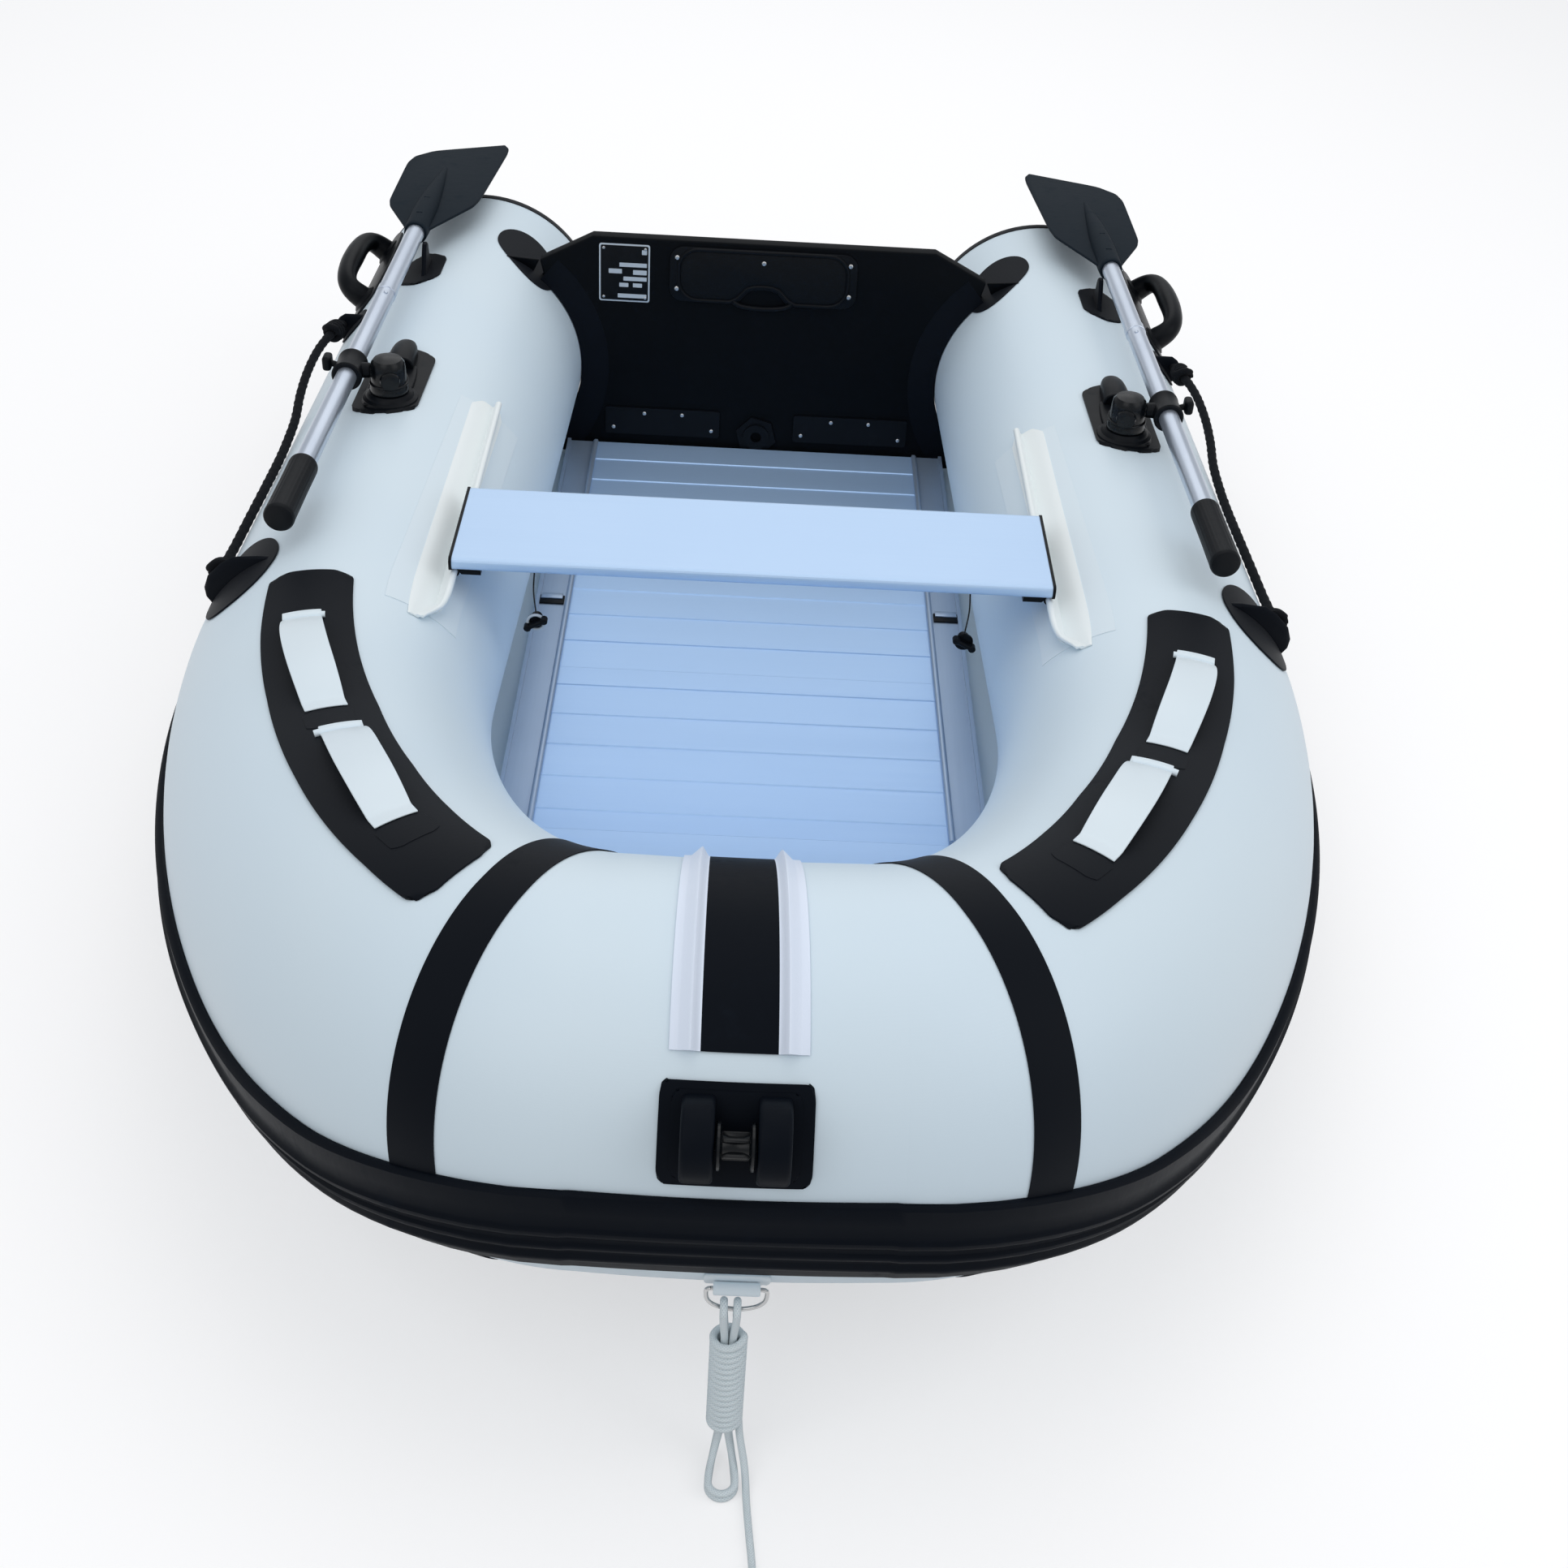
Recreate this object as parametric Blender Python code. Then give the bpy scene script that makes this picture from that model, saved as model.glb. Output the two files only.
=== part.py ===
"""Inflatable tender: three-chamber tube hull, aluminium floor, sliding bench seat and two oars.

Metres, +Z up, +X to port, bow towards -Y. The origin is on the ground, in the middle of the boat's box.
Places along the boat are first measured from a datum across the hull, and every piece is moved to the
origin at the end. A place on the tube is given by the distance s along its centre line from the bow
and by an angle round it: 0 faces outboard, 90 is the top and 180 faces inboard.
"""
import math

import bmesh
import bpy
import numpy as np
from mathutils import Matrix, Vector

# Clearances
GAP = 0.0003            # between pieces that touch
SKIN_GAP = 0.0008       # between a glued skin and the faceted tube
BISECT_STEPS = 30       # halvings in a search for a point
CUT_OVERRUN = 0.004     # a cutter runs this far past what it cuts

# Hull tube
TUBE_RADIUS = 0.205
TUBE_TOP_Z = 2 * TUBE_RADIUS
SIDE_X = 0.555          # tube centre line to the middle plane at the shoulder
STERN_X = 0.520         # and at the stern
SHOULDER_Y = -0.100
STERN_Y = 1.190
SHOULDER_REACH = 0.330  # handles of the curve that forms the bow corner
BOW_REACH = 0.195
BOW_FLAT_HALF = 0.140
BOW_Y = -0.939
BOW_BULGE = 0.0065
BOW_RISE = 0.160
RISE_START_Y = -0.150
RISE_POWER = 1.7
INNER_EASE = 0.070      # the inner bow corner is rounded over this length each way
SEAM_S = 0.204          # the chambers meet here
SEAM_GAP = 0.0012
STATION_STEP = 0.055
STRAIGHT_STEP = 0.260
TUBE_SIDES = 24
CONE_LENGTH = 0.060
CONE_AHEAD_SHARES = (0.45, 0.85, 1.0)
CONE_RADIUS_SHARES = (0.965, 0.86, 0.70)

# Rubbing strake round the outside
STRAKE_HEIGHT = 0.020
STRAKE_BOW_SHARE = 0.5   # of that height, in the middle of the bow
STRAKE_HALF_DEG = 15.2
STRAKE_BOW_DEG = -4.0
STRAKE_SIDE_DEG = -13.0
STRAKE_DIP_DEG = -7.0
STRAKE_TURN_FROM_S = 0.13
STRAKE_TURN_TO_S = 0.30
STRAKE_DIP_S = 0.45
STRAKE_DIP_WIDTH = 0.17
STRAKE_FULL_S = 0.42     # from here aft it has its full height
STRAKE_SHARES = ((-1.0, 0.20), (-0.95, 0.52), (-0.30, 0.56), (-0.18, 0.88), (0.0, 0.62), (0.14, 0.94),
                 (0.32, 0.64), (0.48, 1.0), (0.66, 0.60), (0.92, 0.60), (1.0, 0.20))
STRAKE_INNER_STEPS = 4

# Bottom skin and keel
BOTTOM_DEG = -128.0     # where the skin is glued to the tube
BOTTOM_THICKNESS = 0.003
BOTTOM_FRONT_S = 0.160
KEEL_GUARD_HALF = 0.030
KEEL_GUARD_THICKNESS = 0.003
KEEL_GUARD_FRONT_Y = -0.480
KEEL_FADE_FROM_S = 0.30
KEEL_FADE_TO_S = 0.95

# Transom
TRANSOM_FOOT_Y = 0.930
TRANSOM_FOOT_Z = 0.064
TRANSOM_RAKE = 0.050    # metres aft for each metre up
TRANSOM_THICKNESS = 0.025
TRANSOM_PROUD = 0.035
TRANSOM_TOP_Z = TUBE_TOP_Z + TRANSOM_PROUD
TRANSOM_TOP_HALF = 0.300
TRANSOM_CORNER_HALF = 0.393
TRANSOM_CORNER_DROP = 0.048
TRANSOM_CORNER_Z = TRANSOM_TOP_Z - TRANSOM_CORNER_DROP
TRANSOM_LOW_Z = 0.045
TRANSOM_TUBE_GAP = 0.0012
TRANSOM_EDGE_STEPS = 9

INNER_PAD_HALF = 0.165
INNER_PAD_DROP = 0.009
INNER_PAD_TOP_Z = TRANSOM_TOP_Z - INNER_PAD_DROP
INNER_PAD_HEIGHT = 0.098
INNER_PAD_THICKNESS = 0.009
INNER_PAD_RIM = 0.007
INNER_PAD_RECESS = 0.003
INNER_PAD_CORNER = 0.024
INNER_PAD_NOTCH_HALF = 0.034
INNER_PAD_NOTCH_HEIGHT = 0.026
OUTER_PAD_HALF = 0.135
OUTER_PAD_DROP = 0.007
OUTER_PAD_TOP_Z = TRANSOM_TOP_Z - OUTER_PAD_DROP
OUTER_PAD_HEIGHT = 0.220
OUTER_PAD_THICKNESS = 0.008
OUTER_PAD_CORNER = 0.015

BRACKET_INNER_X = 0.068
BRACKET_OUTER_X = 0.277
BRACKET_BOTTOM_Z = 0.078
BRACKET_TOP_Z = 0.130
BRACKET_THICKNESS = 0.004
BRACKET_CORNER = 0.004

DRAIN_Z = 0.086
DRAIN_HEX_ACROSS = 0.066
DRAIN_FLANGE_THICKNESS = 0.006
DRAIN_BOSS_RADIUS = 0.024
DRAIN_BOSS_HEIGHT = 0.004
DRAIN_NECK_RADIUS = 0.014
DRAIN_BORE_RADIUS = 0.010
DRAIN_BORE_DEPTH = 0.020
DRAIN_TAIL = 0.004

# Floor
FLOOR_TOP_Z = 0.0635
FLOOR_THICKNESS = 0.012
FLOOR_SIDE_GAP = 0.025  # from the floor's edge to the tube at the stern
FLOOR_HALF = STERN_X - TUBE_RADIUS - FLOOR_SIDE_GAP
FLOOR_JOINTS_Y = (0.560, 0.180, -0.215)
FLOOR_STERN_GAP = 0.012
FLOOR_RIB_HEIGHT = 0.0015
FLOOR_RIB_WIDTH = 0.006
FLOOR_RIB_PITCH = 0.076
STRINGER_WIDTH = 0.055
STRINGER_LIP = 0.006
STRINGER_LIP_HEIGHT = 0.005
BOW_BOARD_HALF_SHARE = 0.80
BOW_BOARD_FRONT_S = 0.52

# Bench seat and its tracks
SEAT_DROP = 0.010
SEAT_TOP_Z = TUBE_TOP_Z - SEAT_DROP
SEAT_THICKNESS = 0.018
SEAT_WIDTH = 0.200
SEAT_Y = 0.029
SEAT_INBOARD = 0.116    # from the tube's centre line at the stern to the bench's end
SEAT_HALF = STERN_X - SEAT_INBOARD
SEAT_EDGE = 0.007
SEAT_CAP_THICKNESS = 0.0036
SEAT_CAP_PROUD = 0.0012
SEAT_HOOK_LENGTH = 0.045
SEAT_HOOK_INSET = 0.012
SEAT_HOOK_REACH = 0.036
SEAT_HOOK_WALL = 0.0022
SEAT_RUN_CLEARANCE = 0.0007
BEAD_INSET = 0.001      # from the bench's end to the bead's axis
BEAD_DROP = 0.0082      # from the bench's underside to the bead's axis
BEAD_X = SEAT_HALF - BEAD_INSET
BEAD_Z = SEAT_TOP_Z - SEAT_THICKNESS - BEAD_DROP
BEAD_RADIUS = 0.0050
SEAT_FORE_TRAVEL = 0.020
SEAT_AFT_TRAVEL = 0.300
TRACK_SPARE = 0.022     # track left beyond the sliders at each end of their travel
BEAD_FRONT_Y = SEAT_Y - SEAT_WIDTH / 2 + SEAT_HOOK_INSET - SEAT_FORE_TRAVEL - TRACK_SPARE
TRACK_FRONT_Y = -0.165
TRACK_REAR_Y = SEAT_Y + SEAT_WIDTH / 2 - SEAT_HOOK_INSET + SEAT_AFT_TRAVEL + TRACK_SPARE
TRACK_OUTER_DEG = 118.0
TRACK_FIN_DEG = -45.0    # slant of the fin, seen from the bead
TRACK_INNER_DEG = 134.0
TRACK_BASE_THICKNESS = 0.002
TRACK_FIN_HALF = 0.0012

TETHER_X = 0.295
TETHER_Y = -0.052
TETHER_DIAMETER = 0.0022
TETHER_DROP = 0.072
PLUG_RADIUS = 0.013
PLUG_FLANGE = 0.003
PLUG_BODY_RADIUS = 0.008
PLUG_BODY_LENGTH = 0.014
PLUG_WING_HALF = 0.017
PLUG_WING_THICKNESS = 0.006
PLUG_WING_HEIGHT = 0.010

# Oars, stowed along the tubes
OAR_RISE = 0.045
OAR_Z = TUBE_TOP_Z + OAR_RISE
PIVOT_Y = 0.365         # vertical axis of each rowlock
PIVOT_X = 0.556
COLLAR_X = 0.613
OAR_TOE = -0.0275       # metres outboard for each metre aft
SHAFT_RADIUS = 0.015
SHAFT_FORE = 0.300      # from the collar forward to where the grip starts
SHAFT_AFT = 0.590       # from the collar aft to the end in the blade socket
SLEEVE_AFT = 0.270      # where the two halves of the shaft join
SLEEVE_LENGTH = 0.022
SLEEVE_PROUD = 0.0012
GRIP_RADIUS = 0.021
GRIP_LENGTH = 0.146
GRIP_BORE_DEPTH = 0.080
GRIP_END_ROUND = 0.006
COLLAR_RADIUS = 0.0225
COLLAR_LENGTH = 0.052
COLLAR_BOSS_RADIUS = 0.011
COLLAR_BOSS_REACH = 0.031
PIN_RADIUS = 0.005
PIN_BORE_DEPTH = 0.0075
BLADE_THICKNESS = 0.005
BLADE_OVERLAP = 0.050   # the blade's neck starts this far ahead of the shaft's end
BLADE_FROM = SHAFT_AFT - BLADE_OVERLAP
BLADE_LENGTH = 0.435
BLADE_WIDTH = 0.170
BLADE_SHARES = ((0.0, 0.10), (0.06, 0.17), (0.24, 0.388), (0.30, 0.42), (0.72, 0.435), (0.80, 0.39),
                (0.878, 0.21), (0.99, -0.46), (1.0, -0.52), (0.96, -0.575), (0.90, -0.58), (0.38, -0.50),
                (0.29, -0.46), (0.06, -0.17), (0.0, -0.10))
SOCKET_RADIUS = 0.0195
SOCKET_OVERLAP = 0.060
SOCKET_FROM = SHAFT_AFT - SOCKET_OVERLAP
SOCKET_ROUND = 0.085
SOCKET_RIB_LENGTH = 0.240
SOCKET_RIB_END = SHAFT_AFT + SOCKET_RIB_LENGTH
SOCKET_RIB_END_RADIUS = 0.004
SOCKET_SPARE = 0.002
SOCKET_DEPTH = SOCKET_OVERLAP + SOCKET_SPARE

# Rowlocks
LOCK_PAD_Y = 0.425
LOCK_PAD_HALF = 0.108
LOCK_PAD_DEG = 84.5
LOCK_PAD_HALF_DEG = 14.0
LOCK_PAD_THICKNESS = 0.005
LOCK_BOSS_RADIUS = 0.033
LOCK_BOSS_RISE = 0.014
LOCK_BOSS_TOP_Z = TUBE_TOP_Z + LOCK_BOSS_RISE
LOCK_STUB_Y = 0.482
LOCK_STUB_LENGTH = 0.050
LOCK_STUB_HALF = 0.013
LOCK_STUB_RISE = 0.030
LOCK_STUB_TOP_Z = TUBE_TOP_Z + LOCK_STUB_RISE
LOCK_FOOT_RISE = 0.0008
TURRET_RADIUS = 0.029
TURRET_WAIST_RADIUS = 0.024
TURRET_RISE = 0.068
TURRET_TOP_Z = TUBE_TOP_Z + TURRET_RISE
TURRET_STEM_RADIUS = 0.008
TURRET_STEM_DEPTH = 0.008

# Oar clips
CLIP_AHEAD = 0.090      # from the shaft's aft end forward to the clip's middle
CLIP_Y = PIVOT_Y + SHAFT_AFT - CLIP_AHEAD
CLIP_HALF = 0.064
CLIP_DEG = 74.0
CLIP_HALF_DEG = 10.5
CLIP_THICKNESS = 0.003
CLIP_FIN_HALF = 0.032
CLIP_FIN_THICKNESS = 0.008
CLIP_FIN_DROP = 0.003
CLIP_FIN_TOP_Z = OAR_Z - CLIP_FIN_DROP
CLIP_SIDE_GAP = 0.002

# Lifting handles at the stern quarters
CARRY_Y = 0.995
CARRY_HALF = 0.175
CARRY_DEG = 37.0
CARRY_HALF_DEG = 11.0
CARRY_THICKNESS = 0.004
CARRY_BAR_RADIUS = 0.0115
CARRY_BAR_REACH = 0.052
CARRY_BAR_HALF = 0.105
CARRY_BAR_POINTS = 9

# Safety lines and their patches
FORE_PATCH_Y = -0.075
FORE_PATCH_HALF = 0.075
FORE_PATCH_DEG = 49.0
FORE_PATCH_HALF_DEG = 18.0
REAR_PATCH_Y = 0.765
REAR_PATCH_HALF = 0.042
REAR_PATCH_DEG = 40.0
REAR_PATCH_HALF_DEG = 9.0
PATCH_THICKNESS = 0.003
PATCH_FIN_HEIGHT = 0.026
PATCH_FIN_THICKNESS = 0.009
LINE_DIAMETER = 0.014
LINE_SLACK = 0.033      # how far the line stands off the tube by the rowlock
LINE_POINTS = 28

# Lifting straps on their pads
PAD_FRONT_S = 0.246
PAD_REAR_S = 1.113
PAD_OUTER_SHARES = ((0.0, 72.0), (0.1, 73.0), (0.35, 73.0), (0.60, 72.0), (0.82, 70.0), (1.0, 69.0))
PAD_INNER_SHARES = ((0.0, 103.0), (0.14, 105.0), (0.30, 106.5), (0.52, 106.0), (0.82, 102.0), (1.0, 99.5))
PAD_THICKNESS = 0.003
PAD_CORNER = 0.018
STRAP_WIDTH = 0.048
STRAP_THICKNESS = 0.003
STRAP_RISE = 0.022
STRAP_SPANS_S = ((0.370, 0.645), (0.696, 0.990))
STRAP_DEG = ((89.0, 91.8), (89.5, 84.0))
STRAP_LANDING = 0.022
STRAP_STEPS = 8

# Bow fittings
BOW_STRIP_HALF = 0.0305
BOW_RAIL_WIDTH = 0.0255
BOW_RAIL_HEIGHT = 0.011
BOW_RAIL_CREST_HALF = 0.0025
BOW_RAIL_FOOT_HALF = 0.0085
BOW_STRIP_THICKNESS = 0.002
BOW_STRIP_FROM_DEG = 49.5
BOW_STRIP_TO_DEG = 150.0
ROLLER_PAD_HALF = 0.061
ROLLER_PAD_FROM_DEG = 15.6
ROLLER_PAD_TO_DEG = 42.4
ROLLER_PAD_THICKNESS = 0.004
ROLLER_DEG = 29.0
CHEEK_THICKNESS = 0.030
CHEEK_INNER_X = 0.019
CHEEK_HALF_HEIGHT = 0.038
CHEEK_PROUD = 0.050
CHEEK_ROUND = 0.034
AXLE_PROUD = 0.0285
AXLE_RADIUS = 0.004
SPOOL_FLANGE_RADIUS = 0.0215
SPOOL_CORE_RADIUS = 0.010
SPOOL_FLANGE_WIDTH = 0.006
SPOOL_HALF = 0.0175
PAINTER_TAB_X = 0.008
PAINTER_TAB_HALF = 0.029
PAINTER_TAB_FROM_DEG = -33.5
PAINTER_TAB_TO_DEG = -22.5
PAINTER_TAB_THICKNESS = 0.004
RING_LOOP_RADIUS = 0.0065
RING_LOOP_DEG = -27.5
RING_ROD_RADIUS = 0.0022
RING_HALF_WIDTH = 0.029
RING_DROP = 0.030
RING_LIFT = 0.0105
RING_SQUARENESS = 0.65

# Painter
ROPE_DIAMETER = 0.0076
HANK_X = 0.004
ROPE_SPACING = 0.0041
HITCH_SPREAD = 0.0077
HANK_WRAP_TOP_Z = 0.190
HANK_WRAP_COUNT = 16
HANK_WRAP_PITCH = 0.0087
HANK_WRAP_RADIUS = 0.0147
HANK_BEND_RADIUS = 0.030
HANK_LAY_Z = 0.0087
HANK_BIGHT_RADIUS = 0.0135
WRAP_POINTS = 12
HANK_BIGHT_RUN = 0.012
HITCH_HALF = 0.0065
ROPE_END = 0.022
WRAP_LEAD_DEG = 200
WRAP_LEAD_RISE = 0.007
WRAP_LEAD_PROUD = 0.0004
KNOT_SIZE = 0.0078
KNOT_HALF_HEIGHT = 0.0068
KNOT_END = 0.012

# Valves
VALVE_RADIUS = 0.030
VALVE_THICKNESS = 0.007
VALVE_CAP_RADIUS = 0.019
VALVE_SIDE_Y = 1.060
VALVE_SIDE_DEG = 150.0
VALVE_BOW_DEG = 158.0
VALVE_BOW_X = 0.085

# Finishes: colour, roughness and metallic value
PVC_WHITE = ((0.80, 0.82, 0.84), 0.45, 0.0)
PVC_BLACK = ((0.012, 0.013, 0.017), 0.5, 0.0)
BLACK_PLASTIC = ((0.015, 0.015, 0.018), 0.4, 0.0)
BLACK_BOARD = ((0.010, 0.011, 0.014), 0.55, 0.0)
ALUMINIUM = ((0.62, 0.68, 0.78), 0.35, 0.9)
STEEL = ((0.60, 0.60, 0.60), 0.25, 1.0)
ROPE_WHITE = ((0.62, 0.70, 0.74), 0.8, 0.0)
ROPE_BLACK = ((0.012, 0.013, 0.016), 0.8, 0.0)

SHARP_DEG = 35.0
X_AXIS = Vector((1, 0, 0))
Y_AXIS = Vector((0, 1, 0))
Z_AXIS = Vector((0, 0, 1))
SIDES = (("port", 1), ("starboard", -1))


# Hull line
def bezier(points, t):
    """Points of a cubic curve at the parameters t."""
    p0, p1, p2, p3 = points
    return (1 - t) ** 3 * p0 + 3 * (1 - t) ** 2 * t * p1 + 3 * (1 - t) * t ** 2 * p2 + t ** 3 * p3


def smooth_step(low, high, value):
    """0 below low, 1 above high and a smooth climb between."""
    k = min(max((value - low) / (high - low), 0), 1)
    return k * k * (3 - 2 * k)


class TubeLine:
    """Centre line of the port half of the tube, measured from the bow, with the tube's own directions."""

    def __init__(self):
        shoulder = np.array([SIDE_X, SHOULDER_Y])
        corner = np.array([BOW_FLAT_HALF, BOW_Y])
        handles = (corner, corner + (BOW_REACH, 0), shoulder - (0, SHOULDER_REACH), shoulder)
        across = np.linspace(0, BOW_FLAT_HALF, 61)
        bow_y = BOW_Y - BOW_BULGE * (1 - (across / BOW_FLAT_HALF) ** 2)
        bow = np.column_stack([across, bow_y])
        bend = bezier(handles, np.linspace(0, 1, 241)[:, None])
        side = np.linspace(shoulder, (STERN_X, STERN_Y), 201)
        plan = np.concatenate([bow[:-1], bend[:-1], side])
        climb = (RISE_START_Y - plan[:, 1]) / (RISE_START_Y - bow_y[0])
        height = TUBE_RADIUS + BOW_RISE * np.clip(climb, 0, 1) ** RISE_POWER
        self.points = np.column_stack([plan, height])
        steps = np.linalg.norm(np.diff(self.points, axis=0), axis=1)
        self.s = np.concatenate([[0], np.cumsum(steps)])
        self.length = self.s[-1]
        along = np.gradient(self.points, self.s, axis=0)
        along[0] = (1, 0, 0)
        self.along = along / np.linalg.norm(along, axis=1)[:, None]
        outward = np.cross(self.along, (0, 0, 1))
        self.outward = outward / np.linalg.norm(outward, axis=1)[:, None]
        self.up = np.cross(self.outward, self.along)
        self.inward = self.inner_reach()

    def inner_reach(self):
        """Vectors from the centre line to the inboard face, which turns the bow corner in a soft mitre."""
        inner = self.points[:, :2] - TUBE_RADIUS * self.outward[:, :2]
        front_y = BOW_Y + TUBE_RADIUS
        folded = np.nonzero(inner[:, 1] <= front_y)[0][-1]
        corner = inner[folded].copy()
        flat = self.s <= self.s[60]
        inner[flat, 0] = np.minimum(inner[flat, 0], corner[0])
        inner[60:folded + 1] = corner
        mirrored = inner[:0:-1] * (-1, 1)
        end_step = inner[-1] - inner[-2]
        beyond = inner[-1] + np.arange(1, 61)[:, None] * end_step
        line = np.concatenate([mirrored, inner, beyond])
        end_s = self.s[-1] - self.s[-2]
        reach_s = np.concatenate([-self.s[:0:-1], self.s, self.s[-1] + np.arange(1, 61) * end_s])
        eased = []
        for s in self.s:
            samples = np.linspace(s - INNER_EASE, s + INNER_EASE, 41)
            eased.append([np.interp(samples, reach_s, line[:, axis]).mean() for axis in (0, 1)])
        return np.array(eased) - self.points[:, :2]

    def sample(self, table, s):
        """A row of a table that follows the line, at the distance s."""
        return np.array([np.interp(s, self.s, table[:, axis]) for axis in range(table.shape[1])])

    def place(self, s, angle_deg, lift=0, side=1):
        """Point on the tube at distance s and the angle, lifted off its skin; s past the bow crosses over."""
        if s < 0:
            return self.place(-s, angle_deg, lift, -side)
        centre = self.sample(self.points, s)
        outward = self.sample(self.outward, s)
        up = self.sample(self.up, s)
        radius = TUBE_RADIUS + lift
        angle = math.radians(angle_deg)
        point = centre + radius * math.sin(angle) * up
        if math.cos(angle) >= 0:
            point = point + radius * math.cos(angle) * outward
        else:
            inner = np.append(self.sample(self.inward, s), 0)
            point = point - radius / TUBE_RADIUS * math.cos(angle) * inner
        return Vector((side * point[0], point[1], point[2]))

    def s_at_y(self, y):
        """Distance along the line where it crosses y, on the straight side or the outer bend."""
        return float(np.interp(y, self.points[:, 1], self.s))


LINE = TubeLine()


def stations(first, last):
    """Distances from first to last: close together round the bow, wide apart on the straight side."""
    bend_end = LINE.s_at_y(SHOULDER_Y)
    values = [first]
    k = 1
    while k * STATION_STEP < bend_end:
        values.append(k * STATION_STEP)
        k += 1
    rest = LINE.length - bend_end
    count = max(2, round(rest / STRAIGHT_STEP))
    values += [SEAM_S] + [bend_end + rest * i / count for i in range(count + 1)]
    inside = sorted(v for v in values if first + SEAM_GAP < v < last - SEAM_GAP)
    return [first] + inside + [last]


# Meshes
def add_ring(bm, points):
    """Vertices for a list of points."""
    return [bm.verts.new(p) for p in points]


def bridge(bm, first, second, closed=True):
    """Faces between two rows of vertices."""
    count = len(first)
    for i in range(count if closed else count - 1):
        j = (i + 1) % count
        bm.faces.new((first[i], first[j], second[j], second[i]))


def loft(rings):
    """Closed solid through a list of rings of points, with flat ends."""
    bm = bmesh.new()
    rows = [add_ring(bm, ring) for ring in rings]
    for first, second in zip(rows, rows[1:]):
        bridge(bm, first, second)
    bm.faces.new(rows[0])
    bm.faces.new(rows[-1])
    return bm


def slab(top, bottom):
    """Closed solid between two grids of points of the same shape."""
    bm = bmesh.new()
    upper = [add_ring(bm, row) for row in top]
    lower = [add_ring(bm, row) for row in bottom]
    for grid in (upper, lower):
        for first, second in zip(grid, grid[1:]):
            bridge(bm, first, second, closed=False)
    for edge in (0, -1):
        bridge(bm, upper[edge], lower[edge], closed=False)
        bridge(bm, [row[edge] for row in upper], [row[edge] for row in lower], closed=False)
    return bm


def turned(profile, axis, foot, sides=12):
    """Solid turned about an axis through foot; the profile lists (radius, height) pairs."""
    direction = Vector(axis).normalized()
    across = direction.orthogonal().normalized()
    other = direction.cross(across)
    bm = bmesh.new()
    rows = []
    for radius, height in profile:
        centre = Vector(foot) + height * direction
        if radius == 0:
            rows.append([bm.verts.new(centre)])
            continue
        angles = [2 * math.pi * k / sides for k in range(sides)]
        rows.append(add_ring(bm, [centre + radius * (math.cos(a) * across + math.sin(a) * other) for a in angles]))
    for first, second in zip(rows, rows[1:]):
        if len(first) == 1 or len(second) == 1:
            tip, ring = (first[0], second) if len(first) == 1 else (second[0], first)
            for k in range(sides):
                bm.faces.new((tip, ring[k], ring[(k + 1) % sides]))
        else:
            bridge(bm, first, second)
    if len(rows[0]) > 1:
        bm.faces.new(rows[0])
    if len(rows[-1]) > 1:
        bm.faces.new(rows[-1])
    return bm


def extruded(outline, offset):
    """Solid from a flat outline of points, pushed along a vector."""
    return loft([outline, [Vector(p) + Vector(offset) for p in outline]])


def block(low, high):
    """Box between two corners."""
    (x0, y0, z0), (x1, y1, z1) = low, high
    outline = [Vector((x0, y0, z0)), Vector((x1, y0, z0)), Vector((x1, y1, z0)), Vector((x0, y1, z0))]
    return extruded(outline, (0, 0, z1 - z0))


def arc(centre, radius, from_deg, to_deg, steps):
    """Points (u, v) of an arc about a centre."""
    points = []
    for k in range(steps + 1):
        angle = math.radians(from_deg + (to_deg - from_deg) * k / steps)
        points.append((centre[0] + radius * math.cos(angle), centre[1] + radius * math.sin(angle)))
    return points


def rounded_box(half_u, low_v, high_v, corner, steps=4):
    """Outline (u, v) of a rectangle with round corners."""
    points = []
    for centre, start in (((half_u - corner, high_v - corner), 0), ((corner - half_u, high_v - corner), 90),
                          ((corner - half_u, low_v + corner), 180), ((half_u - corner, low_v + corner), 270)):
        points += arc(centre, corner, start, start + 90, steps)
    return points


def principled(name, finish):
    """Principled material from a colour, roughness and metallic value."""
    colour, roughness, metallic = finish
    material = bpy.data.materials.new(name + "_finish")
    material.use_nodes = True
    shader = material.node_tree.nodes["Principled BSDF"]
    shader.inputs["Base Color"].default_value = (*colour, 1)
    shader.inputs["Roughness"].default_value = roughness
    shader.inputs["Metallic"].default_value = metallic
    material.diffuse_color = (*colour, 1)
    return material


def node(name, bm, finish, bevel=0):
    """Scene object from a finished mesh, smooth shaded with sharp corners kept."""
    bmesh.ops.recalc_face_normals(bm, faces=bm.faces)
    mesh = bpy.data.meshes.new(name)
    bm.to_mesh(mesh)
    bm.free()
    mesh.shade_smooth()
    mesh.set_sharp_from_angle(angle=math.radians(SHARP_DEG))
    obj = bpy.data.objects.new(name, mesh)
    bpy.context.scene.collection.objects.link(obj)
    mesh.materials.append(principled(name, finish))
    if bevel:
        modifier = obj.modifiers.new("edges", "BEVEL")
        modifier.width = bevel
        modifier.segments = 2
        modifier.limit_method = "ANGLE"
        modifier.angle_limit = math.radians(SHARP_DEG)
    return obj


def helper(name, bm):
    """Hidden object that another one is joined to or cut by."""
    obj = node(name, bm, BLACK_PLASTIC)
    obj.hide_render = True
    obj.display_type = "WIRE"
    return obj


def combine(obj, other, operation):
    """Boolean modifier of one object by another."""
    modifier = obj.modifiers.new(operation.lower(), "BOOLEAN")
    modifier.operation = operation
    modifier.object = other
    return obj


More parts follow.
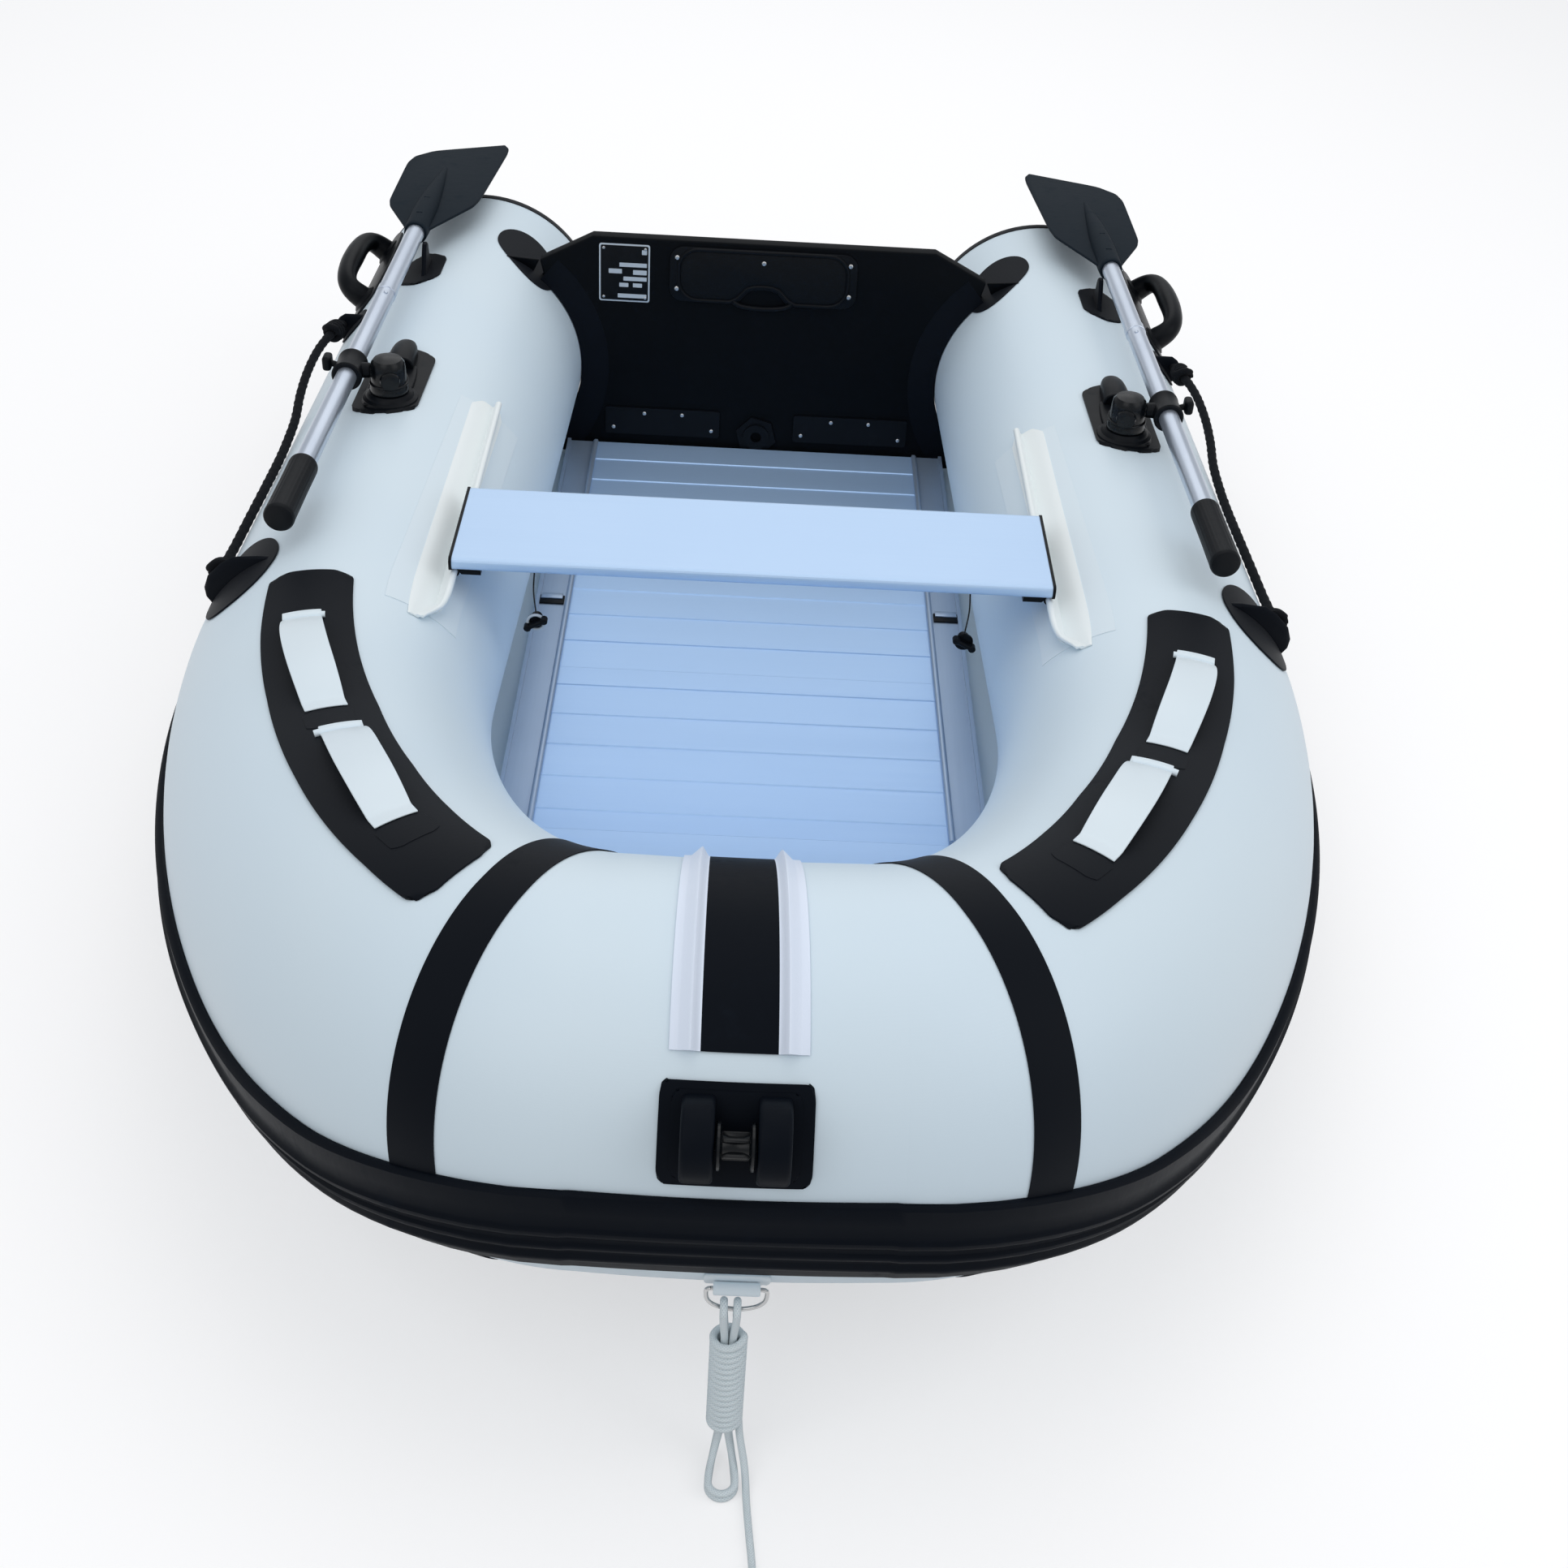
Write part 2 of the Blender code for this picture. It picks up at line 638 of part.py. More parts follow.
def turn_about(obj, pivot):
    """Moves an object's origin to a point, with its shape left in place."""
    offset = Vector(pivot)
    obj.data.transform(Matrix.Translation(-offset))
    obj.location = offset
    return obj


def cord(name, points, diameter, finish, resolution):
    """Round cord along a list of points, with closed ends."""
    curve = bpy.data.curves.new(name, "CURVE")
    curve.dimensions = "3D"
    curve.bevel_depth = diameter / 2
    curve.bevel_resolution = resolution
    curve.use_fill_caps = True
    spline = curve.splines.new("POLY")
    spline.points.add(len(points) - 1)
    for slot, point in zip(spline.points, points):
        slot.co = (*point, 1)
    obj = bpy.data.objects.new(name, curve)
    bpy.context.scene.collection.objects.link(obj)
    curve.materials.append(principled(name, finish))
    return obj


def smooth_route(points, count):
    """Evenly spaced points of a smooth curve through a route's points."""
    route = [np.array(p, float) for p in points]
    ends = [2 * route[0] - route[1]] + route + [2 * route[-1] - route[-2]]
    dense = []
    for p0, p1, p2, p3 in zip(ends, ends[1:], ends[2:], ends[3:]):
        for t in np.linspace(0, 1, 24, endpoint=False):
            dense.append(0.5 * (2 * p1 + (p2 - p0) * t + (2 * p0 - 5 * p1 + 4 * p2 - p3) * t ** 2
                                + (3 * p1 - p0 - 3 * p2 + p3) * t ** 3))
    dense = np.array(dense + [route[-1]])
    run = np.concatenate([[0], np.cumsum(np.linalg.norm(np.diff(dense, axis=0), axis=1))])
    even = np.linspace(0, run[-1], count)
    return [Vector([float(np.interp(s, run, dense[:, axis])) for axis in range(3)]) for s in even]


# Hull
def ring_angles():
    """Angles of the tube's sides, with one corner at the very bottom."""
    return [-90 + 360 * k / TUBE_SIDES for k in range(TUBE_SIDES)]


def tube_ring(s, side=1, lift=0):
    """One ring of the tube's skin."""
    return [LINE.place(s, angle, lift, side) for angle in ring_angles()]


def capped(rings, first_centre, last_centre):
    """Closed solid through rings, whose ends are fans about given centres."""
    bm = bmesh.new()
    rows = [add_ring(bm, ring) for ring in rings]
    for first, second in zip(rows, rows[1:]):
        bridge(bm, first, second)
    for row, centre in ((rows[0], first_centre), (rows[-1], last_centre)):
        hub = bm.verts.new(centre)
        for k, vert in enumerate(row):
            bm.faces.new((hub, vert, row[(k + 1) % len(row)]))
    return bm


def line_point(s, side=1):
    """Point of the centre line."""
    point = LINE.sample(LINE.points, abs(s))
    return Vector((side * math.copysign(1, s) * point[0], point[1], point[2]))


def side_tube(side):
    """Side chamber, from the seam at the bow to its end cone."""
    first = SEAM_S + SEAM_GAP / 2
    rings = [tube_ring(s, side) for s in stations(first, LINE.length)]
    along = Vector(LINE.along[-1])
    along.x *= side
    for ahead, share in zip(CONE_AHEAD_SHARES, CONE_RADIUS_SHARES):
        ring = tube_ring(LINE.length, side, (share - 1) * TUBE_RADIUS)
        rings.append([p + ahead * CONE_LENGTH * along for p in ring])
    end = line_point(LINE.length, side) + CONE_LENGTH * along
    return capped(rings, line_point(first, side), end)


def bow_tube():
    """Chamber across the bow."""
    last = SEAM_S - SEAM_GAP / 2
    half = stations(0, last)
    values = [-s for s in reversed(half[1:])] + half
    return capped([tube_ring(s) for s in values], line_point(-last), line_point(last))


def strake_centre(s):
    """Angle of the middle of the rubbing strake at the distance s."""
    turn = smooth_step(STRAKE_TURN_FROM_S, STRAKE_TURN_TO_S, abs(s))
    dip = math.exp(-((abs(s) - STRAKE_DIP_S) / STRAKE_DIP_WIDTH) ** 2)
    return STRAKE_BOW_DEG + (STRAKE_SIDE_DEG - STRAKE_BOW_DEG) * turn + STRAKE_DIP_DEG * dip


def rub_strake():
    """Ribbed rubber strake round the whole outside."""
    half = stations(0, LINE.length)
    rings = []
    for s in [-s for s in reversed(half[1:])] + half:
        middle = strake_centre(s)
        proud = STRAKE_HEIGHT * (STRAKE_BOW_SHARE + (1 - STRAKE_BOW_SHARE) * smooth_step(0, STRAKE_FULL_S, abs(s)))
        ring = [LINE.place(s, middle - share * STRAKE_HALF_DEG, SKIN_GAP + height * proud)
                for share, height in STRAKE_SHARES]
        for k in range(STRAKE_INNER_STEPS + 1):
            share = 1 - 2 * k / STRAKE_INNER_STEPS
            ring.append(LINE.place(s, middle - share * STRAKE_HALF_DEG, SKIN_GAP))
        rings.append(ring)
    return loft(rings)


def transom_y(z, aft=0):
    """Place along the boat of the transom's front face at height z, or of a plane aft of it."""
    return TRANSOM_FOOT_Y + TRANSOM_RAKE * (z - TRANSOM_FOOT_Z) + aft


KEEL_TOP_Z = KEEL_GUARD_THICKNESS + GAP + BOTTOM_THICKNESS


def bottom_rows():
    """Rows of the bottom skin from the bow aft: y, half width, height at the tube and height at the keel."""
    last = LINE.s_at_y(transom_y(TRANSOM_LOW_Z, TRANSOM_THICKNESS))
    rows = []
    for s in stations(BOTTOM_FRONT_S, last):
        edge = LINE.place(s, BOTTOM_DEG, SKIN_GAP)
        fade = smooth_step(KEEL_FADE_FROM_S, KEEL_FADE_TO_S, s)
        flat_edge = TUBE_RADIUS + (TUBE_RADIUS + SKIN_GAP) * math.sin(math.radians(BOTTOM_DEG))
        rows.append((edge.y, edge.x, edge.z, edge.z - fade * (flat_edge - KEEL_TOP_Z)))
    return rows


def bottom_at(y, x):
    """Height of the bottom skin's top at a place on the boat."""
    rows = np.array(bottom_rows())
    half, edge, keel = (float(np.interp(y, rows[:, 0], rows[:, k])) for k in (1, 2, 3))
    share = max(0, (abs(x) - KEEL_GUARD_HALF) / (half - KEEL_GUARD_HALF))
    return keel + (edge - keel) * share


def hull_bottom():
    """Bottom skin: a shallow V between the side tubes."""
    top = []
    for y, half, edge, keel in bottom_rows():
        top.append([Vector((-half, y, edge)), Vector((-KEEL_GUARD_HALF, y, keel)),
                    Vector((KEEL_GUARD_HALF, y, keel)), Vector((half, y, edge))])
    drop = Vector((0, 0, BOTTOM_THICKNESS))
    return slab(top, [[p - drop for p in row] for row in top])


def keel_guard():
    """Wear strip under the keel, flat where the boat stands on it."""
    rings = []
    for y, half, edge, keel in bottom_rows():
        if y < KEEL_GUARD_FRONT_Y:
            continue
        top = keel - BOTTOM_THICKNESS - GAP
        low = top - KEEL_GUARD_THICKNESS
        x = KEEL_GUARD_HALF
        rings.append([Vector((-x, y, low)), Vector((x, y, low)), Vector((x, y, top)), Vector((-x, y, top))])
    return loft(rings)


# Transom
def side_line_x(y):
    """Distance of the straight tube's centre line from the middle plane."""
    return SIDE_X + (STERN_X - SIDE_X) * (y - SHOULDER_Y) / (STERN_Y - SHOULDER_Y)


def board_normal():
    """Direction that the transom's front face looks in."""
    return Vector((0, -1, TRANSOM_RAKE)).normalized()


def on_board(x, z, out=0):
    """Point on the transom's front face, or in front of it."""
    return Vector((x, transom_y(z), z)) + out * board_normal()


def board_depth():
    """Thickness of the board square to its faces."""
    return TRANSOM_THICKNESS / math.sqrt(1 + TRANSOM_RAKE ** 2)


def transom_side(aft):
    """Points down the port edge of one face of the transom, fitted to the tube."""
    reach = TUBE_RADIUS + TRANSOM_TUBE_GAP
    line_x = side_line_x(transom_y(TUBE_RADIUS, aft))
    high = math.acos((line_x - TRANSOM_CORNER_HALF) / reach)
    low = math.asin((TRANSOM_LOW_Z - TUBE_RADIUS) / reach)
    points = [(TRANSOM_TOP_HALF, TRANSOM_TOP_Z), (TRANSOM_CORNER_HALF, TRANSOM_CORNER_Z)]
    for k in range(TRANSOM_EDGE_STEPS + 1):
        angle = high + (low - high) * k / TRANSOM_EDGE_STEPS
        points.append((line_x - reach * math.cos(angle), TUBE_RADIUS + reach * math.sin(angle)))
    points.append((KEEL_GUARD_HALF, KEEL_TOP_Z + GAP))
    return points


def transom():
    """Stern board that carries the motor."""
    faces = []
    for aft in (0, TRANSOM_THICKNESS):
        side = transom_side(aft)
        outline = side + [(-x, z) for x, z in reversed(side)]
        faces.append([Vector((x, transom_y(z, aft), z)) for x, z in outline])
    return loft(faces)


def board_plate(outline, thickness, front=True):
    """Plate on one face of the transom, from an outline of (x, z) points."""
    base = GAP if front else -board_depth() - GAP
    step = thickness if front else -thickness
    return loft([[on_board(x, z, base) for x, z in outline], [on_board(x, z, base + step) for x, z in outline]])


def inner_motor_pad():
    """Clamp pad on the inside of the transom: a raised rim, and a notch in its lower edge."""
    low = INNER_PAD_TOP_Z - INNER_PAD_HEIGHT
    outline = rounded_box(INNER_PAD_HALF, low, INNER_PAD_TOP_Z, INNER_PAD_CORNER)
    half_way = len(outline) * 3 // 4
    notch = [(share * INNER_PAD_NOTCH_HALF, low + rise * INNER_PAD_NOTCH_HEIGHT)
             for share, rise in ((-1.5, 0), (-1.0, 0.55), (-0.55, 1.0), (0.55, 1.0), (1.0, 0.55), (1.5, 0))]
    bm = board_plate(outline[:half_way] + notch + outline[half_way:], INNER_PAD_THICKNESS)
    bmesh.ops.recalc_face_normals(bm, faces=bm.faces)
    front = [face for face in bm.faces if face.normal.dot(board_normal()) > 0.9]
    bmesh.ops.inset_region(bm, faces=front, thickness=INNER_PAD_RIM, use_even_offset=True)
    inner = [face for face in front if face.is_valid]
    bmesh.ops.inset_region(bm, faces=inner, thickness=INNER_PAD_RECESS / 2, use_even_offset=True)
    for vert in {vert for face in inner for vert in face.verts}:
        vert.co -= INNER_PAD_RECESS * board_normal()
    return bm


def outer_motor_pad():
    """Clamp plate on the outside of the transom."""
    outline = rounded_box(OUTER_PAD_HALF, OUTER_PAD_TOP_Z - OUTER_PAD_HEIGHT, OUTER_PAD_TOP_Z, OUTER_PAD_CORNER)
    return board_plate(outline, OUTER_PAD_THICKNESS, front=False)


def floor_bracket(side):
    """Plate at the foot of the transom that keeps the floor down."""
    half = (BRACKET_OUTER_X - BRACKET_INNER_X) / 2
    outline = rounded_box(half, BRACKET_BOTTOM_Z, BRACKET_TOP_Z, BRACKET_CORNER, steps=2)
    middle = side * (BRACKET_INNER_X + half)
    return board_plate([(x + middle, z) for x, z in outline], BRACKET_THICKNESS)


def build_transom():
    """Board, motor pads, floor brackets and drain."""
    board = node("transom", transom(), BLACK_BOARD)
    normal = board_normal()
    middle = on_board(0, DRAIN_Z)
    rear = -board_depth()
    hole = turned([(0, rear - CUT_OVERRUN), (DRAIN_NECK_RADIUS + GAP, rear - CUT_OVERRUN),
                   (DRAIN_NECK_RADIUS + GAP, CUT_OVERRUN), (0, CUT_OVERRUN)], normal, middle, 16)
    combine(board, helper("cut_drain_hole", hole), "DIFFERENCE")
    node("motor_pad_inner", inner_motor_pad(), BLACK_PLASTIC)
    node("motor_pad_outer", outer_motor_pad(), BLACK_PLASTIC)
    for name, side in SIDES:
        node("floor_bracket_" + name, floor_bracket(side), BLACK_PLASTIC)
    corner = DRAIN_HEX_ACROSS / math.sqrt(3)
    face = GAP + DRAIN_FLANGE_THICKNESS
    flange = turned([(0, GAP), (corner, GAP), (corner, face), (0, face)], normal, middle, 6)
    drain = node("drain_fitting", flange, BLACK_PLASTIC)
    crown = face + DRAIN_BOSS_HEIGHT
    body = turned([(0, rear - DRAIN_TAIL), (DRAIN_NECK_RADIUS, rear - DRAIN_TAIL), (DRAIN_NECK_RADIUS, face / 2),
                   (DRAIN_BOSS_RADIUS, face / 2), (DRAIN_BOSS_RADIUS, crown), (0, crown)], normal, middle, 16)
    bore = turned([(0, crown - DRAIN_BORE_DEPTH), (DRAIN_BORE_RADIUS, crown - DRAIN_BORE_DEPTH),
                   (DRAIN_BORE_RADIUS, crown + CUT_OVERRUN), (0, crown + CUT_OVERRUN)], normal, middle, 16)
    combine(drain, helper("join_drain_body", body), "UNION")
    combine(drain, helper("cut_drain_bore", bore), "DIFFERENCE")


def build_hull():
    """Tubes, strake, bottom skin and keel guard."""
    for name, side in SIDES:
        node(name + "_tube", side_tube(side), PVC_WHITE)
    node("bow_tube", bow_tube(), PVC_WHITE)
    node("rub_strake", rub_strake(), PVC_BLACK)
    node("hull_bottom", hull_bottom(), PVC_WHITE)
    node("keel_guard", keel_guard(), PVC_BLACK)


# Floor
def floor_rear_y():
    """Where the floor ends, ahead of the transom."""
    return transom_y(FLOOR_TOP_Z) - FLOOR_STERN_GAP


def floor_panel(front, rear):
    """Hollow-section floor board with low cross ribs."""
    low = FLOOR_TOP_Z - FLOOR_THICKNESS
    x = FLOOR_HALF
    profile = [(front, low), (rear, low), (rear, FLOOR_TOP_Z)]
    count = int((rear - front) / FLOOR_RIB_PITCH)
    start = (rear + front) / 2 + (count - 1) * FLOOR_RIB_PITCH / 2
    for k in range(count):
        y = start - k * FLOOR_RIB_PITCH
        crest = FLOOR_TOP_Z + FLOOR_RIB_HEIGHT
        profile += [(y + FLOOR_RIB_WIDTH / 2, FLOOR_TOP_Z), (y + FLOOR_RIB_WIDTH / 4, crest),
                    (y - FLOOR_RIB_WIDTH / 4, crest), (y - FLOOR_RIB_WIDTH / 2, FLOOR_TOP_Z)]
    profile.append((front, FLOOR_TOP_Z))
    return extruded([Vector((-x, y, z)) for y, z in profile], (2 * x, 0, 0))


def stringer(side):
    """Side rail that clips the floor boards together."""
    low_x = FLOOR_HALF + GAP
    high_x = low_x + STRINGER_WIDTH
    top = FLOOR_TOP_Z
    lip = top + STRINGER_LIP_HEIGHT
    rings = []
    ends = (FLOOR_JOINTS_Y[-1], floor_rear_y())
    middle_rows = [row[0] for row in bottom_rows() if ends[0] + GAP < row[0] < ends[1] - GAP]
    for y in (ends[0], *middle_rows, ends[1]):
        section = [(low_x, bottom_at(y, low_x) + 2 * GAP), (high_x, bottom_at(y, high_x) + 2 * GAP), (high_x, lip),
                   (high_x - STRINGER_LIP, lip), (high_x - STRINGER_LIP, top), (low_x + STRINGER_LIP, top),
                   (low_x + STRINGER_LIP, lip), (low_x, lip)]
        rings.append([Vector((side * x, y, z)) for x, z in section])
    return loft(rings)


def bow_board():
    """Front floor board, which climbs with the bottom under the bow."""
    front_y = LINE.place(BOW_BOARD_FRONT_S, BOTTOM_DEG).y
    rear_y = FLOOR_JOINTS_Y[-1] - GAP
    rows = [row for row in bottom_rows() if front_y < row[0] < rear_y]
    table = np.array(bottom_rows())
    edge_at_rear = float(np.interp(rear_y, table[:, 0], table[:, 2]))
    half_at_rear = float(np.interp(rear_y, table[:, 0], table[:, 1]))
    rings = []
    for y, half, edge, _ in rows + [(rear_y, half_at_rear, edge_at_rear, 0)]:
        low = FLOOR_TOP_Z - FLOOR_THICKNESS + edge - edge_at_rear
        x = BOW_BOARD_HALF_SHARE * half
        top = low + FLOOR_THICKNESS
        rings.append([Vector((-x, y, low)), Vector((x, y, low)), Vector((x, y, top)), Vector((-x, y, top))])
    return loft(rings)


def build_floor():
    """Three floor boards, the bow board and two stringers."""
    rears = (floor_rear_y(), *FLOOR_JOINTS_Y[:-1])
    for name, front, rear in zip(("aft", "mid", "fore"), FLOOR_JOINTS_Y, rears):
        gap = 0 if name == "aft" else GAP
        node("floor_panel_" + name, floor_panel(front, rear - gap), ALUMINIUM)
    node("bow_board", bow_board(), ALUMINIUM)
    for name, side in SIDES:
        node("stringer_" + name, stringer(side), ALUMINIUM)


# Seat
def mirror_to(side, bm):
    """Turns a shape modelled for the port side into the one for the side given."""
    if side < 0:
        bmesh.ops.transform(bm, matrix=Matrix.Scale(-1, 4, X_AXIS), verts=bm.verts)
    return bm


def seat_profile(proud=0):
    """Outline (y, z) of the bench, or of its slightly larger end caps."""
    low = SEAT_TOP_Z - SEAT_THICKNESS - proud
    outline = rounded_box(SEAT_WIDTH / 2 + proud, low, SEAT_TOP_Z + proud, SEAT_EDGE)
    return [(SEAT_Y + y, z) for y, z in outline]


def seat_hook():
    """Outline (x, z) of the slider that wraps the track's bead under the seat."""
    top = SEAT_TOP_Z - SEAT_THICKNESS - GAP
    inner = BEAD_RADIUS + SEAT_RUN_CLEARANCE
    outer = inner + SEAT_HOOK_WALL
    bead = (BEAD_X, BEAD_Z)
    points = arc(bead, inner, 40, 290, 12)
    points += arc(bead, outer, 290, 190, 5)
    step_z = BEAD_Z - outer / 2
    points += [(BEAD_X - outer - SEAT_HOOK_WALL, step_z), (BEAD_X - SEAT_HOOK_REACH, step_z),
               (BEAD_X - SEAT_HOOK_REACH, top), (points[0][0], top)]
    return points


def build_seat():
    """Bench, its end mouldings and the tracks that it slides along."""
    pivot = Vector((0, SEAT_Y, SEAT_TOP_Z))
    bench = [Vector((-SEAT_HALF, y, z)) for y, z in seat_profile()]
    turn_about(node("seat_bench", extruded(bench, (2 * SEAT_HALF, 0, 0)), ALUMINIUM), pivot)
    for name, side in SIDES:
        cap = [Vector((SEAT_HALF + GAP, y, z)) for y, z in seat_profile(SEAT_CAP_PROUD)]
        end = node("seat_end_" + name, mirror_to(side, extruded(cap, (SEAT_CAP_THICKNESS, 0, 0))), BLACK_PLASTIC)
        for label, y in (("fore", SEAT_Y - SEAT_WIDTH / 2 + SEAT_HOOK_INSET),
                         ("aft", SEAT_Y + SEAT_WIDTH / 2 - SEAT_HOOK_INSET - SEAT_HOOK_LENGTH)):
            outline = [Vector((x, y, z)) for x, z in seat_hook()]
            hook = mirror_to(side, extruded(outline, (0, SEAT_HOOK_LENGTH, 0)))
            combine(end, turn_about(helper(f"join_seat_hook_{label}_{name}", hook), pivot), "UNION")
        turn_about(end, pivot)
        node("seat_track_" + name, mirror_to(side, seat_track()), PVC_WHITE)
        plug_top = SEAT_TOP_Z - SEAT_THICKNESS - GAP - TETHER_DROP
        top = Vector((side * TETHER_X, TETHER_Y, plug_top + TETHER_DROP))
        bow = Vector((side * TETHER_DIAMETER, -TETHER_DIAMETER, 0))
        foot = Vector((side * TETHER_X, TETHER_Y, plug_top + GAP))
        route = smooth_route([top, (top + foot) / 2 + bow, foot], 7)
        cord("tether_" + name, route, TETHER_DIAMETER, ROPE_BLACK, 1)
        node("tether_plug_" + name, mirror_to(side, tether_plug(plug_top)), BLACK_PLASTIC)
        combine(bpy.data.objects["tether_plug_" + name],
                helper("join_plug_wings_" + name, mirror_to(side, plug_wings(plug_top))), "UNION")


def tether_plug(top):
    """Quarter-turn plug hanging below the seat."""
    centre = (TETHER_X, TETHER_Y, top - PLUG_RADIUS)
    profile = [(0, -PLUG_BODY_LENGTH), (PLUG_BODY_RADIUS, -PLUG_BODY_LENGTH), (PLUG_BODY_RADIUS, 0),
               (PLUG_RADIUS, 0), (PLUG_RADIUS, PLUG_FLANGE), (0, PLUG_FLANGE)]
    return turned(profile, -Y_AXIS, centre, 14)


def plug_wings(top):
    """Wings of the plug, to turn it by."""
    z = top - PLUG_RADIUS
    front = TETHER_Y - PLUG_FLANGE / 2
    half = PLUG_WING_THICKNESS / 2
    return block((TETHER_X - PLUG_WING_HALF, front - PLUG_WING_HEIGHT, z - half),
                 (TETHER_X + PLUG_WING_HALF, front, z + half))


def fin_root_deg(s):
    """Angle on the tube at which the slanting fin below the bead meets its base."""
    low, high = TRACK_OUTER_DEG, TRACK_INNER_DEG
    for _ in range(BISECT_STEPS):
        deg = (low + high) / 2
        root = LINE.place(s, deg, SKIN_GAP + TRACK_BASE_THICKNESS)
        if math.degrees(math.atan2(root.z - BEAD_Z, root.x - BEAD_X)) > TRACK_FIN_DEG:
            low = deg
        else:
            high = deg
    return (low + high) / 2


def seat_track():
    """Glued track: a base on the tube, a fin and a straight bead along its edge."""
    rows = [float(LINE.sample(LINE.points, s)[1]) for s in stations(0, LINE.length)]
    front = max(y for y in rows if y < TRACK_FRONT_Y)
    span = BEAD_FRONT_Y - front
    places = sorted({y for y in rows if front <= y < TRACK_REAR_Y} | {BEAD_FRONT_Y, TRACK_REAR_Y})
    rings = []
    for y in places:
        s = LINE.s_at_y(y)
        ahead = min(1, (y - front) / span)
        base_degs = list(np.linspace(TRACK_OUTER_DEG, fin_root_deg(s), 4)) + [TRACK_INNER_DEG]
        low = [LINE.place(s, deg, SKIN_GAP) for deg in base_degs]
        high = [LINE.place(s, deg, SKIN_GAP + TRACK_BASE_THICKNESS) for deg in base_degs]
        root = high[3]
        bead = Vector((BEAD_X, root.y, BEAD_Z))
        bead = root + (bead - root) * (0.2 + 0.8 * ahead)
        radius = TRACK_FIN_HALF * 1.6 + (BEAD_RADIUS - TRACK_FIN_HALF * 1.6) * ahead
        back = math.atan2(root.z - bead.z, root.x - bead.x)
        half = math.asin(TRACK_FIN_HALF / radius)
        square = Vector((math.sin(back), 0, -math.cos(back))) * TRACK_FIN_HALF
        round_bead = []
        for k in range(9):
            angle = back - half - (2 * math.pi - 2 * half) * k / 8
            round_bead.append(bead + radius * Vector((math.cos(angle), 0, math.sin(angle))))
        ring = low + [high[4], root + square] + round_bead + [root - square] + high[2::-1]
        rings.append(ring)
    return loft(rings)


# Oars and rowlocks
def oar_direction():
    """Direction of the port oar, aft along its shaft."""
    return Vector((OAR_TOE, 1, 0)).normalized()


def oar_foot():
    """Point of the shaft's axis in the middle of the collar."""
    return Vector((COLLAR_X, PIVOT_Y, OAR_Z))


def oar_rod(profile, sides=12):
    """Shape turned about the port oar's shaft; heights run aft from the collar."""
    return turned(profile, oar_direction(), oar_foot(), sides)


def solid_rod(radius, first, last):
    """Profile of a plain rod."""
    return [(0, first), (radius, first), (radius, last), (0, last)]


def oar_blade_plate():
    """Flat of the blade, level as the oar is stowed."""
    along = oar_direction()
    outboard = Vector((along.y, -along.x, 0))
    low = oar_foot() - Z_AXIS * BLADE_THICKNESS / 2
    outline = [low + along * (BLADE_FROM + a * BLADE_LENGTH) + outboard * w * BLADE_WIDTH for a, w in BLADE_SHARES]
    return extruded(outline, Z_AXIS * BLADE_THICKNESS)


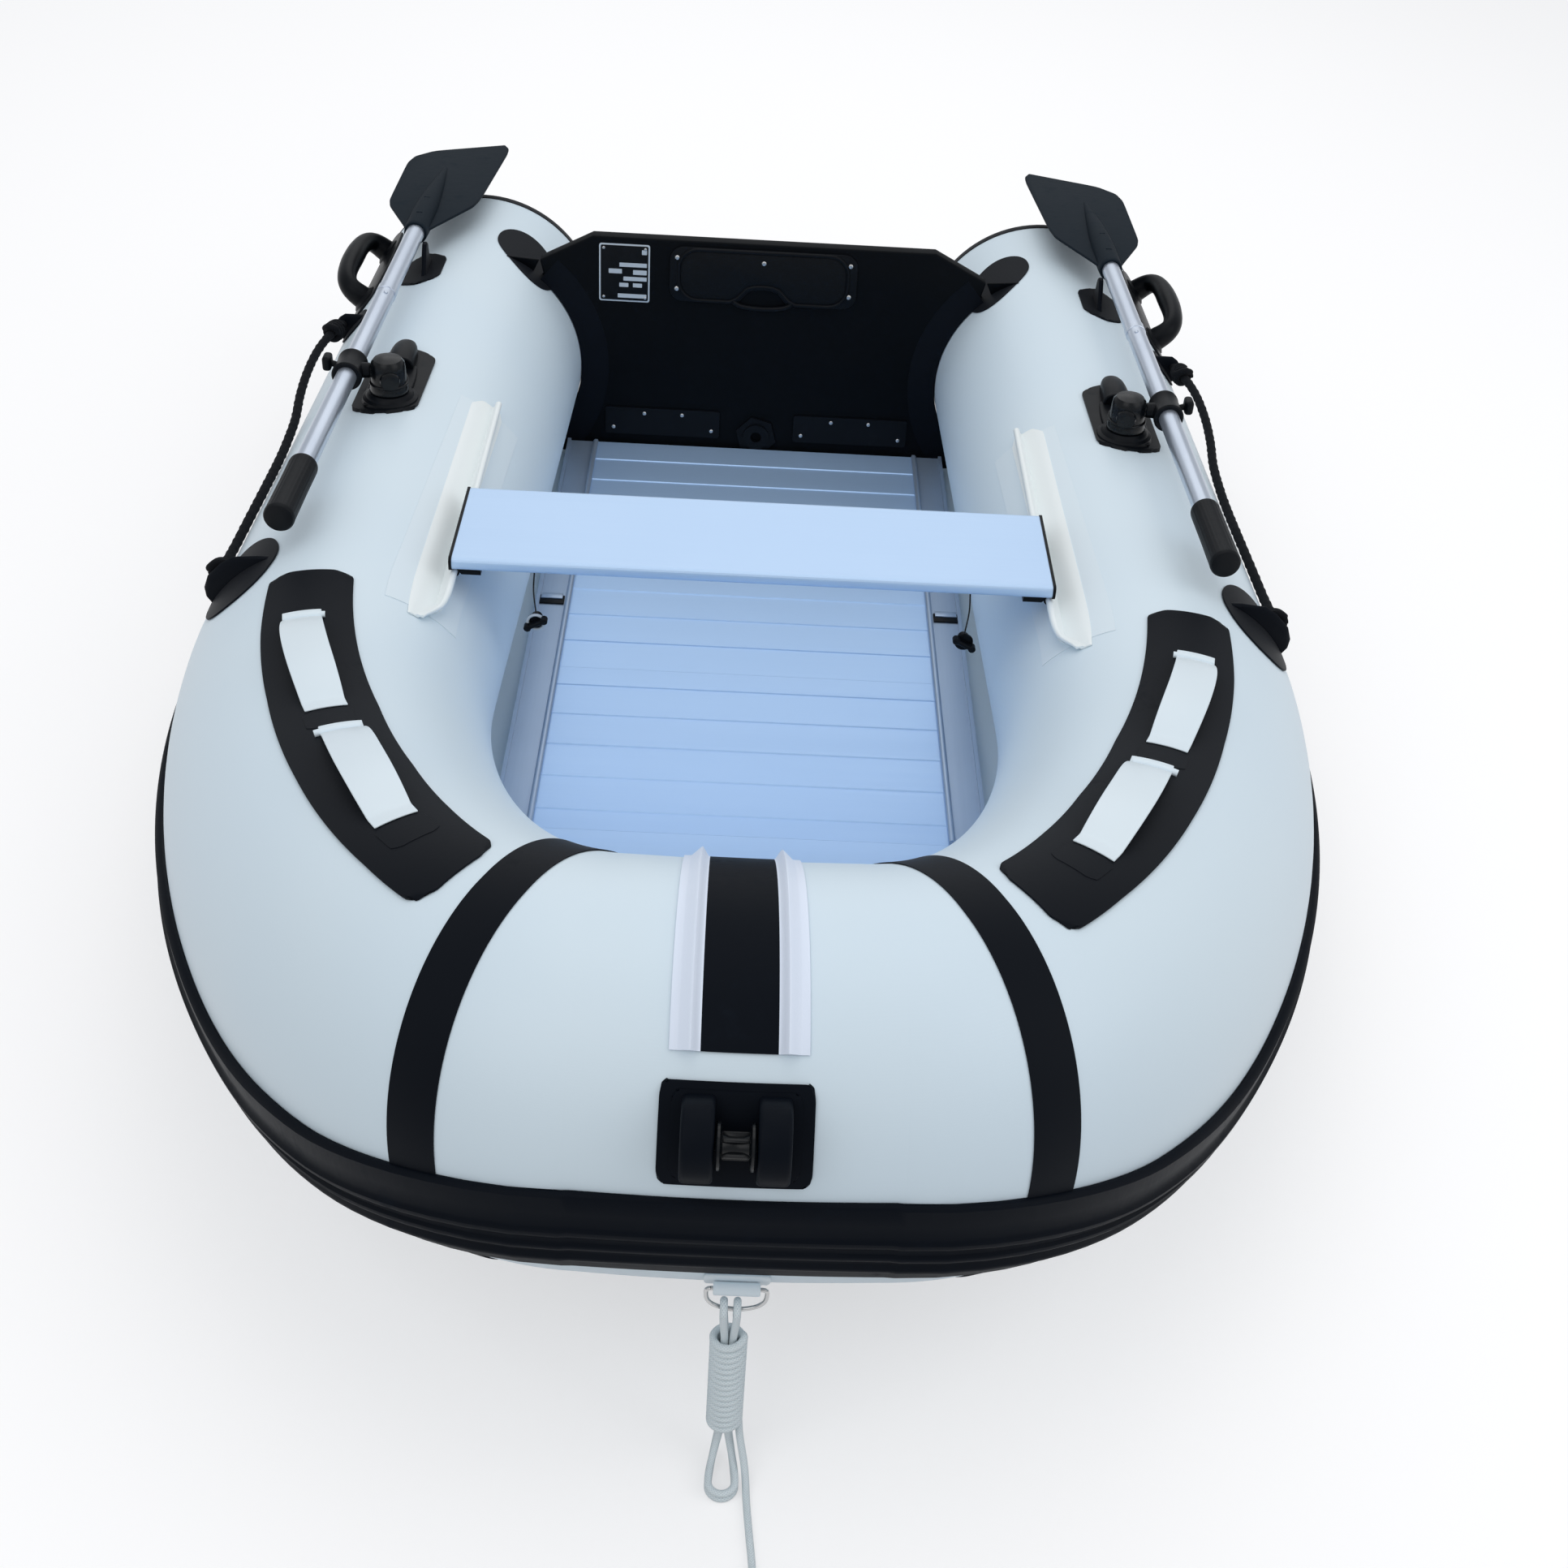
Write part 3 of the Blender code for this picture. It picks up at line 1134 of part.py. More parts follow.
def build_oar(name, side):
    """Blade, shaft, grip and collar of one oar, which dips about the rowlock's pin."""
    pin = Vector((side * COLLAR_X, PIVOT_Y, OAR_Z))
    bore = SHAFT_RADIUS + GAP

    blade = node(name + "_oar_blade", mirror_to(side, oar_blade_plate()), BLACK_PLASTIC)
    socket = oar_rod([(0, SOCKET_FROM), (SOCKET_RADIUS, SOCKET_FROM), (SOCKET_RADIUS, SOCKET_FROM + SOCKET_ROUND),
                      (SOCKET_RIB_END_RADIUS, SOCKET_RIB_END), (0, SOCKET_RIB_END)])
    hollow = oar_rod(solid_rod(bore, SOCKET_FROM - CUT_OVERRUN, SOCKET_FROM + SOCKET_DEPTH))
    for label, shape, operation in (("join_socket_", socket, "UNION"), ("cut_socket_", hollow, "DIFFERENCE")):
        combine(blade, turn_about(helper(label + name, mirror_to(side, shape)), pin), operation)

    fore = -SHAFT_FORE - GRIP_BORE_DEPTH + GAP
    sleeve = SLEEVE_AFT + SLEEVE_LENGTH
    swell = SHAFT_RADIUS + SLEEVE_PROUD
    profile = [(0, fore), (SHAFT_RADIUS, fore), (SHAFT_RADIUS, SLEEVE_AFT), (swell, SLEEVE_AFT), (swell, sleeve),
               (SHAFT_RADIUS, sleeve), (SHAFT_RADIUS, SHAFT_AFT), (0, SHAFT_AFT)]
    shaft = node(name + "_oar_shaft", mirror_to(side, oar_rod(profile)), ALUMINIUM)

    end = -SHAFT_FORE - GRIP_LENGTH
    profile = [(0, end), (GRIP_RADIUS - GRIP_END_ROUND, end), (GRIP_RADIUS, end + GRIP_END_ROUND),
               (GRIP_RADIUS, -SHAFT_FORE), (bore, -SHAFT_FORE), (bore, -SHAFT_FORE - GRIP_BORE_DEPTH),
               (0, -SHAFT_FORE - GRIP_BORE_DEPTH)]
    grip = node(name + "_oar_grip", mirror_to(side, oar_rod(profile)), BLACK_PLASTIC)

    half = COLLAR_LENGTH / 2
    collar = node(name + "_oar_collar", mirror_to(side, oar_rod(solid_rod(COLLAR_RADIUS, -half, half))), BLACK_PLASTIC)
    boss = turned(solid_rod(COLLAR_BOSS_RADIUS, 0, COLLAR_BOSS_REACH), -X_AXIS, oar_foot(), 12)
    shaft_hole = oar_rod(solid_rod(bore, -half - CUT_OVERRUN, half + CUT_OVERRUN))
    pin_hole = turned(solid_rod(PIN_RADIUS + GAP, COLLAR_BOSS_REACH - PIN_BORE_DEPTH, COLLAR_BOSS_REACH + CUT_OVERRUN),
                      -X_AXIS, oar_foot(), 12)
    for label, shape, operation in (("join_boss_", boss, "UNION"), ("cut_shaft_", shaft_hole, "DIFFERENCE"),
                                    ("cut_pin_", pin_hole, "DIFFERENCE")):
        combine(collar, turn_about(helper(label + name, mirror_to(side, shape)), pin), operation)
    for obj in (blade, shaft, grip, collar):
        turn_about(obj, pin)


def tube_top_z(y):
    """Height of the top of the straight tube."""
    return LINE.place(LINE.s_at_y(y), 90).z


def draped(y_or_s, half, deg, half_deg, thickness, along=8, around=4, roundness=1.0, from_y=True):
    """Round-cornered pad glued to the port tube; roundness 1 makes it oval, 0 square."""
    middle = LINE.s_at_y(y_or_s) if from_y else y_or_s
    grids = []
    for lift in (SKIN_GAP + thickness, SKIN_GAP):
        grid = []
        for i in range(along + 1):
            u = 2 * i / along - 1
            row = []
            for j in range(around + 1):
                v = 2 * j / around - 1
                x = u * math.sqrt(1 - roundness * v * v / 2)
                w = v * math.sqrt(1 - roundness * u * u / 2)
                row.append(LINE.place(middle + x * half, deg + w * half_deg, lift))
            grid.append(row)
        grids.append(grid)
    return slab(*grids)


def build_rowlock(name, side):
    """Pad, turret and the oar's pin of one rowlock."""
    foot = Vector((PIVOT_X, PIVOT_Y, 0))
    pad = draped(LOCK_PAD_Y, LOCK_PAD_HALF, LOCK_PAD_DEG, LOCK_PAD_HALF_DEG, LOCK_PAD_THICKNESS, roundness=0.35)
    base = node(name + "_rowlock_base", mirror_to(side, pad), BLACK_PLASTIC)
    low = tube_top_z(PIVOT_Y) + LOCK_FOOT_RISE
    boss = turned(solid_rod(LOCK_BOSS_RADIUS, low, LOCK_BOSS_TOP_Z), Z_AXIS, foot, 14)
    stub = block((PIVOT_X - LOCK_STUB_HALF, LOCK_STUB_Y - LOCK_STUB_LENGTH / 2, low),
                 (PIVOT_X + LOCK_STUB_HALF, LOCK_STUB_Y + LOCK_STUB_LENGTH / 2, LOCK_STUB_TOP_Z))
    stem = TURRET_STEM_RADIUS + GAP
    socket = turned(solid_rod(stem, LOCK_BOSS_TOP_Z - TURRET_STEM_DEPTH, LOCK_BOSS_TOP_Z + CUT_OVERRUN), Z_AXIS, foot, 16)
    for label, shape, operation in (("join_lock_boss_", boss, "UNION"), ("join_lock_stub_", stub, "UNION"),
                                    ("cut_lock_socket_", socket, "DIFFERENCE")):
        combine(base, helper(label + name, mirror_to(side, shape)), operation)

    floor = LOCK_BOSS_TOP_Z + GAP
    rim = OAR_Z - COLLAR_BOSS_RADIUS * 1.5
    crown = TURRET_TOP_Z - TURRET_WAIST_RADIUS / 3
    profile = [(0, floor - TURRET_STEM_DEPTH + GAP), (TURRET_STEM_RADIUS, floor - TURRET_STEM_DEPTH + GAP),
               (TURRET_STEM_RADIUS, floor), (TURRET_RADIUS, floor), (TURRET_RADIUS, rim - GAP),
               (TURRET_WAIST_RADIUS, rim + GAP), (TURRET_WAIST_RADIUS, crown),
               (TURRET_WAIST_RADIUS * 0.72, TURRET_TOP_Z - TURRET_WAIST_RADIUS * 0.1), (0, TURRET_TOP_Z)]
    turret = node(name + "_rowlock_swivel", mirror_to(side, turned(profile, Z_AXIS, foot, 14)), BLACK_PLASTIC)
    face = COLLAR_X - COLLAR_BOSS_REACH - GAP - PIVOT_X
    tip = face + PIN_BORE_DEPTH
    arm = turned([(0, 0), (COLLAR_BOSS_RADIUS, 0), (COLLAR_BOSS_RADIUS, face), (PIN_RADIUS, face), (PIN_RADIUS, tip),
                  (0, tip)], X_AXIS, (PIVOT_X, PIVOT_Y, OAR_Z), 16)
    pivot = Vector((side * PIVOT_X, PIVOT_Y, OAR_Z))
    combine(turret, turn_about(helper("join_pin_" + name, mirror_to(side, arm)), pivot), "UNION")
    turn_about(turret, pivot)


def build_clip(name, side):
    """Pad and upright fin that the stowed oar lies against."""
    pad = draped(CLIP_Y, CLIP_HALF, CLIP_DEG, CLIP_HALF_DEG, CLIP_THICKNESS, along=6, around=3)
    clip = node(name + "_oar_clip", mirror_to(side, pad), PVC_BLACK)
    outer = COLLAR_X + OAR_TOE * (CLIP_Y - PIVOT_Y) - SHAFT_RADIUS - CLIP_SIDE_GAP
    inner = outer - CLIP_FIN_THICKNESS
    line_x = side_line_x(CLIP_Y)
    low = TUBE_RADIUS + math.sqrt(TUBE_RADIUS ** 2 - (inner - line_x) ** 2) + 2 * SKIN_GAP
    outline = [Vector((inner, CLIP_Y + share * CLIP_FIN_HALF, z))
               for share, z in ((-1, low), (1, low), (0.45, CLIP_FIN_TOP_Z), (-0.15, CLIP_FIN_TOP_Z))]
    fin = extruded(outline, (CLIP_FIN_THICKNESS, 0, 0))
    combine(clip, helper("join_clip_fin_" + name, mirror_to(side, fin)), "UNION")


# Handles, patches and lines on the side tubes
def local_frame(s, deg):
    """Skin point, outward normal and direction along the port tube at a place on it."""
    skin = LINE.place(s, deg)
    normal = (LINE.place(s, deg, TUBE_RADIUS) - skin).normalized()
    along = Vector(LINE.sample(LINE.along, s)).normalized()
    return skin, normal, along


def swept(points, side_vector, radius, sides=8):
    """Round bar along a flat path, whose plane is square to side_vector."""
    across = Vector(side_vector).normalized()
    rings = []
    for k, point in enumerate(points):
        ahead = points[min(k + 1, len(points) - 1)]
        behind = points[max(k - 1, 0)]
        along = (Vector(ahead) - Vector(behind)).normalized()
        other = along.cross(across).normalized()
        angles = [2 * math.pi * i / sides for i in range(sides)]
        rings.append([Vector(point) + radius * (math.cos(a) * across + math.sin(a) * other) for a in angles])
    return rings


def carry_bar():
    """Bar of the lifting handle: two feet on the pad and a level grip between them."""
    middle = LINE.s_at_y(CARRY_Y)
    skin, normal, along = local_frame(middle, CARRY_DEG)
    foot = 2 * SKIN_GAP
    points = [skin - along * CARRY_BAR_HALF + normal * foot]
    for k in range(CARRY_BAR_POINTS):
        angle = math.pi * k / (CARRY_BAR_POINTS - 1)
        run = -math.copysign(abs(math.cos(angle)) ** 0.7, math.cos(angle)) * CARRY_BAR_HALF
        rise = foot + SKIN_GAP + math.sin(angle) ** 0.45 * (CARRY_BAR_REACH - foot - SKIN_GAP)
        points.append(skin + along * run + normal * rise)
    points.append(skin + along * CARRY_BAR_HALF + normal * foot)
    return loft(swept(points, normal.cross(along), CARRY_BAR_RADIUS))


def fin(s, half, profile):
    """Upright web on the port tube: (angle, lift) points, carried half a thickness each way along it."""
    return loft([[LINE.place(s + way * half, deg, lift) for deg, lift in profile] for way in (-1, 1)])


def patch_fin(y, deg, half_deg):
    """Web of a rope patch, tallest towards its outboard end."""
    low = SKIN_GAP + PATCH_THICKNESS / 2
    top = low + PATCH_FIN_HEIGHT
    profile = [(deg + 0.8 * half_deg, low), (deg, top), (deg - 0.6 * half_deg, top)]
    profile += [(deg + share * half_deg, low) for share in (-0.85, -0.45, 0.0, 0.4)]
    return fin(LINE.s_at_y(y), PATCH_FIN_THICKNESS / 2, profile)


def line_route():
    """Route of the port safety line, from the rear patch's web forward to the fore patch's web."""
    rest = LINE_DIAMETER / 2 + 2 * SKIN_GAP
    raised = PATCH_THICKNESS + PATCH_FIN_HEIGHT * 0.55
    start_y = REAR_PATCH_Y - PATCH_FIN_THICKNESS / 2 - 2 * GAP
    end_y = FORE_PATCH_Y + PATCH_FIN_THICKNESS / 2 + 2 * GAP
    places = ((start_y, REAR_PATCH_DEG - 2, raised), (start_y - LINE_DIAMETER, REAR_PATCH_DEG - 2, raised),
              (0.700, 37.5, 0.85 * LINE_SLACK), (0.640, 36.5, LINE_SLACK), (0.570, 35.5, 0.95 * LINE_SLACK),
              (0.500, 35.0, 0.75 * LINE_SLACK), (0.430, 35.0, 0.45 * LINE_SLACK), (0.360, 35.0, 1.2 * rest),
              (0.300, 35.0, rest),
              (0.220, 35.0, rest), (0.130, 33.5, rest), (0.060, 32.5, rest), (0.010, 33.5, 1.2 * rest),
              (-0.025, 36.5, 0.7 * raised), (end_y + LINE_DIAMETER, FORE_PATCH_DEG - 8, raised),
              (end_y, FORE_PATCH_DEG - 8, raised))
    return [LINE.place(LINE.s_at_y(y), deg, lift) for y, deg, lift in places]


def handle_pad(side):
    """Long black pad that the two lifting straps are welded to."""
    corner_degs = (0, 30, 60, 90)
    length = PAD_REAR_S - PAD_FRONT_S
    ends = [(PAD_CORNER * (1 - math.cos(math.radians(a))), PAD_CORNER * (1 - math.sin(math.radians(a))))
            for a in corner_degs]
    rows = [(PAD_FRONT_S + d, trim) for d, trim in ends]
    rows += [(s, 0) for s in stations(PAD_FRONT_S, PAD_REAR_S)[1:-1]
             if PAD_FRONT_S + 1.3 * PAD_CORNER < s < PAD_REAR_S - 1.3 * PAD_CORNER]
    rows += [(PAD_REAR_S - d, trim) for d, trim in reversed(ends)]
    grids = []
    for lift in (SKIN_GAP + PAD_THICKNESS, SKIN_GAP):
        grid = []
        for s, trim in rows:
            share = (s - PAD_FRONT_S) / length
            outer, inner = (np.interp(share, *zip(*table)) for table in (PAD_OUTER_SHARES, PAD_INNER_SHARES))
            shrink = math.degrees(trim / TUBE_RADIUS)
            degs = np.linspace(outer + shrink, inner - shrink, 5)
            grid.append([LINE.place(s, float(deg), lift) for deg in degs])
        grids.append(grid)
    return mirror_to(side, slab(*grids))


def lifting_strap(span, degs):
    """Webbing strap, welded down at both ends and standing up between them."""
    first, last = span
    half_deg = math.degrees(STRAP_WIDTH / 2 / TUBE_RADIUS)
    flat = SKIN_GAP + PAD_THICKNESS / 2
    rings = []
    places = [first, first + STRAP_LANDING / 2]
    run = last - first - 2 * STRAP_LANDING
    places += [first + STRAP_LANDING + run * k / STRAP_STEPS for k in range(STRAP_STEPS + 1)]
    places += [last - STRAP_LANDING / 2, last]
    for s in places:
        share = min(max((s - first - STRAP_LANDING) / run, 0), 1)
        lift = flat + STRAP_RISE * (1 - abs(2 * share - 1) ** 2.6)
        deg = degs[0] + (degs[1] - degs[0]) * (s - first) / (last - first)
        top = lift + STRAP_THICKNESS
        rings.append([LINE.place(s, deg - half_deg, lift), LINE.place(s, deg + half_deg, lift),
                      LINE.place(s, deg + half_deg, top), LINE.place(s, deg - half_deg, top)])
    return loft(rings)


def build_side_fittings(name, side):
    """Lifting handle, rope patches, safety line and strap pad of one side."""
    pad = draped(CARRY_Y, CARRY_HALF, CARRY_DEG, CARRY_HALF_DEG, CARRY_THICKNESS, along=8, around=3)
    handle = node(name + "_carry_handle", mirror_to(side, pad), BLACK_PLASTIC)
    combine(handle, helper("join_carry_bar_" + name, mirror_to(side, carry_bar())), "UNION")
    for label, y, half, deg, half_deg in (
            ("fore", FORE_PATCH_Y, FORE_PATCH_HALF, FORE_PATCH_DEG, FORE_PATCH_HALF_DEG),
            ("rear", REAR_PATCH_Y, REAR_PATCH_HALF, REAR_PATCH_DEG, REAR_PATCH_HALF_DEG)):
        pad = draped(y, half, deg, half_deg, PATCH_THICKNESS, along=6, around=5)
        patch = node(f"{name}_rope_patch_{label}", mirror_to(side, pad), PVC_BLACK)
        web = mirror_to(side, patch_fin(y, deg, half_deg))
        combine(patch, helper(f"join_patch_web_{label}_{name}", web), "UNION")
    route = [Vector((side * p.x, p.y, p.z)) for p in line_route()]
    route = [route[0]] + smooth_route(route[1:-1], LINE_POINTS) + [route[-1]]
    cord(name + "_safety_line", route, LINE_DIAMETER, ROPE_BLACK, 1)
    straps = node(name + "_handle_pad", handle_pad(side), PVC_BLACK)
    for k, (span, degs) in enumerate(zip(STRAP_SPANS_S, STRAP_DEG)):
        shape = mirror_to(side, lifting_strap(span, degs))
        combine(straps, helper(f"join_strap_{k}_{name}", shape), "UNION")


# Bow fittings
def bow_protector():
    """Strip over the bow with a ridged rail down each side."""
    middle = BOW_STRIP_HALF + BOW_RAIL_WIDTH / 2
    edge = BOW_STRIP_HALF + BOW_RAIL_WIDTH
    top = SKIN_GAP + BOW_STRIP_THICKNESS
    crest = top + BOW_RAIL_HEIGHT
    half = [(BOW_STRIP_HALF, top), (middle - BOW_RAIL_FOOT_HALF, top), (middle - BOW_RAIL_CREST_HALF, crest),
            (middle + BOW_RAIL_CREST_HALF, crest), (middle + BOW_RAIL_FOOT_HALF, top), (edge, top)]
    across = [(-s, lift) for s, lift in reversed(half)] + [(0, top)] + half
    across += [(s, SKIN_GAP) for s in (edge, STATION_STEP, 0, -STATION_STEP, -edge)]
    count = round((BOW_STRIP_TO_DEG - BOW_STRIP_FROM_DEG) / 7.5)
    degs = np.linspace(BOW_STRIP_FROM_DEG, BOW_STRIP_TO_DEG, count + 1)
    return loft([[LINE.place(s, float(deg), lift) for s, lift in across] for deg in degs])


def cheek(low_x):
    """Rounded lug of the roller housing, from low_x towards port."""
    skin, normal, _ = local_frame(0, ROLLER_DEG)
    up = normal.cross(X_AXIS)
    up = up if up.z > 0 else -up
    foot = SKIN_GAP + ROLLER_PAD_THICKNESS / 2
    outline = []
    for k in range(5):
        a = CHEEK_HALF_HEIGHT * (2 * k / 4 - 1)
        outline.append((a, math.sqrt((TUBE_RADIUS + foot) ** 2 - a ** 2) - TUBE_RADIUS))
    shoulder = CHEEK_PROUD - CHEEK_ROUND
    for k in range(11):
        angle = math.pi * k / 10
        outline.append((CHEEK_HALF_HEIGHT * math.cos(angle), shoulder + CHEEK_ROUND * math.sin(angle)))
    points = [skin + up * a + normal * b + X_AXIS * low_x for a, b in outline]
    return extruded(points, X_AXIS * CHEEK_THICKNESS)


def build_bow():
    """Bow strip, anchor roller and its housing, and the painter's tab, ring and rope."""
    node("bow_protector", bow_protector(), PVC_BLACK)
    centre_deg = (ROLLER_PAD_FROM_DEG + ROLLER_PAD_TO_DEG) / 2
    half_deg = (ROLLER_PAD_TO_DEG - ROLLER_PAD_FROM_DEG) / 2
    pad = draped(0, ROLLER_PAD_HALF, centre_deg, half_deg, ROLLER_PAD_THICKNESS, along=6, around=5, roundness=0.2,
                 from_y=False)
    base = node("roller_base", pad, BLACK_PLASTIC)
    skin, normal, _ = local_frame(0, ROLLER_DEG)
    axle = skin + normal * AXLE_PROUD
    reach = CHEEK_INNER_X + CHEEK_THICKNESS / 2
    for label, shape in (("port", cheek(CHEEK_INNER_X)), ("starboard", cheek(-CHEEK_INNER_X - CHEEK_THICKNESS)),
                         ("axle", turned(solid_rod(AXLE_RADIUS, -reach, reach), X_AXIS, axle, 12))):
        combine(base, helper("join_roller_" + label, shape), "UNION")
    core_half = SPOOL_HALF - SPOOL_FLANGE_WIDTH
    profile = [(0, -SPOOL_HALF), (SPOOL_FLANGE_RADIUS, -SPOOL_HALF), (SPOOL_FLANGE_RADIUS, -core_half - GAP),
               (SPOOL_CORE_RADIUS, -core_half + GAP), (SPOOL_CORE_RADIUS, core_half - GAP),
               (SPOOL_FLANGE_RADIUS, core_half + GAP), (SPOOL_FLANGE_RADIUS, SPOOL_HALF), (0, SPOOL_HALF)]
    spool = node("anchor_roller", turned(profile, X_AXIS, axle, 16), BLACK_PLASTIC)
    hole = turned(solid_rod(AXLE_RADIUS + GAP, -reach, reach), X_AXIS, axle, 12)
    combine(spool, turn_about(helper("cut_roller_bore", hole), axle), "DIFFERENCE")
    turn_about(spool, axle)
    build_painter()


def ring_pivot():
    """Middle of the ring's straight bar, which the tab's sleeve holds."""
    return LINE.place(PAINTER_TAB_X, RING_LOOP_DEG, RING_LIFT)


def painter_ring():
    """D-shaped ring that hangs from its straight bar."""
    pivot = ring_pivot()
    corner = RING_ROD_RADIUS * 2
    path = [(corner - RING_HALF_WIDTH, 0), (0, 0), (RING_HALF_WIDTH - corner, 0), (RING_HALF_WIDTH, -corner)]
    depth = RING_DROP - corner
    for k in range(13):
        angle = math.pi * k / 12
        path.append((RING_HALF_WIDTH * math.cos(angle), -corner - depth * max(0, math.sin(angle)) ** RING_SQUARENESS))
    points = [pivot + Vector((x, 0, z)) for x, z in path[:-1]]
    points.append(pivot + Vector((-RING_HALF_WIDTH, 0, -corner)))
    rings = []
    for k, point in enumerate(points):
        along = (points[(k + 1) % len(points)] - points[k - 1]).normalized()
        other = along.cross(Y_AXIS)
        angles = [2 * math.pi * i / 6 for i in range(6)]
        rings.append([point + RING_ROD_RADIUS * (math.cos(a) * Y_AXIS + math.sin(a) * other) for a in angles])
    bm = bmesh.new()
    rows = [add_ring(bm, ring) for ring in rings]
    for k, row in enumerate(rows):
        bridge(bm, row, rows[(k + 1) % len(rows)])
    return bm


def hank_point(x, front, down):
    """Point of the hank from its place across, its place towards the front and the run down its axis."""
    top = ring_pivot() - Z_AXIS * RING_DROP
    straight = top.z - HANK_LAY_Z - HANK_BEND_RADIUS
    quarter = HANK_BEND_RADIUS * math.pi / 2
    turn = min(max((down - straight) / HANK_BEND_RADIUS, 0), math.pi / 2)
    ahead = HANK_BEND_RADIUS * (1 - math.cos(turn)) + max(0, down - straight - quarter)
    fall = min(down, straight) + HANK_BEND_RADIUS * math.sin(turn)
    return Vector((HANK_X + x, top.y - ahead - front * math.cos(turn), top.z - fall + front * math.sin(turn)))


def hank_run(x_from, x_to, front_from, front_to, down_from, down_to, count):
    """Points of one strand between two places along the hank."""
    points = []
    for k in range(count + 1):
        share = smooth_step(0, 1, k / count)
        down = down_from + (down_to - down_from) * k / count
        points.append(hank_point(x_from + (x_to - x_from) * share, front_from + (front_to - front_from) * share, down))
    return points


def painter_route():
    """Painter as one rope: two turns over the ring, four strands, the wraps round them, and the tail's knot."""
    top = ring_pivot() - Z_AXIS * RING_DROP
    spacing = ROPE_SPACING
    wrap_top = top.z - HANK_WRAP_TOP_Z
    straight = top.z - HANK_LAY_Z - HANK_BEND_RADIUS
    bight = straight + HANK_BEND_RADIUS * math.pi / 2 + HANK_BIGHT_RUN
    wraps_end = wrap_top + HANK_WRAP_COUNT * HANK_WRAP_PITCH

    def over_ring(x, first):
        """Half turn over the ring's bar, starting at the back (-1) or at the front (1)."""
        angles = [math.pi * k / 6 for k in range(7)]
        return [hank_point(x, first * HITCH_SPREAD * math.cos(a), -HITCH_SPREAD * math.sin(a)) for a in angles]

    def round_bight(front, way):
        """Half turn at the free end of the hank."""
        angles = [math.pi * k / 8 for k in range(9)]
        return [hank_point(way * HANK_BIGHT_RADIUS * math.cos(a), front, bight + HANK_BIGHT_RADIUS * math.sin(a))
                for a in angles]

    def strand(way, front, down_first):
        """Strand between the ring and the bight."""
        upper = hank_run(way * HITCH_HALF, way * spacing, math.copysign(HITCH_SPREAD, front), front, 0, wrap_top, 3)
        core = hank_run(way * spacing, way * spacing, front, front, wrap_top, wraps_end, 3)
        lower = hank_run(way * spacing, way * HANK_BIGHT_RADIUS, front, front, wraps_end, bight, 8)
        points = upper + core[1:] + lower[1:]
        return points if down_first else points[::-1]

    route = hank_run(HITCH_HALF, HITCH_HALF, -HITCH_SPREAD, -HITCH_SPREAD, ROPE_END, 0, 2)
    route += over_ring(HITCH_HALF, -1)[1:]
    route += strand(1, spacing, True)[1:]
    route += round_bight(spacing, 1)[1:]
    route += strand(-1, spacing, False)[1:]
    route += over_ring(-HITCH_HALF, 1)[1:]
    route += strand(-1, -spacing, True)[1:]
    route += round_bight(-spacing, -1)[1:]
    last = strand(1, -spacing, False)
    start_down = wrap_top - WRAP_LEAD_RISE / 3
    route += [p for p in last[1:] if p.z < top.z - wrap_top - GAP]

    corner = math.hypot(spacing, spacing)
    lead = [-45 + (WRAP_LEAD_DEG + 45) * k / 13 for k in range(14)]
    for deg in lead:
        out = smooth_step(-45, 15, deg)
        radius = corner + (HANK_WRAP_RADIUS + WRAP_LEAD_PROUD - corner) * out
        climb = wrap_top - WRAP_LEAD_RISE
        if deg < 15:
            down = start_down + (climb - start_down) * smooth_step(-45, 15, deg)
        else:
            down = climb + WRAP_LEAD_RISE * (deg - 15) / (WRAP_LEAD_DEG - 15)
        angle = math.radians(deg)
        route.append(hank_point(radius * math.cos(angle), radius * math.sin(angle), down))
    steps = int(HANK_WRAP_COUNT * WRAP_POINTS - WRAP_LEAD_DEG / 360 * WRAP_POINTS)
    for k in range(1, steps + 1):
        angle = math.radians(WRAP_LEAD_DEG) + 2 * math.pi * k / WRAP_POINTS
        route.append(hank_point(HANK_WRAP_RADIUS * math.cos(angle), HANK_WRAP_RADIUS * math.sin(angle),
                                wrap_top + HANK_WRAP_PITCH * k / WRAP_POINTS))
    return route + painter_tail(route[-1])


def painter_tail(start):
    """Tail along the ground, ending in an overhand knot."""
    x, y = HANK_X, ring_pivot().y
    size = KNOT_SIZE
    open_turn = math.acos(-0.7723)
    turns = np.linspace(2 * math.pi - open_turn, 2 * math.pi + open_turn, 30)
    knot_z = ROPE_DIAMETER / 2 + GAP + KNOT_HALF_HEIGHT
    middle = Vector((x + 0.034 + 1.327 * size, y - 0.176 - 1.161 * size, knot_z))
    knot = []
    for t in turns:
        knot.append(middle - Vector((size * (math.sin(t) + 2 * math.sin(2 * t)),
                                     size * (math.cos(t) - 2 * math.cos(2 * t)),
                                     KNOT_HALF_HEIGHT * math.sin(3 * t))))
    places = [start, Vector((x + 0.0170, y - 0.0100, 0.0400)), Vector((x + 0.0215, y - 0.0220, 0.0230)),
              Vector((x + 0.0245, y - 0.0380, 0.0085)), Vector((x + 0.0260, y - 0.0600, 0.0042)),
              Vector((x + 0.0300, y - 0.1000, 0.0042)), Vector((x + 0.0330, y - 0.1300, 0.0046)), knot[0]]
    tail = smooth_route(places, 14)
    end = knot[-1] + Y_AXIS * KNOT_END
    return tail[1:] + knot[1:] + [end]


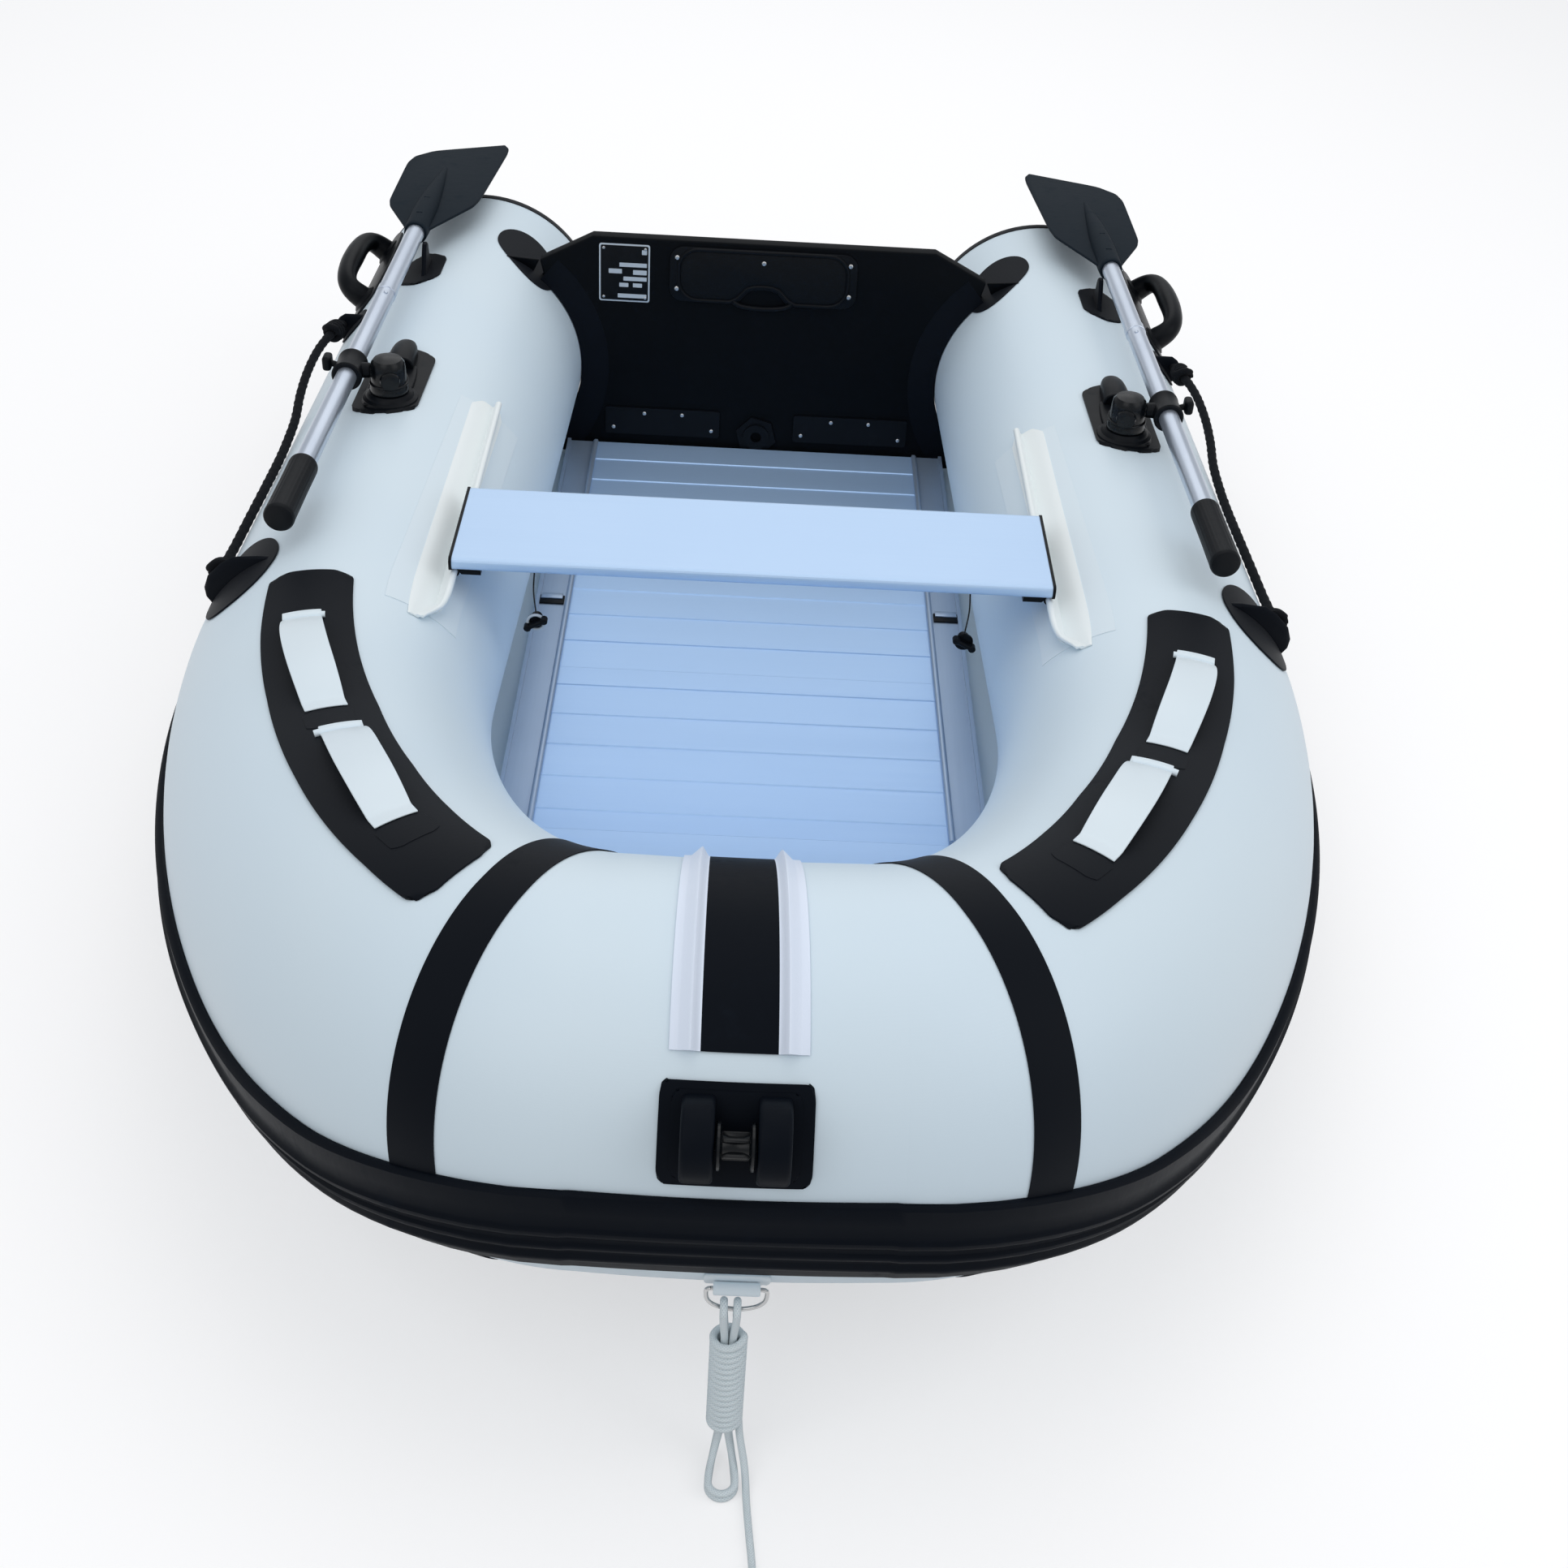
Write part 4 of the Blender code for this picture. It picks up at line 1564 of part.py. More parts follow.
def least_gap(points, diameter):
    """Least gap of a rope to itself, between points more than a few diameters apart along it."""
    line = np.array([tuple(p) for p in points])
    run = np.concatenate([[0], np.cumsum(np.linalg.norm(np.diff(line, axis=0), axis=1))])
    dense_run = np.linspace(0, run[-1], int(run[-1] / diameter * 4))
    dense = np.column_stack([np.interp(dense_run, run, line[:, axis]) for axis in range(3)])
    least = math.inf
    for k, point in enumerate(dense):
        far = dense[dense_run > dense_run[k] + 2.6 * diameter]
        if len(far):
            least = min(least, float(np.linalg.norm(far - point, axis=1).min()))
    return least - diameter, run[-1]


def build_painter():
    """Tab with its sleeve, the ring and the rope."""
    centre_deg = (PAINTER_TAB_FROM_DEG + PAINTER_TAB_TO_DEG) / 2
    half_deg = (PAINTER_TAB_TO_DEG - PAINTER_TAB_FROM_DEG) / 2
    pad = draped(PAINTER_TAB_X, PAINTER_TAB_HALF, centre_deg, half_deg, PAINTER_TAB_THICKNESS, along=4, around=3,
                 roundness=0.2, from_y=False)
    tab = node("painter_tab", pad, PVC_WHITE)
    pivot = ring_pivot()
    reach = RING_HALF_WIDTH - 3 * RING_ROD_RADIUS
    sleeve = turned(solid_rod(RING_LOOP_RADIUS, -reach, reach), X_AXIS, pivot, 10)
    bore = turned(solid_rod(RING_ROD_RADIUS + GAP, -reach - CUT_OVERRUN, reach + CUT_OVERRUN), X_AXIS, pivot, 8)
    combine(tab, helper("join_ring_sleeve", sleeve), "UNION")
    combine(tab, helper("cut_ring_sleeve", bore), "DIFFERENCE")
    turn_about(node("painter_ring", painter_ring(), STEEL), pivot)
    route = painter_route()
    gap, length = least_gap(route, ROPE_DIAMETER)
    print(f"Painter: length {length:.3f}, least gap to itself {gap:.5f}, points {len(route)}")
    cord("painter", route, ROPE_DIAMETER, ROPE_WHITE, 1)


# Valves
def build_valve(name, s, deg, side):
    """Air valve with its cap, glued to a chamber."""
    half_deg = math.degrees(VALVE_RADIUS / TUBE_RADIUS)
    pad = draped(s, VALVE_RADIUS, deg, half_deg, VALVE_THICKNESS / 2, along=4, around=3, from_y=False)
    valve = node("valve_" + name, mirror_to(side, pad), BLACK_PLASTIC)
    skin, normal, _ = local_frame(s, deg)
    cap = turned(solid_rod(VALVE_CAP_RADIUS, 2 * SKIN_GAP, SKIN_GAP + VALVE_THICKNESS), normal, skin, 12)
    combine(valve, helper("join_valve_cap_" + name, mirror_to(side, cap)), "UNION")


def middle_y():
    """Middle of the boat's length, without its cords."""
    bpy.context.view_layer.update()
    graph = bpy.context.evaluated_depsgraph_get()
    ends = []
    for obj in bpy.data.objects:
        if obj.type == "MESH" and not obj.hide_render:
            ends += [(obj.matrix_world @ Vector(corner)).y for corner in obj.evaluated_get(graph).bound_box]
    return (min(ends) + max(ends)) / 2


def main():
    """Builds every piece, then moves them all to the origin in the middle of the boat's box."""
    for obj in list(bpy.data.objects):
        bpy.data.objects.remove(obj)
    build_hull()
    build_transom()
    build_floor()
    build_seat()
    for name, side in SIDES:
        build_oar(name, side)
        build_rowlock(name, side)
        build_clip(name, side)
        build_side_fittings(name, side)
        build_valve(name, LINE.s_at_y(VALVE_SIDE_Y), VALVE_SIDE_DEG, side)
    build_bow()
    build_valve("bow", VALVE_BOW_X, VALVE_BOW_DEG, 1)
    shift = middle_y()
    print(f"Every piece is moved by {-shift:.5f} along the boat")
    for obj in bpy.data.objects:
        obj.location.y -= shift


main()
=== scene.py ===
"""Looks of the inflatable tender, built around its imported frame.

Metres, +Z up, +X to port, bow towards -Y. A place on the hull tube is given by the distance s along its
centre line from the bow and by an angle round it: 0 faces outboard, 90 is the top and 180 faces inboard.
"""
import logging
import math
from dataclasses import dataclass, field
from enum import Enum
from typing import Callable, Iterable, Sequence

import bpy
import numpy as np
from mathutils import Matrix, Vector


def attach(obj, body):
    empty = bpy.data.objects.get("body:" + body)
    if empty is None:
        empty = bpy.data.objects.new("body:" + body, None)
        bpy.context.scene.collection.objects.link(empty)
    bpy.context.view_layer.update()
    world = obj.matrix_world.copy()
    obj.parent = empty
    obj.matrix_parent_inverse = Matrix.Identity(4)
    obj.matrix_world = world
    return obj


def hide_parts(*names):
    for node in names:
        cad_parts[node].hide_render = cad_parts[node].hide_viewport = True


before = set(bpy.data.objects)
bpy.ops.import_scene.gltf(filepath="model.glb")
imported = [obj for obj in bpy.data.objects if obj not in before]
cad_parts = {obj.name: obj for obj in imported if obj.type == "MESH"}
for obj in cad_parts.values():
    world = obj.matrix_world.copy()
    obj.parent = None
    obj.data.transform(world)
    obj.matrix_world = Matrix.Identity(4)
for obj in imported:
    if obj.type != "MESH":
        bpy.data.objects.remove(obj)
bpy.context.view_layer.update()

WHITE = (1.0, 0.99, 0.995)
LOG = logging.getLogger("tender")
SHIFT_Y = -0.08176  # from the place in which the photograph was measured to the frame's own
X_AXIS, Y_AXIS, Z_AXIS = Vector((1, 0, 0)), Vector((0, 1, 0)), Vector((0, 0, 1))
Pair = tuple[float, float]
Triple = tuple[float, float, float]
Piece = bpy.types.Object
Place = Callable[[float, float], Vector]


class Side(Enum):
    """Side of the boat, as the sign of its x."""

    PORT = 1
    STARBOARD = -1

    @property
    def word(self) -> str:
        """Name of the side, as the frame's nodes have it."""
        return self.name.lower()


class Shade:
    """Socket of a shader network, on which sums can be written."""

    def __init__(self, dye: "Dye", socket: bpy.types.NodeSocket) -> None:
        """Keeps the network and the socket."""
        self.dye = dye
        self.socket = socket

    def _math(self, operation: str, *values: object) -> "Shade":
        """Adds a Math node and returns its result."""
        made = self.dye.node("ShaderNodeMath", {"operation": operation}, dict(enumerate(values)))
        return Shade(self.dye, made.outputs[0])

    def __add__(self, other: object) -> "Shade":
        """Sum."""
        return self._math("ADD", self, other)

    def __sub__(self, other: object) -> "Shade":
        """Difference."""
        return self._math("SUBTRACT", self, other)

    def __rsub__(self, other: object) -> "Shade":
        """Difference, the other way round."""
        return self._math("SUBTRACT", other, self)

    def __mul__(self, other: object) -> "Shade":
        """Product."""
        return self._math("MULTIPLY", self, other)

    def __pow__(self, other: object) -> "Shade":
        """Power."""
        return self._math("POWER", self, other)

    def __rpow__(self, other: object) -> "Shade":
        """Power, the other way round."""
        return self._math("POWER", other, self)

    __radd__ = __add__
    __rmul__ = __mul__

    def sine(self) -> "Shade":
        """Sine of the value."""
        return self._math("SINE", self)

    def apart(self) -> "Shade":
        """Absolute value."""
        return self._math("ABSOLUTE", self)

    def above(self, level: float) -> "Shade":
        """1 where the value is above the level."""
        return self._math("GREATER_THAN", self, level)

    def larger(self, other: object) -> "Shade":
        """The larger of two values."""
        return self._math("MAXIMUM", self, other)

    def between(self, low: float, high: float) -> "Shade":
        """Smooth climb from 0 at low to 1 at high."""
        made = self.dye.node("ShaderNodeMapRange", {"interpolation_type": "SMOOTHSTEP"},
                             {"Value": self, "From Min": low, "From Max": high})
        return Shade(self.dye, made.outputs["Result"])


class Dye:
    """Material of one piece and the nodes that make it."""

    def __init__(self, name: str) -> None:
        """Starts a material with its Principled shader."""
        self.material = bpy.data.materials.new(name)
        self.material.use_nodes = True
        self.tree = self.material.node_tree
        self.shader = next(n for n in self.tree.nodes if n.type == "BSDF_PRINCIPLED")

    def node(self, kind: str, settings: dict | None = None, sockets: dict | None = None) -> bpy.types.Node:
        """Adds a node.

        Args:
            kind: the node's type.
            settings: its properties, or a ramp's stops under "stops".
            sockets: values or links of its inputs, by name or number.

        Returns:
            The new node.
        """
        made = self.tree.nodes.new(kind)
        for key, value in (settings or {}).items():
            if key == "stops":
                ramp = made.color_ramp
                while len(ramp.elements) < len(value):
                    ramp.elements.new(0.5)
                for stop, (place, colour) in zip(ramp.elements, value):
                    stop.position = place
                    stop.color = colour if len(colour) == 4 else (*colour, 1)
            else:
                setattr(made, key, value)
        for key, value in (sockets or {}).items():
            self.feed(made.inputs[key], value)
        return made

    def feed(self, socket: bpy.types.NodeSocket, value: object) -> None:
        """Links or sets one input."""
        if isinstance(value, Shade):
            self.tree.links.new(value.socket, socket)
        elif isinstance(value, bpy.types.NodeSocket):
            self.tree.links.new(value, socket)
        elif isinstance(value, (tuple, list)) and len(value) == 3 and socket.type == "RGBA":
            socket.default_value = (*value, 1)
        else:
            socket.default_value = value

    def coordinates(self, source: str = "Object", scale: Sequence[float] = (1, 1, 1)) -> bpy.types.NodeSocket:
        """Coordinates of the piece, stretched by scale."""
        texture = self.node("ShaderNodeTexCoord")
        mapping = self.node("ShaderNodeMapping", {}, {"Vector": texture.outputs[source], "Scale": tuple(scale)})
        return mapping.outputs["Vector"]

    def axes(self, vector: bpy.types.NodeSocket) -> list[Shade]:
        """The three parts of a vector."""
        split = self.node("ShaderNodeSeparateXYZ", {}, {0: vector})
        return [Shade(self, out) for out in split.outputs]

    def noise(self, vector: bpy.types.NodeSocket, scale: float, detail: float = 3, rough: float = 0.5) -> Shade:
        """Cloudy value from 0 to 1."""
        made = self.node("ShaderNodeTexNoise", {}, {"Vector": vector, "Scale": scale, "Detail": detail,
                                                    "Roughness": rough})
        return Shade(self, made.outputs[0])

    def cells(self, vector: bpy.types.NodeSocket, scale: float) -> Shade:
        """Distance to the nearest of many scattered points."""
        made = self.node("ShaderNodeTexVoronoi", {}, {"Vector": vector, "Scale": scale})
        return Shade(self, made.outputs["Distance"])

    def blend(self, share: object, first: object, second: object) -> bpy.types.NodeSocket:
        """Mixes two colours by share."""
        made = self.node("ShaderNodeMix", {"data_type": "RGBA"}, {0: share, 6: first, 7: second})
        return made.outputs[2]

    def bump(self, height: Shade, depth: float) -> None:
        """Raises the surface by height times depth, in metres."""
        made = self.node("ShaderNodeBump", {}, {"Strength": 1.0, "Distance": depth, "Height": height})
        self.feed(self.shader.inputs["Normal"], made.outputs["Normal"])

    def set(self, **values: object) -> None:
        """Sets inputs of the shader, by their names with underscores for spaces."""
        for key, value in values.items():
            self.feed(self.shader.inputs[key.replace("_", " ")], value)


@dataclass(frozen=True)
class Finish:
    """What every finish has: colour, gloss and metal."""

    colour: Triple
    roughness: float = 0.5
    metallic: float = 0.0
    shine: float = 0.5
    slot: str = ""

    def dye(self, name: str) -> Dye:
        """Material with the plain values set."""
        made = Dye(name)
        made.set(Base_Color=self.colour, Roughness=self.roughness, Metallic=self.metallic)
        made.set(Specular_IOR_Level=self.shine)
        self.detail(made)
        return made

    def detail(self, dye: Dye) -> None:
        """Adds what varies over the surface."""

    def onto(self, obj: Piece) -> Piece:
        """Gives an object this finish alone."""
        dye = self.dye(obj.name + "_finish")
        if obj.data.materials:
            for index in range(len(obj.data.materials)):
                obj.material_slots[index].material = dye.material
        else:
            obj.data.materials.append(dye.material)
        return obj


@dataclass(frozen=True)
class CoatedCloth(Finish):
    """Coated fabric of tubes and patches: faint weave, slow waves and a few scuffs."""

    weave: float = 0.00035
    weave_depth: float = 0.000012
    tint: Triple = (0.8, 0.85, 0.9)
    gloss: float = 0.12
    slot: str = "hull_fabric"

    def detail(self, dye: Dye) -> None:
        """Weave, tint, scuffs and slow waves."""
        place = dye.coordinates()
        cloud = dye.noise(place, 2.3, 2)
        grain = dye.noise(place, 900, 2)
        scuff = dye.noise(dye.coordinates(scale=(1, 0.35, 2.5)), 16, 6, 0.72).between(0.6, 0.78)
        x, y, z = dye.axes(place)
        thread = 2 * math.pi / (self.weave * 6)
        weave = (x * thread).sine() * (y * thread).sine() + (z * thread).sine()
        dye.set(Base_Color=dye.blend(cloud.between(0.35, 0.7) * 0.6, self.colour, self.tint),
                Roughness=self.roughness + scuff * 0.14 + (grain - 0.5) * 0.08,
                Coat_Weight=self.gloss, Coat_Roughness=0.28, Sheen_Weight=0.04)
        dye.bump(weave * 0.35 + grain * 0.8 + cloud * 60, self.weave_depth)


@dataclass(frozen=True)
class Moulded(Finish):
    """Moulded plastic or rubber: fine spark-eroded grain and worn shine."""

    grain: float = 1400.0
    depth: float = 0.00003
    worn: Triple = (0.045, 0.048, 0.055)
    slot: str = "black_plastic"

    def detail(self, dye: Dye) -> None:
        """Grain and dusty wear."""
        place = dye.coordinates()
        grain = dye.cells(place, self.grain)
        dust = dye.noise(place, 26, 6, 0.7).between(0.52, 0.85)
        streak = dye.noise(dye.coordinates(scale=(1, 5, 1)), 60, 4, 0.6)
        dye.set(Base_Color=dye.blend(dust * 0.55, self.colour, self.worn),
                Roughness=self.roughness + dust * 0.18 + (streak - 0.5) * 0.1)
        dye.bump(grain, self.depth)


@dataclass(frozen=True)
class SatinMetal(Finish):
    """Anodised or drawn metal with fine lines along one axis."""

    lines: Triple = (1.5, 420, 60)
    shade: Triple = (0.5, 0.56, 0.66)
    depth: float = 0.000015
    slot: str = "aluminium"

    def detail(self, dye: Dye) -> None:
        """Draw lines, faint clouds and small marks."""
        line = dye.noise(dye.coordinates(scale=self.lines), 1.0, 4, 0.6)
        cloud = dye.noise(dye.coordinates(), 5.0, 4, 0.6)
        mark = dye.noise(dye.coordinates(scale=(1, 0.3, 1)), 55, 7, 0.8).between(0.63, 0.75)
        dye.set(Base_Color=dye.blend(cloud.between(0.3, 0.7) * 0.45 + line * 0.35, self.colour, self.shade),
                Roughness=self.roughness + (line - 0.5) * 0.22 + mark * 0.12)
        dye.bump(line, self.depth)


@dataclass(frozen=True)
class Braid(Finish):
    """Braided cord: strands cross in a diamond pattern that follows the cord's own map, with painted shade between
    them.
    """

    strands: int = 8
    pitch: float = 0.012
    depth: float = 0.0006
    # painted shade: colour given to the grooves between the strands
    dark: Triple = (0.42, 0.5, 0.55)
    sheen: float = 0.25
    slot: str = "rope_black"

    def detail(self, dye: Dye) -> None:
        """Two crossing sets of strands with painted shade in the grooves between them; the map runs once round in u
        and in metres along v.
        """
        u, v, _ = dye.axes(dye.coordinates("UV"))
        turn = u * (2 * math.pi * self.strands / 2)
        run = v * (2 * math.pi / self.pitch * self.strands / 4)
        left, right = (turn + run).sine().apart(), (turn - run).sine().apart()
        fibre = dye.noise(dye.coordinates("UV", (30, 900, 1)), 3.0, 3, 0.6)
        height = left.larger(right) ** 0.6
        # Painted shade: the low places between the strands are darkened, mixed with random fibre tone.
        dye.set(Base_Color=dye.blend(height * 0.8 + fibre * 0.2, self.dark, self.colour),
                Roughness=self.roughness, Sheen_Weight=self.sheen)
        dye.bump(height + fibre * 0.25, self.depth)


HULL_CLOTH = CoatedCloth((0.72, 0.83, 0.9), 0.42, shine=0.32, tint=(0.69, 0.81, 0.9), gloss=0.05)
BLACK_CLOTH = CoatedCloth((0.003, 0.0046, 0.008), 0.5, shine=0.05, tint=(0.006, 0.008, 0.012), gloss=0.0,
                          weave_depth=0.00001, slot="black_fabric")
BLACK_PLASTIC = Moulded((0.0034, 0.0045, 0.0065), 0.4, shine=0.12, worn=(0.01, 0.012, 0.016))
BLACK_RUBBER = Moulded((0.003, 0.0048, 0.0085), 0.48, shine=0.06, grain=900,
                       worn=(0.007, 0.011, 0.018), slot="black_rubber")
BOARD_FACE = Moulded((0.0018, 0.0028, 0.0044), 0.55, shine=0.08, grain=700, depth=0.00005,
                     worn=(0.005, 0.006, 0.009), slot="board")
SHAFT_METAL = SatinMetal((0.62, 0.68, 0.77), 0.33, 0.8, lines=(60, 1.5, 60))
STEEL = SatinMetal((0.6, 0.6, 0.6), 0.24, 1.0, lines=(40, 40, 40), shade=(0.45, 0.45, 0.45), slot="steel")
PALE_ROPE = Braid((0.9, 0.97, 0.99), 0.75, shine=0.3, depth=0.0009, dark=(0.5, 0.64, 0.72), slot="rope_white")
KNURLED = Moulded((0.003, 0.004, 0.0056), 0.54, shine=0.14, grain=420, depth=0.00045, worn=(0.006, 0.008, 0.01))
GLOSS_PLASTIC = Moulded((0.003, 0.004, 0.0055), 0.26, shine=0.26, depth=0.000012, worn=(0.011, 0.013, 0.016))
BLADE_PLASTIC = Moulded((0.0095, 0.016, 0.0235), 0.58, shine=0.06, grain=1100, worn=(0.015, 0.024, 0.034))
GRIP_RUBBER = Moulded((0.004, 0.0052, 0.0072), 0.5, shine=0.16, grain=1200, worn=(0.015, 0.017, 0.021))
PALE_RUBBER = Moulded((0.5, 0.56, 0.62), 0.5, worn=(0.58, 0.62, 0.66), slot="aluminium")
TRACK_CLOTH = CoatedCloth((0.88, 0.93, 0.93), 0.38, tint=(0.86, 0.92, 0.94), gloss=0.05)
WELD_CLOTH = CoatedCloth((0.75, 0.85, 0.91), 0.42, shine=0.32, tint=(0.73, 0.83, 0.91), gloss=0.05)
STRAP_CLOTH = CoatedCloth((0.78, 0.87, 0.92), 0.42, shine=0.32, tint=(0.75, 0.85, 0.92), gloss=0.05)
RAIL_CLOTH = CoatedCloth((0.8, 0.87, 0.99), 0.4, shine=0.4, tint=(0.79, 0.86, 0.99), gloss=0.06)
FLOOR_METAL = SatinMetal((0.5, 0.7, 0.98), 0.42, 0.5, shade=(0.48, 0.68, 0.96))
RAIL_METAL = SatinMetal((0.42, 0.52, 0.66), 0.4, 0.6, lines=(420, 1.5, 60), shade=(0.38, 0.48, 0.62))
BENCH_METAL = SatinMetal((0.54, 0.71, 0.94), 0.42, 0.45, shade=(0.52, 0.69, 0.92))
BLACK_ROPE = Braid((0.006, 0.0072, 0.01), 0.8, shine=0.12, strands=12, pitch=0.02, dark=(0.001, 0.001, 0.002),
                   sheen=0.02)
THIN_ROPE = Braid((0.008, 0.008, 0.009), 0.7, shine=0.2, strands=6, pitch=0.004, depth=0.0002,
                  dark=(0.002, 0.002, 0.003))


def deselect() -> None:
    """Leaves edit mode and selects nothing."""
    if bpy.context.object and bpy.context.object.mode != "OBJECT":
        bpy.ops.object.mode_set(mode="OBJECT")
    bpy.ops.object.select_all(action="DESELECT")


def pick(obj: Piece) -> Piece:
    """Makes one object the only one selected."""
    deselect()
    obj.select_set(True)
    bpy.context.view_layer.objects.active = obj
    return obj


def named(name: str) -> Piece:
    """Names the active object and its mesh."""
    obj = bpy.context.object
    obj.name = obj.data.name = name
    return obj


def newest(name: str) -> Piece:
    """Names the object that an operator has just added, and puts its place into its mesh."""
    obj = named(name)
    bpy.ops.object.transform_apply(location=True, rotation=True, scale=True)
    return obj


def modifier(obj: Piece, kind: str, **settings: object) -> Piece:
    """Adds a modifier with its settings and applies it."""
    pick(obj)
    made = obj.modifiers.new(kind.lower(), kind)
    for key, value in settings.items():
        setattr(made, key, value)
    bpy.ops.object.modifier_apply(modifier=made.name)
    return obj


def bevelled(obj: Piece, width: float, segments: int, degrees: float = 40) -> Piece:
    """Rounds the edges of a piece that turn by more than an angle."""
    return modifier(obj, "BEVEL", width=width, segments=segments, limit_method="ANGLE",
                    angle_limit=math.radians(degrees))


def smooth(obj: Piece, degrees: float = 35) -> Piece:
    """Shades an object smooth, with sharp edges above an angle."""
    pick(obj)
    bpy.ops.object.shade_smooth_by_angle(angle=math.radians(degrees))
    return obj


def outward(obj: Piece, merge: float | None = 0.00002, fill: bool = False) -> Piece:
    """Turns all faces of a piece outwards.

    Args:
        obj: the piece.
        merge: distance under which points become one, or None where none do.
        fill: whether open rings are closed first.

    Returns:
        The same piece.
    """
    pick(obj)
    bpy.ops.object.mode_set(mode="EDIT")
    bpy.ops.mesh.select_all(action="SELECT")
    if merge is not None:
        bpy.ops.mesh.remove_doubles(threshold=merge)
    if fill:
        bpy.ops.mesh.select_all(action="DESELECT")
        bpy.ops.mesh.select_non_manifold(extend=False)
        bpy.ops.mesh.edge_face_add()
        bpy.ops.mesh.select_all(action="SELECT")
    bpy.ops.mesh.normals_make_consistent(inside=False)
    bpy.ops.object.mode_set(mode="OBJECT")
    return obj


def joined(name: str, parts: Sequence[Piece]) -> Piece:
    """Joins objects into one piece."""
    pick(parts[0])
    for part in parts:
        part.select_set(True)
    bpy.ops.object.join()
    return named(name)


def skin(name: str, place: Place, across: int, along: int, thickness: float = 0.0,
         closed: bool = False) -> Piece:
    """Grid laid on a surface, thickened outwards.

    Args:
        name: the piece's name.
        place: gives the point for the shares across and along, each from 0 to 1.
        across: number of faces across.
        along: number of faces along.
        thickness: wall added on the side that the surface faces away from, or 0.
        closed: whether the grid's two long edges meet.

    Returns:
        The new object.
    """
    deselect()
    bpy.ops.mesh.primitive_grid_add(x_subdivisions=across, y_subdivisions=along, size=2, calc_uvs=True)
    obj = newest(name)
    for vert in obj.data.vertices:
        vert.co = place((vert.co.x + 1) / 2, (vert.co.y + 1) / 2)
    if closed:
        outward(obj)
    if thickness:
        modifier(obj, "SOLIDIFY", thickness=thickness, offset=1.0, use_even_offset=False)
    return smooth(obj)


def pad_on(name: str, place: Place, across: int, along: int, thickness: float, soft: float = 0.4) -> Piece:
    """Glued pad: a thickened skin whose rim is rounded off."""
    obj = outward(skin(name, place, across, along, thickness))
    return smooth(bevelled(obj, thickness * soft, 2, 50), 50)


def packed_ends(share: float) -> float:
    """Moves a share from 0 to 1 towards its ends, where round corners need more points."""
    return 0.5 - 0.5 * math.cos(math.pi * share)


def rounded_share(u: float, v: float, corner_u: float, corner_v: float) -> Pair:
    """Moves a place on the unit square into the square with rounded corners.

    Args:
        u: share across, 0 to 1.
        v: share along, 0 to 1.
        corner_u: share of the width that each corner takes.
        corner_v: share of the length that each corner takes.

    Returns:
        The moved place.
    """
    end = max(0.0, 1 - min(v, 1 - v) / corner_v) if corner_v else 0.0
    side = max(0.0, 1 - min(u, 1 - u) / corner_u) if corner_u else 0.0
    narrow = corner_u * (1 - math.sqrt(max(0.0, 1 - end * end)))
    short = corner_v * (1 - math.sqrt(max(0.0, 1 - side * side))) * end
    u = 0.5 + (u - 0.5) * (1 - 2 * narrow)
    v = v + short * (0.3 if v < 0.5 else -0.3)
    return u, v


def turned(name: str, profile: Sequence[Pair], axis: Vector, foot: Vector, sides: int = 48) -> Piece:
    """Shape turned about an axis: a ring is extruded and resized step by step, and its ends are filled.

    Args:
        name: the piece's name.
        profile: radius and height of each step, in metres.
        axis: direction of the heights.
        foot: point of the axis at height 0.
        sides: faces round it.

    Returns:
        The new object.
    """
    deselect()
    radius, height = profile[0]
    bpy.ops.mesh.primitive_circle_add(vertices=sides, radius=radius, fill_type="NGON", location=(0, 0, height))
    obj = newest(name)
    bpy.ops.object.mode_set(mode="EDIT")
    bpy.ops.mesh.select_all(action="SELECT")
    for (last, low), (radius, height) in zip(profile, profile[1:]):
        bpy.ops.mesh.extrude_region_move(TRANSFORM_OT_translate={"value": (0, 0, height - low)})
        share = radius / last
        bpy.ops.transform.resize(value=(share, share, 1), center_override=(0, 0, height))
    outward(obj, None)
    turn = Z_AXIS.rotation_difference(Vector(axis).normalized()).to_matrix().to_4x4()
    obj.data.transform(Matrix.Translation(foot) @ turn)
    return smooth(obj, 30)


def block(name: str, low: Sequence[float], high: Sequence[float], bevel: float, segments: int = 2) -> Piece:
    """Box with rounded edges."""
    deselect()
    size = [b - a for a, b in zip(low, high)]
    bpy.ops.mesh.primitive_cube_add(size=1, location=[(a + b) / 2 for a, b in zip(low, high)], scale=size)
    obj = newest(name)
    modifier(obj, "BEVEL", width=bevel, segments=segments, limit_method="NONE")
    return smooth(obj)


def plate(name: str, outline: Sequence[Vector], thickness: Vector, bevel: float, segments: int = 2) -> Piece:
    """Flat outline thickened by a vector, with rounded edges."""
    deselect()
    bpy.ops.mesh.primitive_circle_add(vertices=len(outline), radius=1, fill_type="NGON")
    obj = newest(name)
    for vert, point in zip(obj.data.vertices, outline):
        vert.co = point
    bpy.ops.object.mode_set(mode="EDIT")
    bpy.ops.mesh.select_all(action="SELECT")
    bpy.ops.mesh.extrude_region_move(TRANSFORM_OT_translate={"value": tuple(thickness)})
    outward(obj, None)
    if bevel:
        bevelled(obj, bevel, segments)
    return smooth(obj)


def moved(obj: Piece, matrix: Matrix) -> Piece:
    """Moves a piece inside its mesh."""
    obj.data.transform(matrix)
    return obj


def mirrored(obj: Piece, side: Side) -> Piece:
    """Turns a piece modelled for port into the one for the side given."""
    if side is Side.STARBOARD:
        obj.data.transform(Matrix.Scale(-1, 4, X_AXIS))
        pick(obj)
        bpy.ops.object.mode_set(mode="EDIT")
        bpy.ops.mesh.select_all(action="SELECT")
        bpy.ops.mesh.flip_normals()
        bpy.ops.object.mode_set(mode="OBJECT")
    return obj


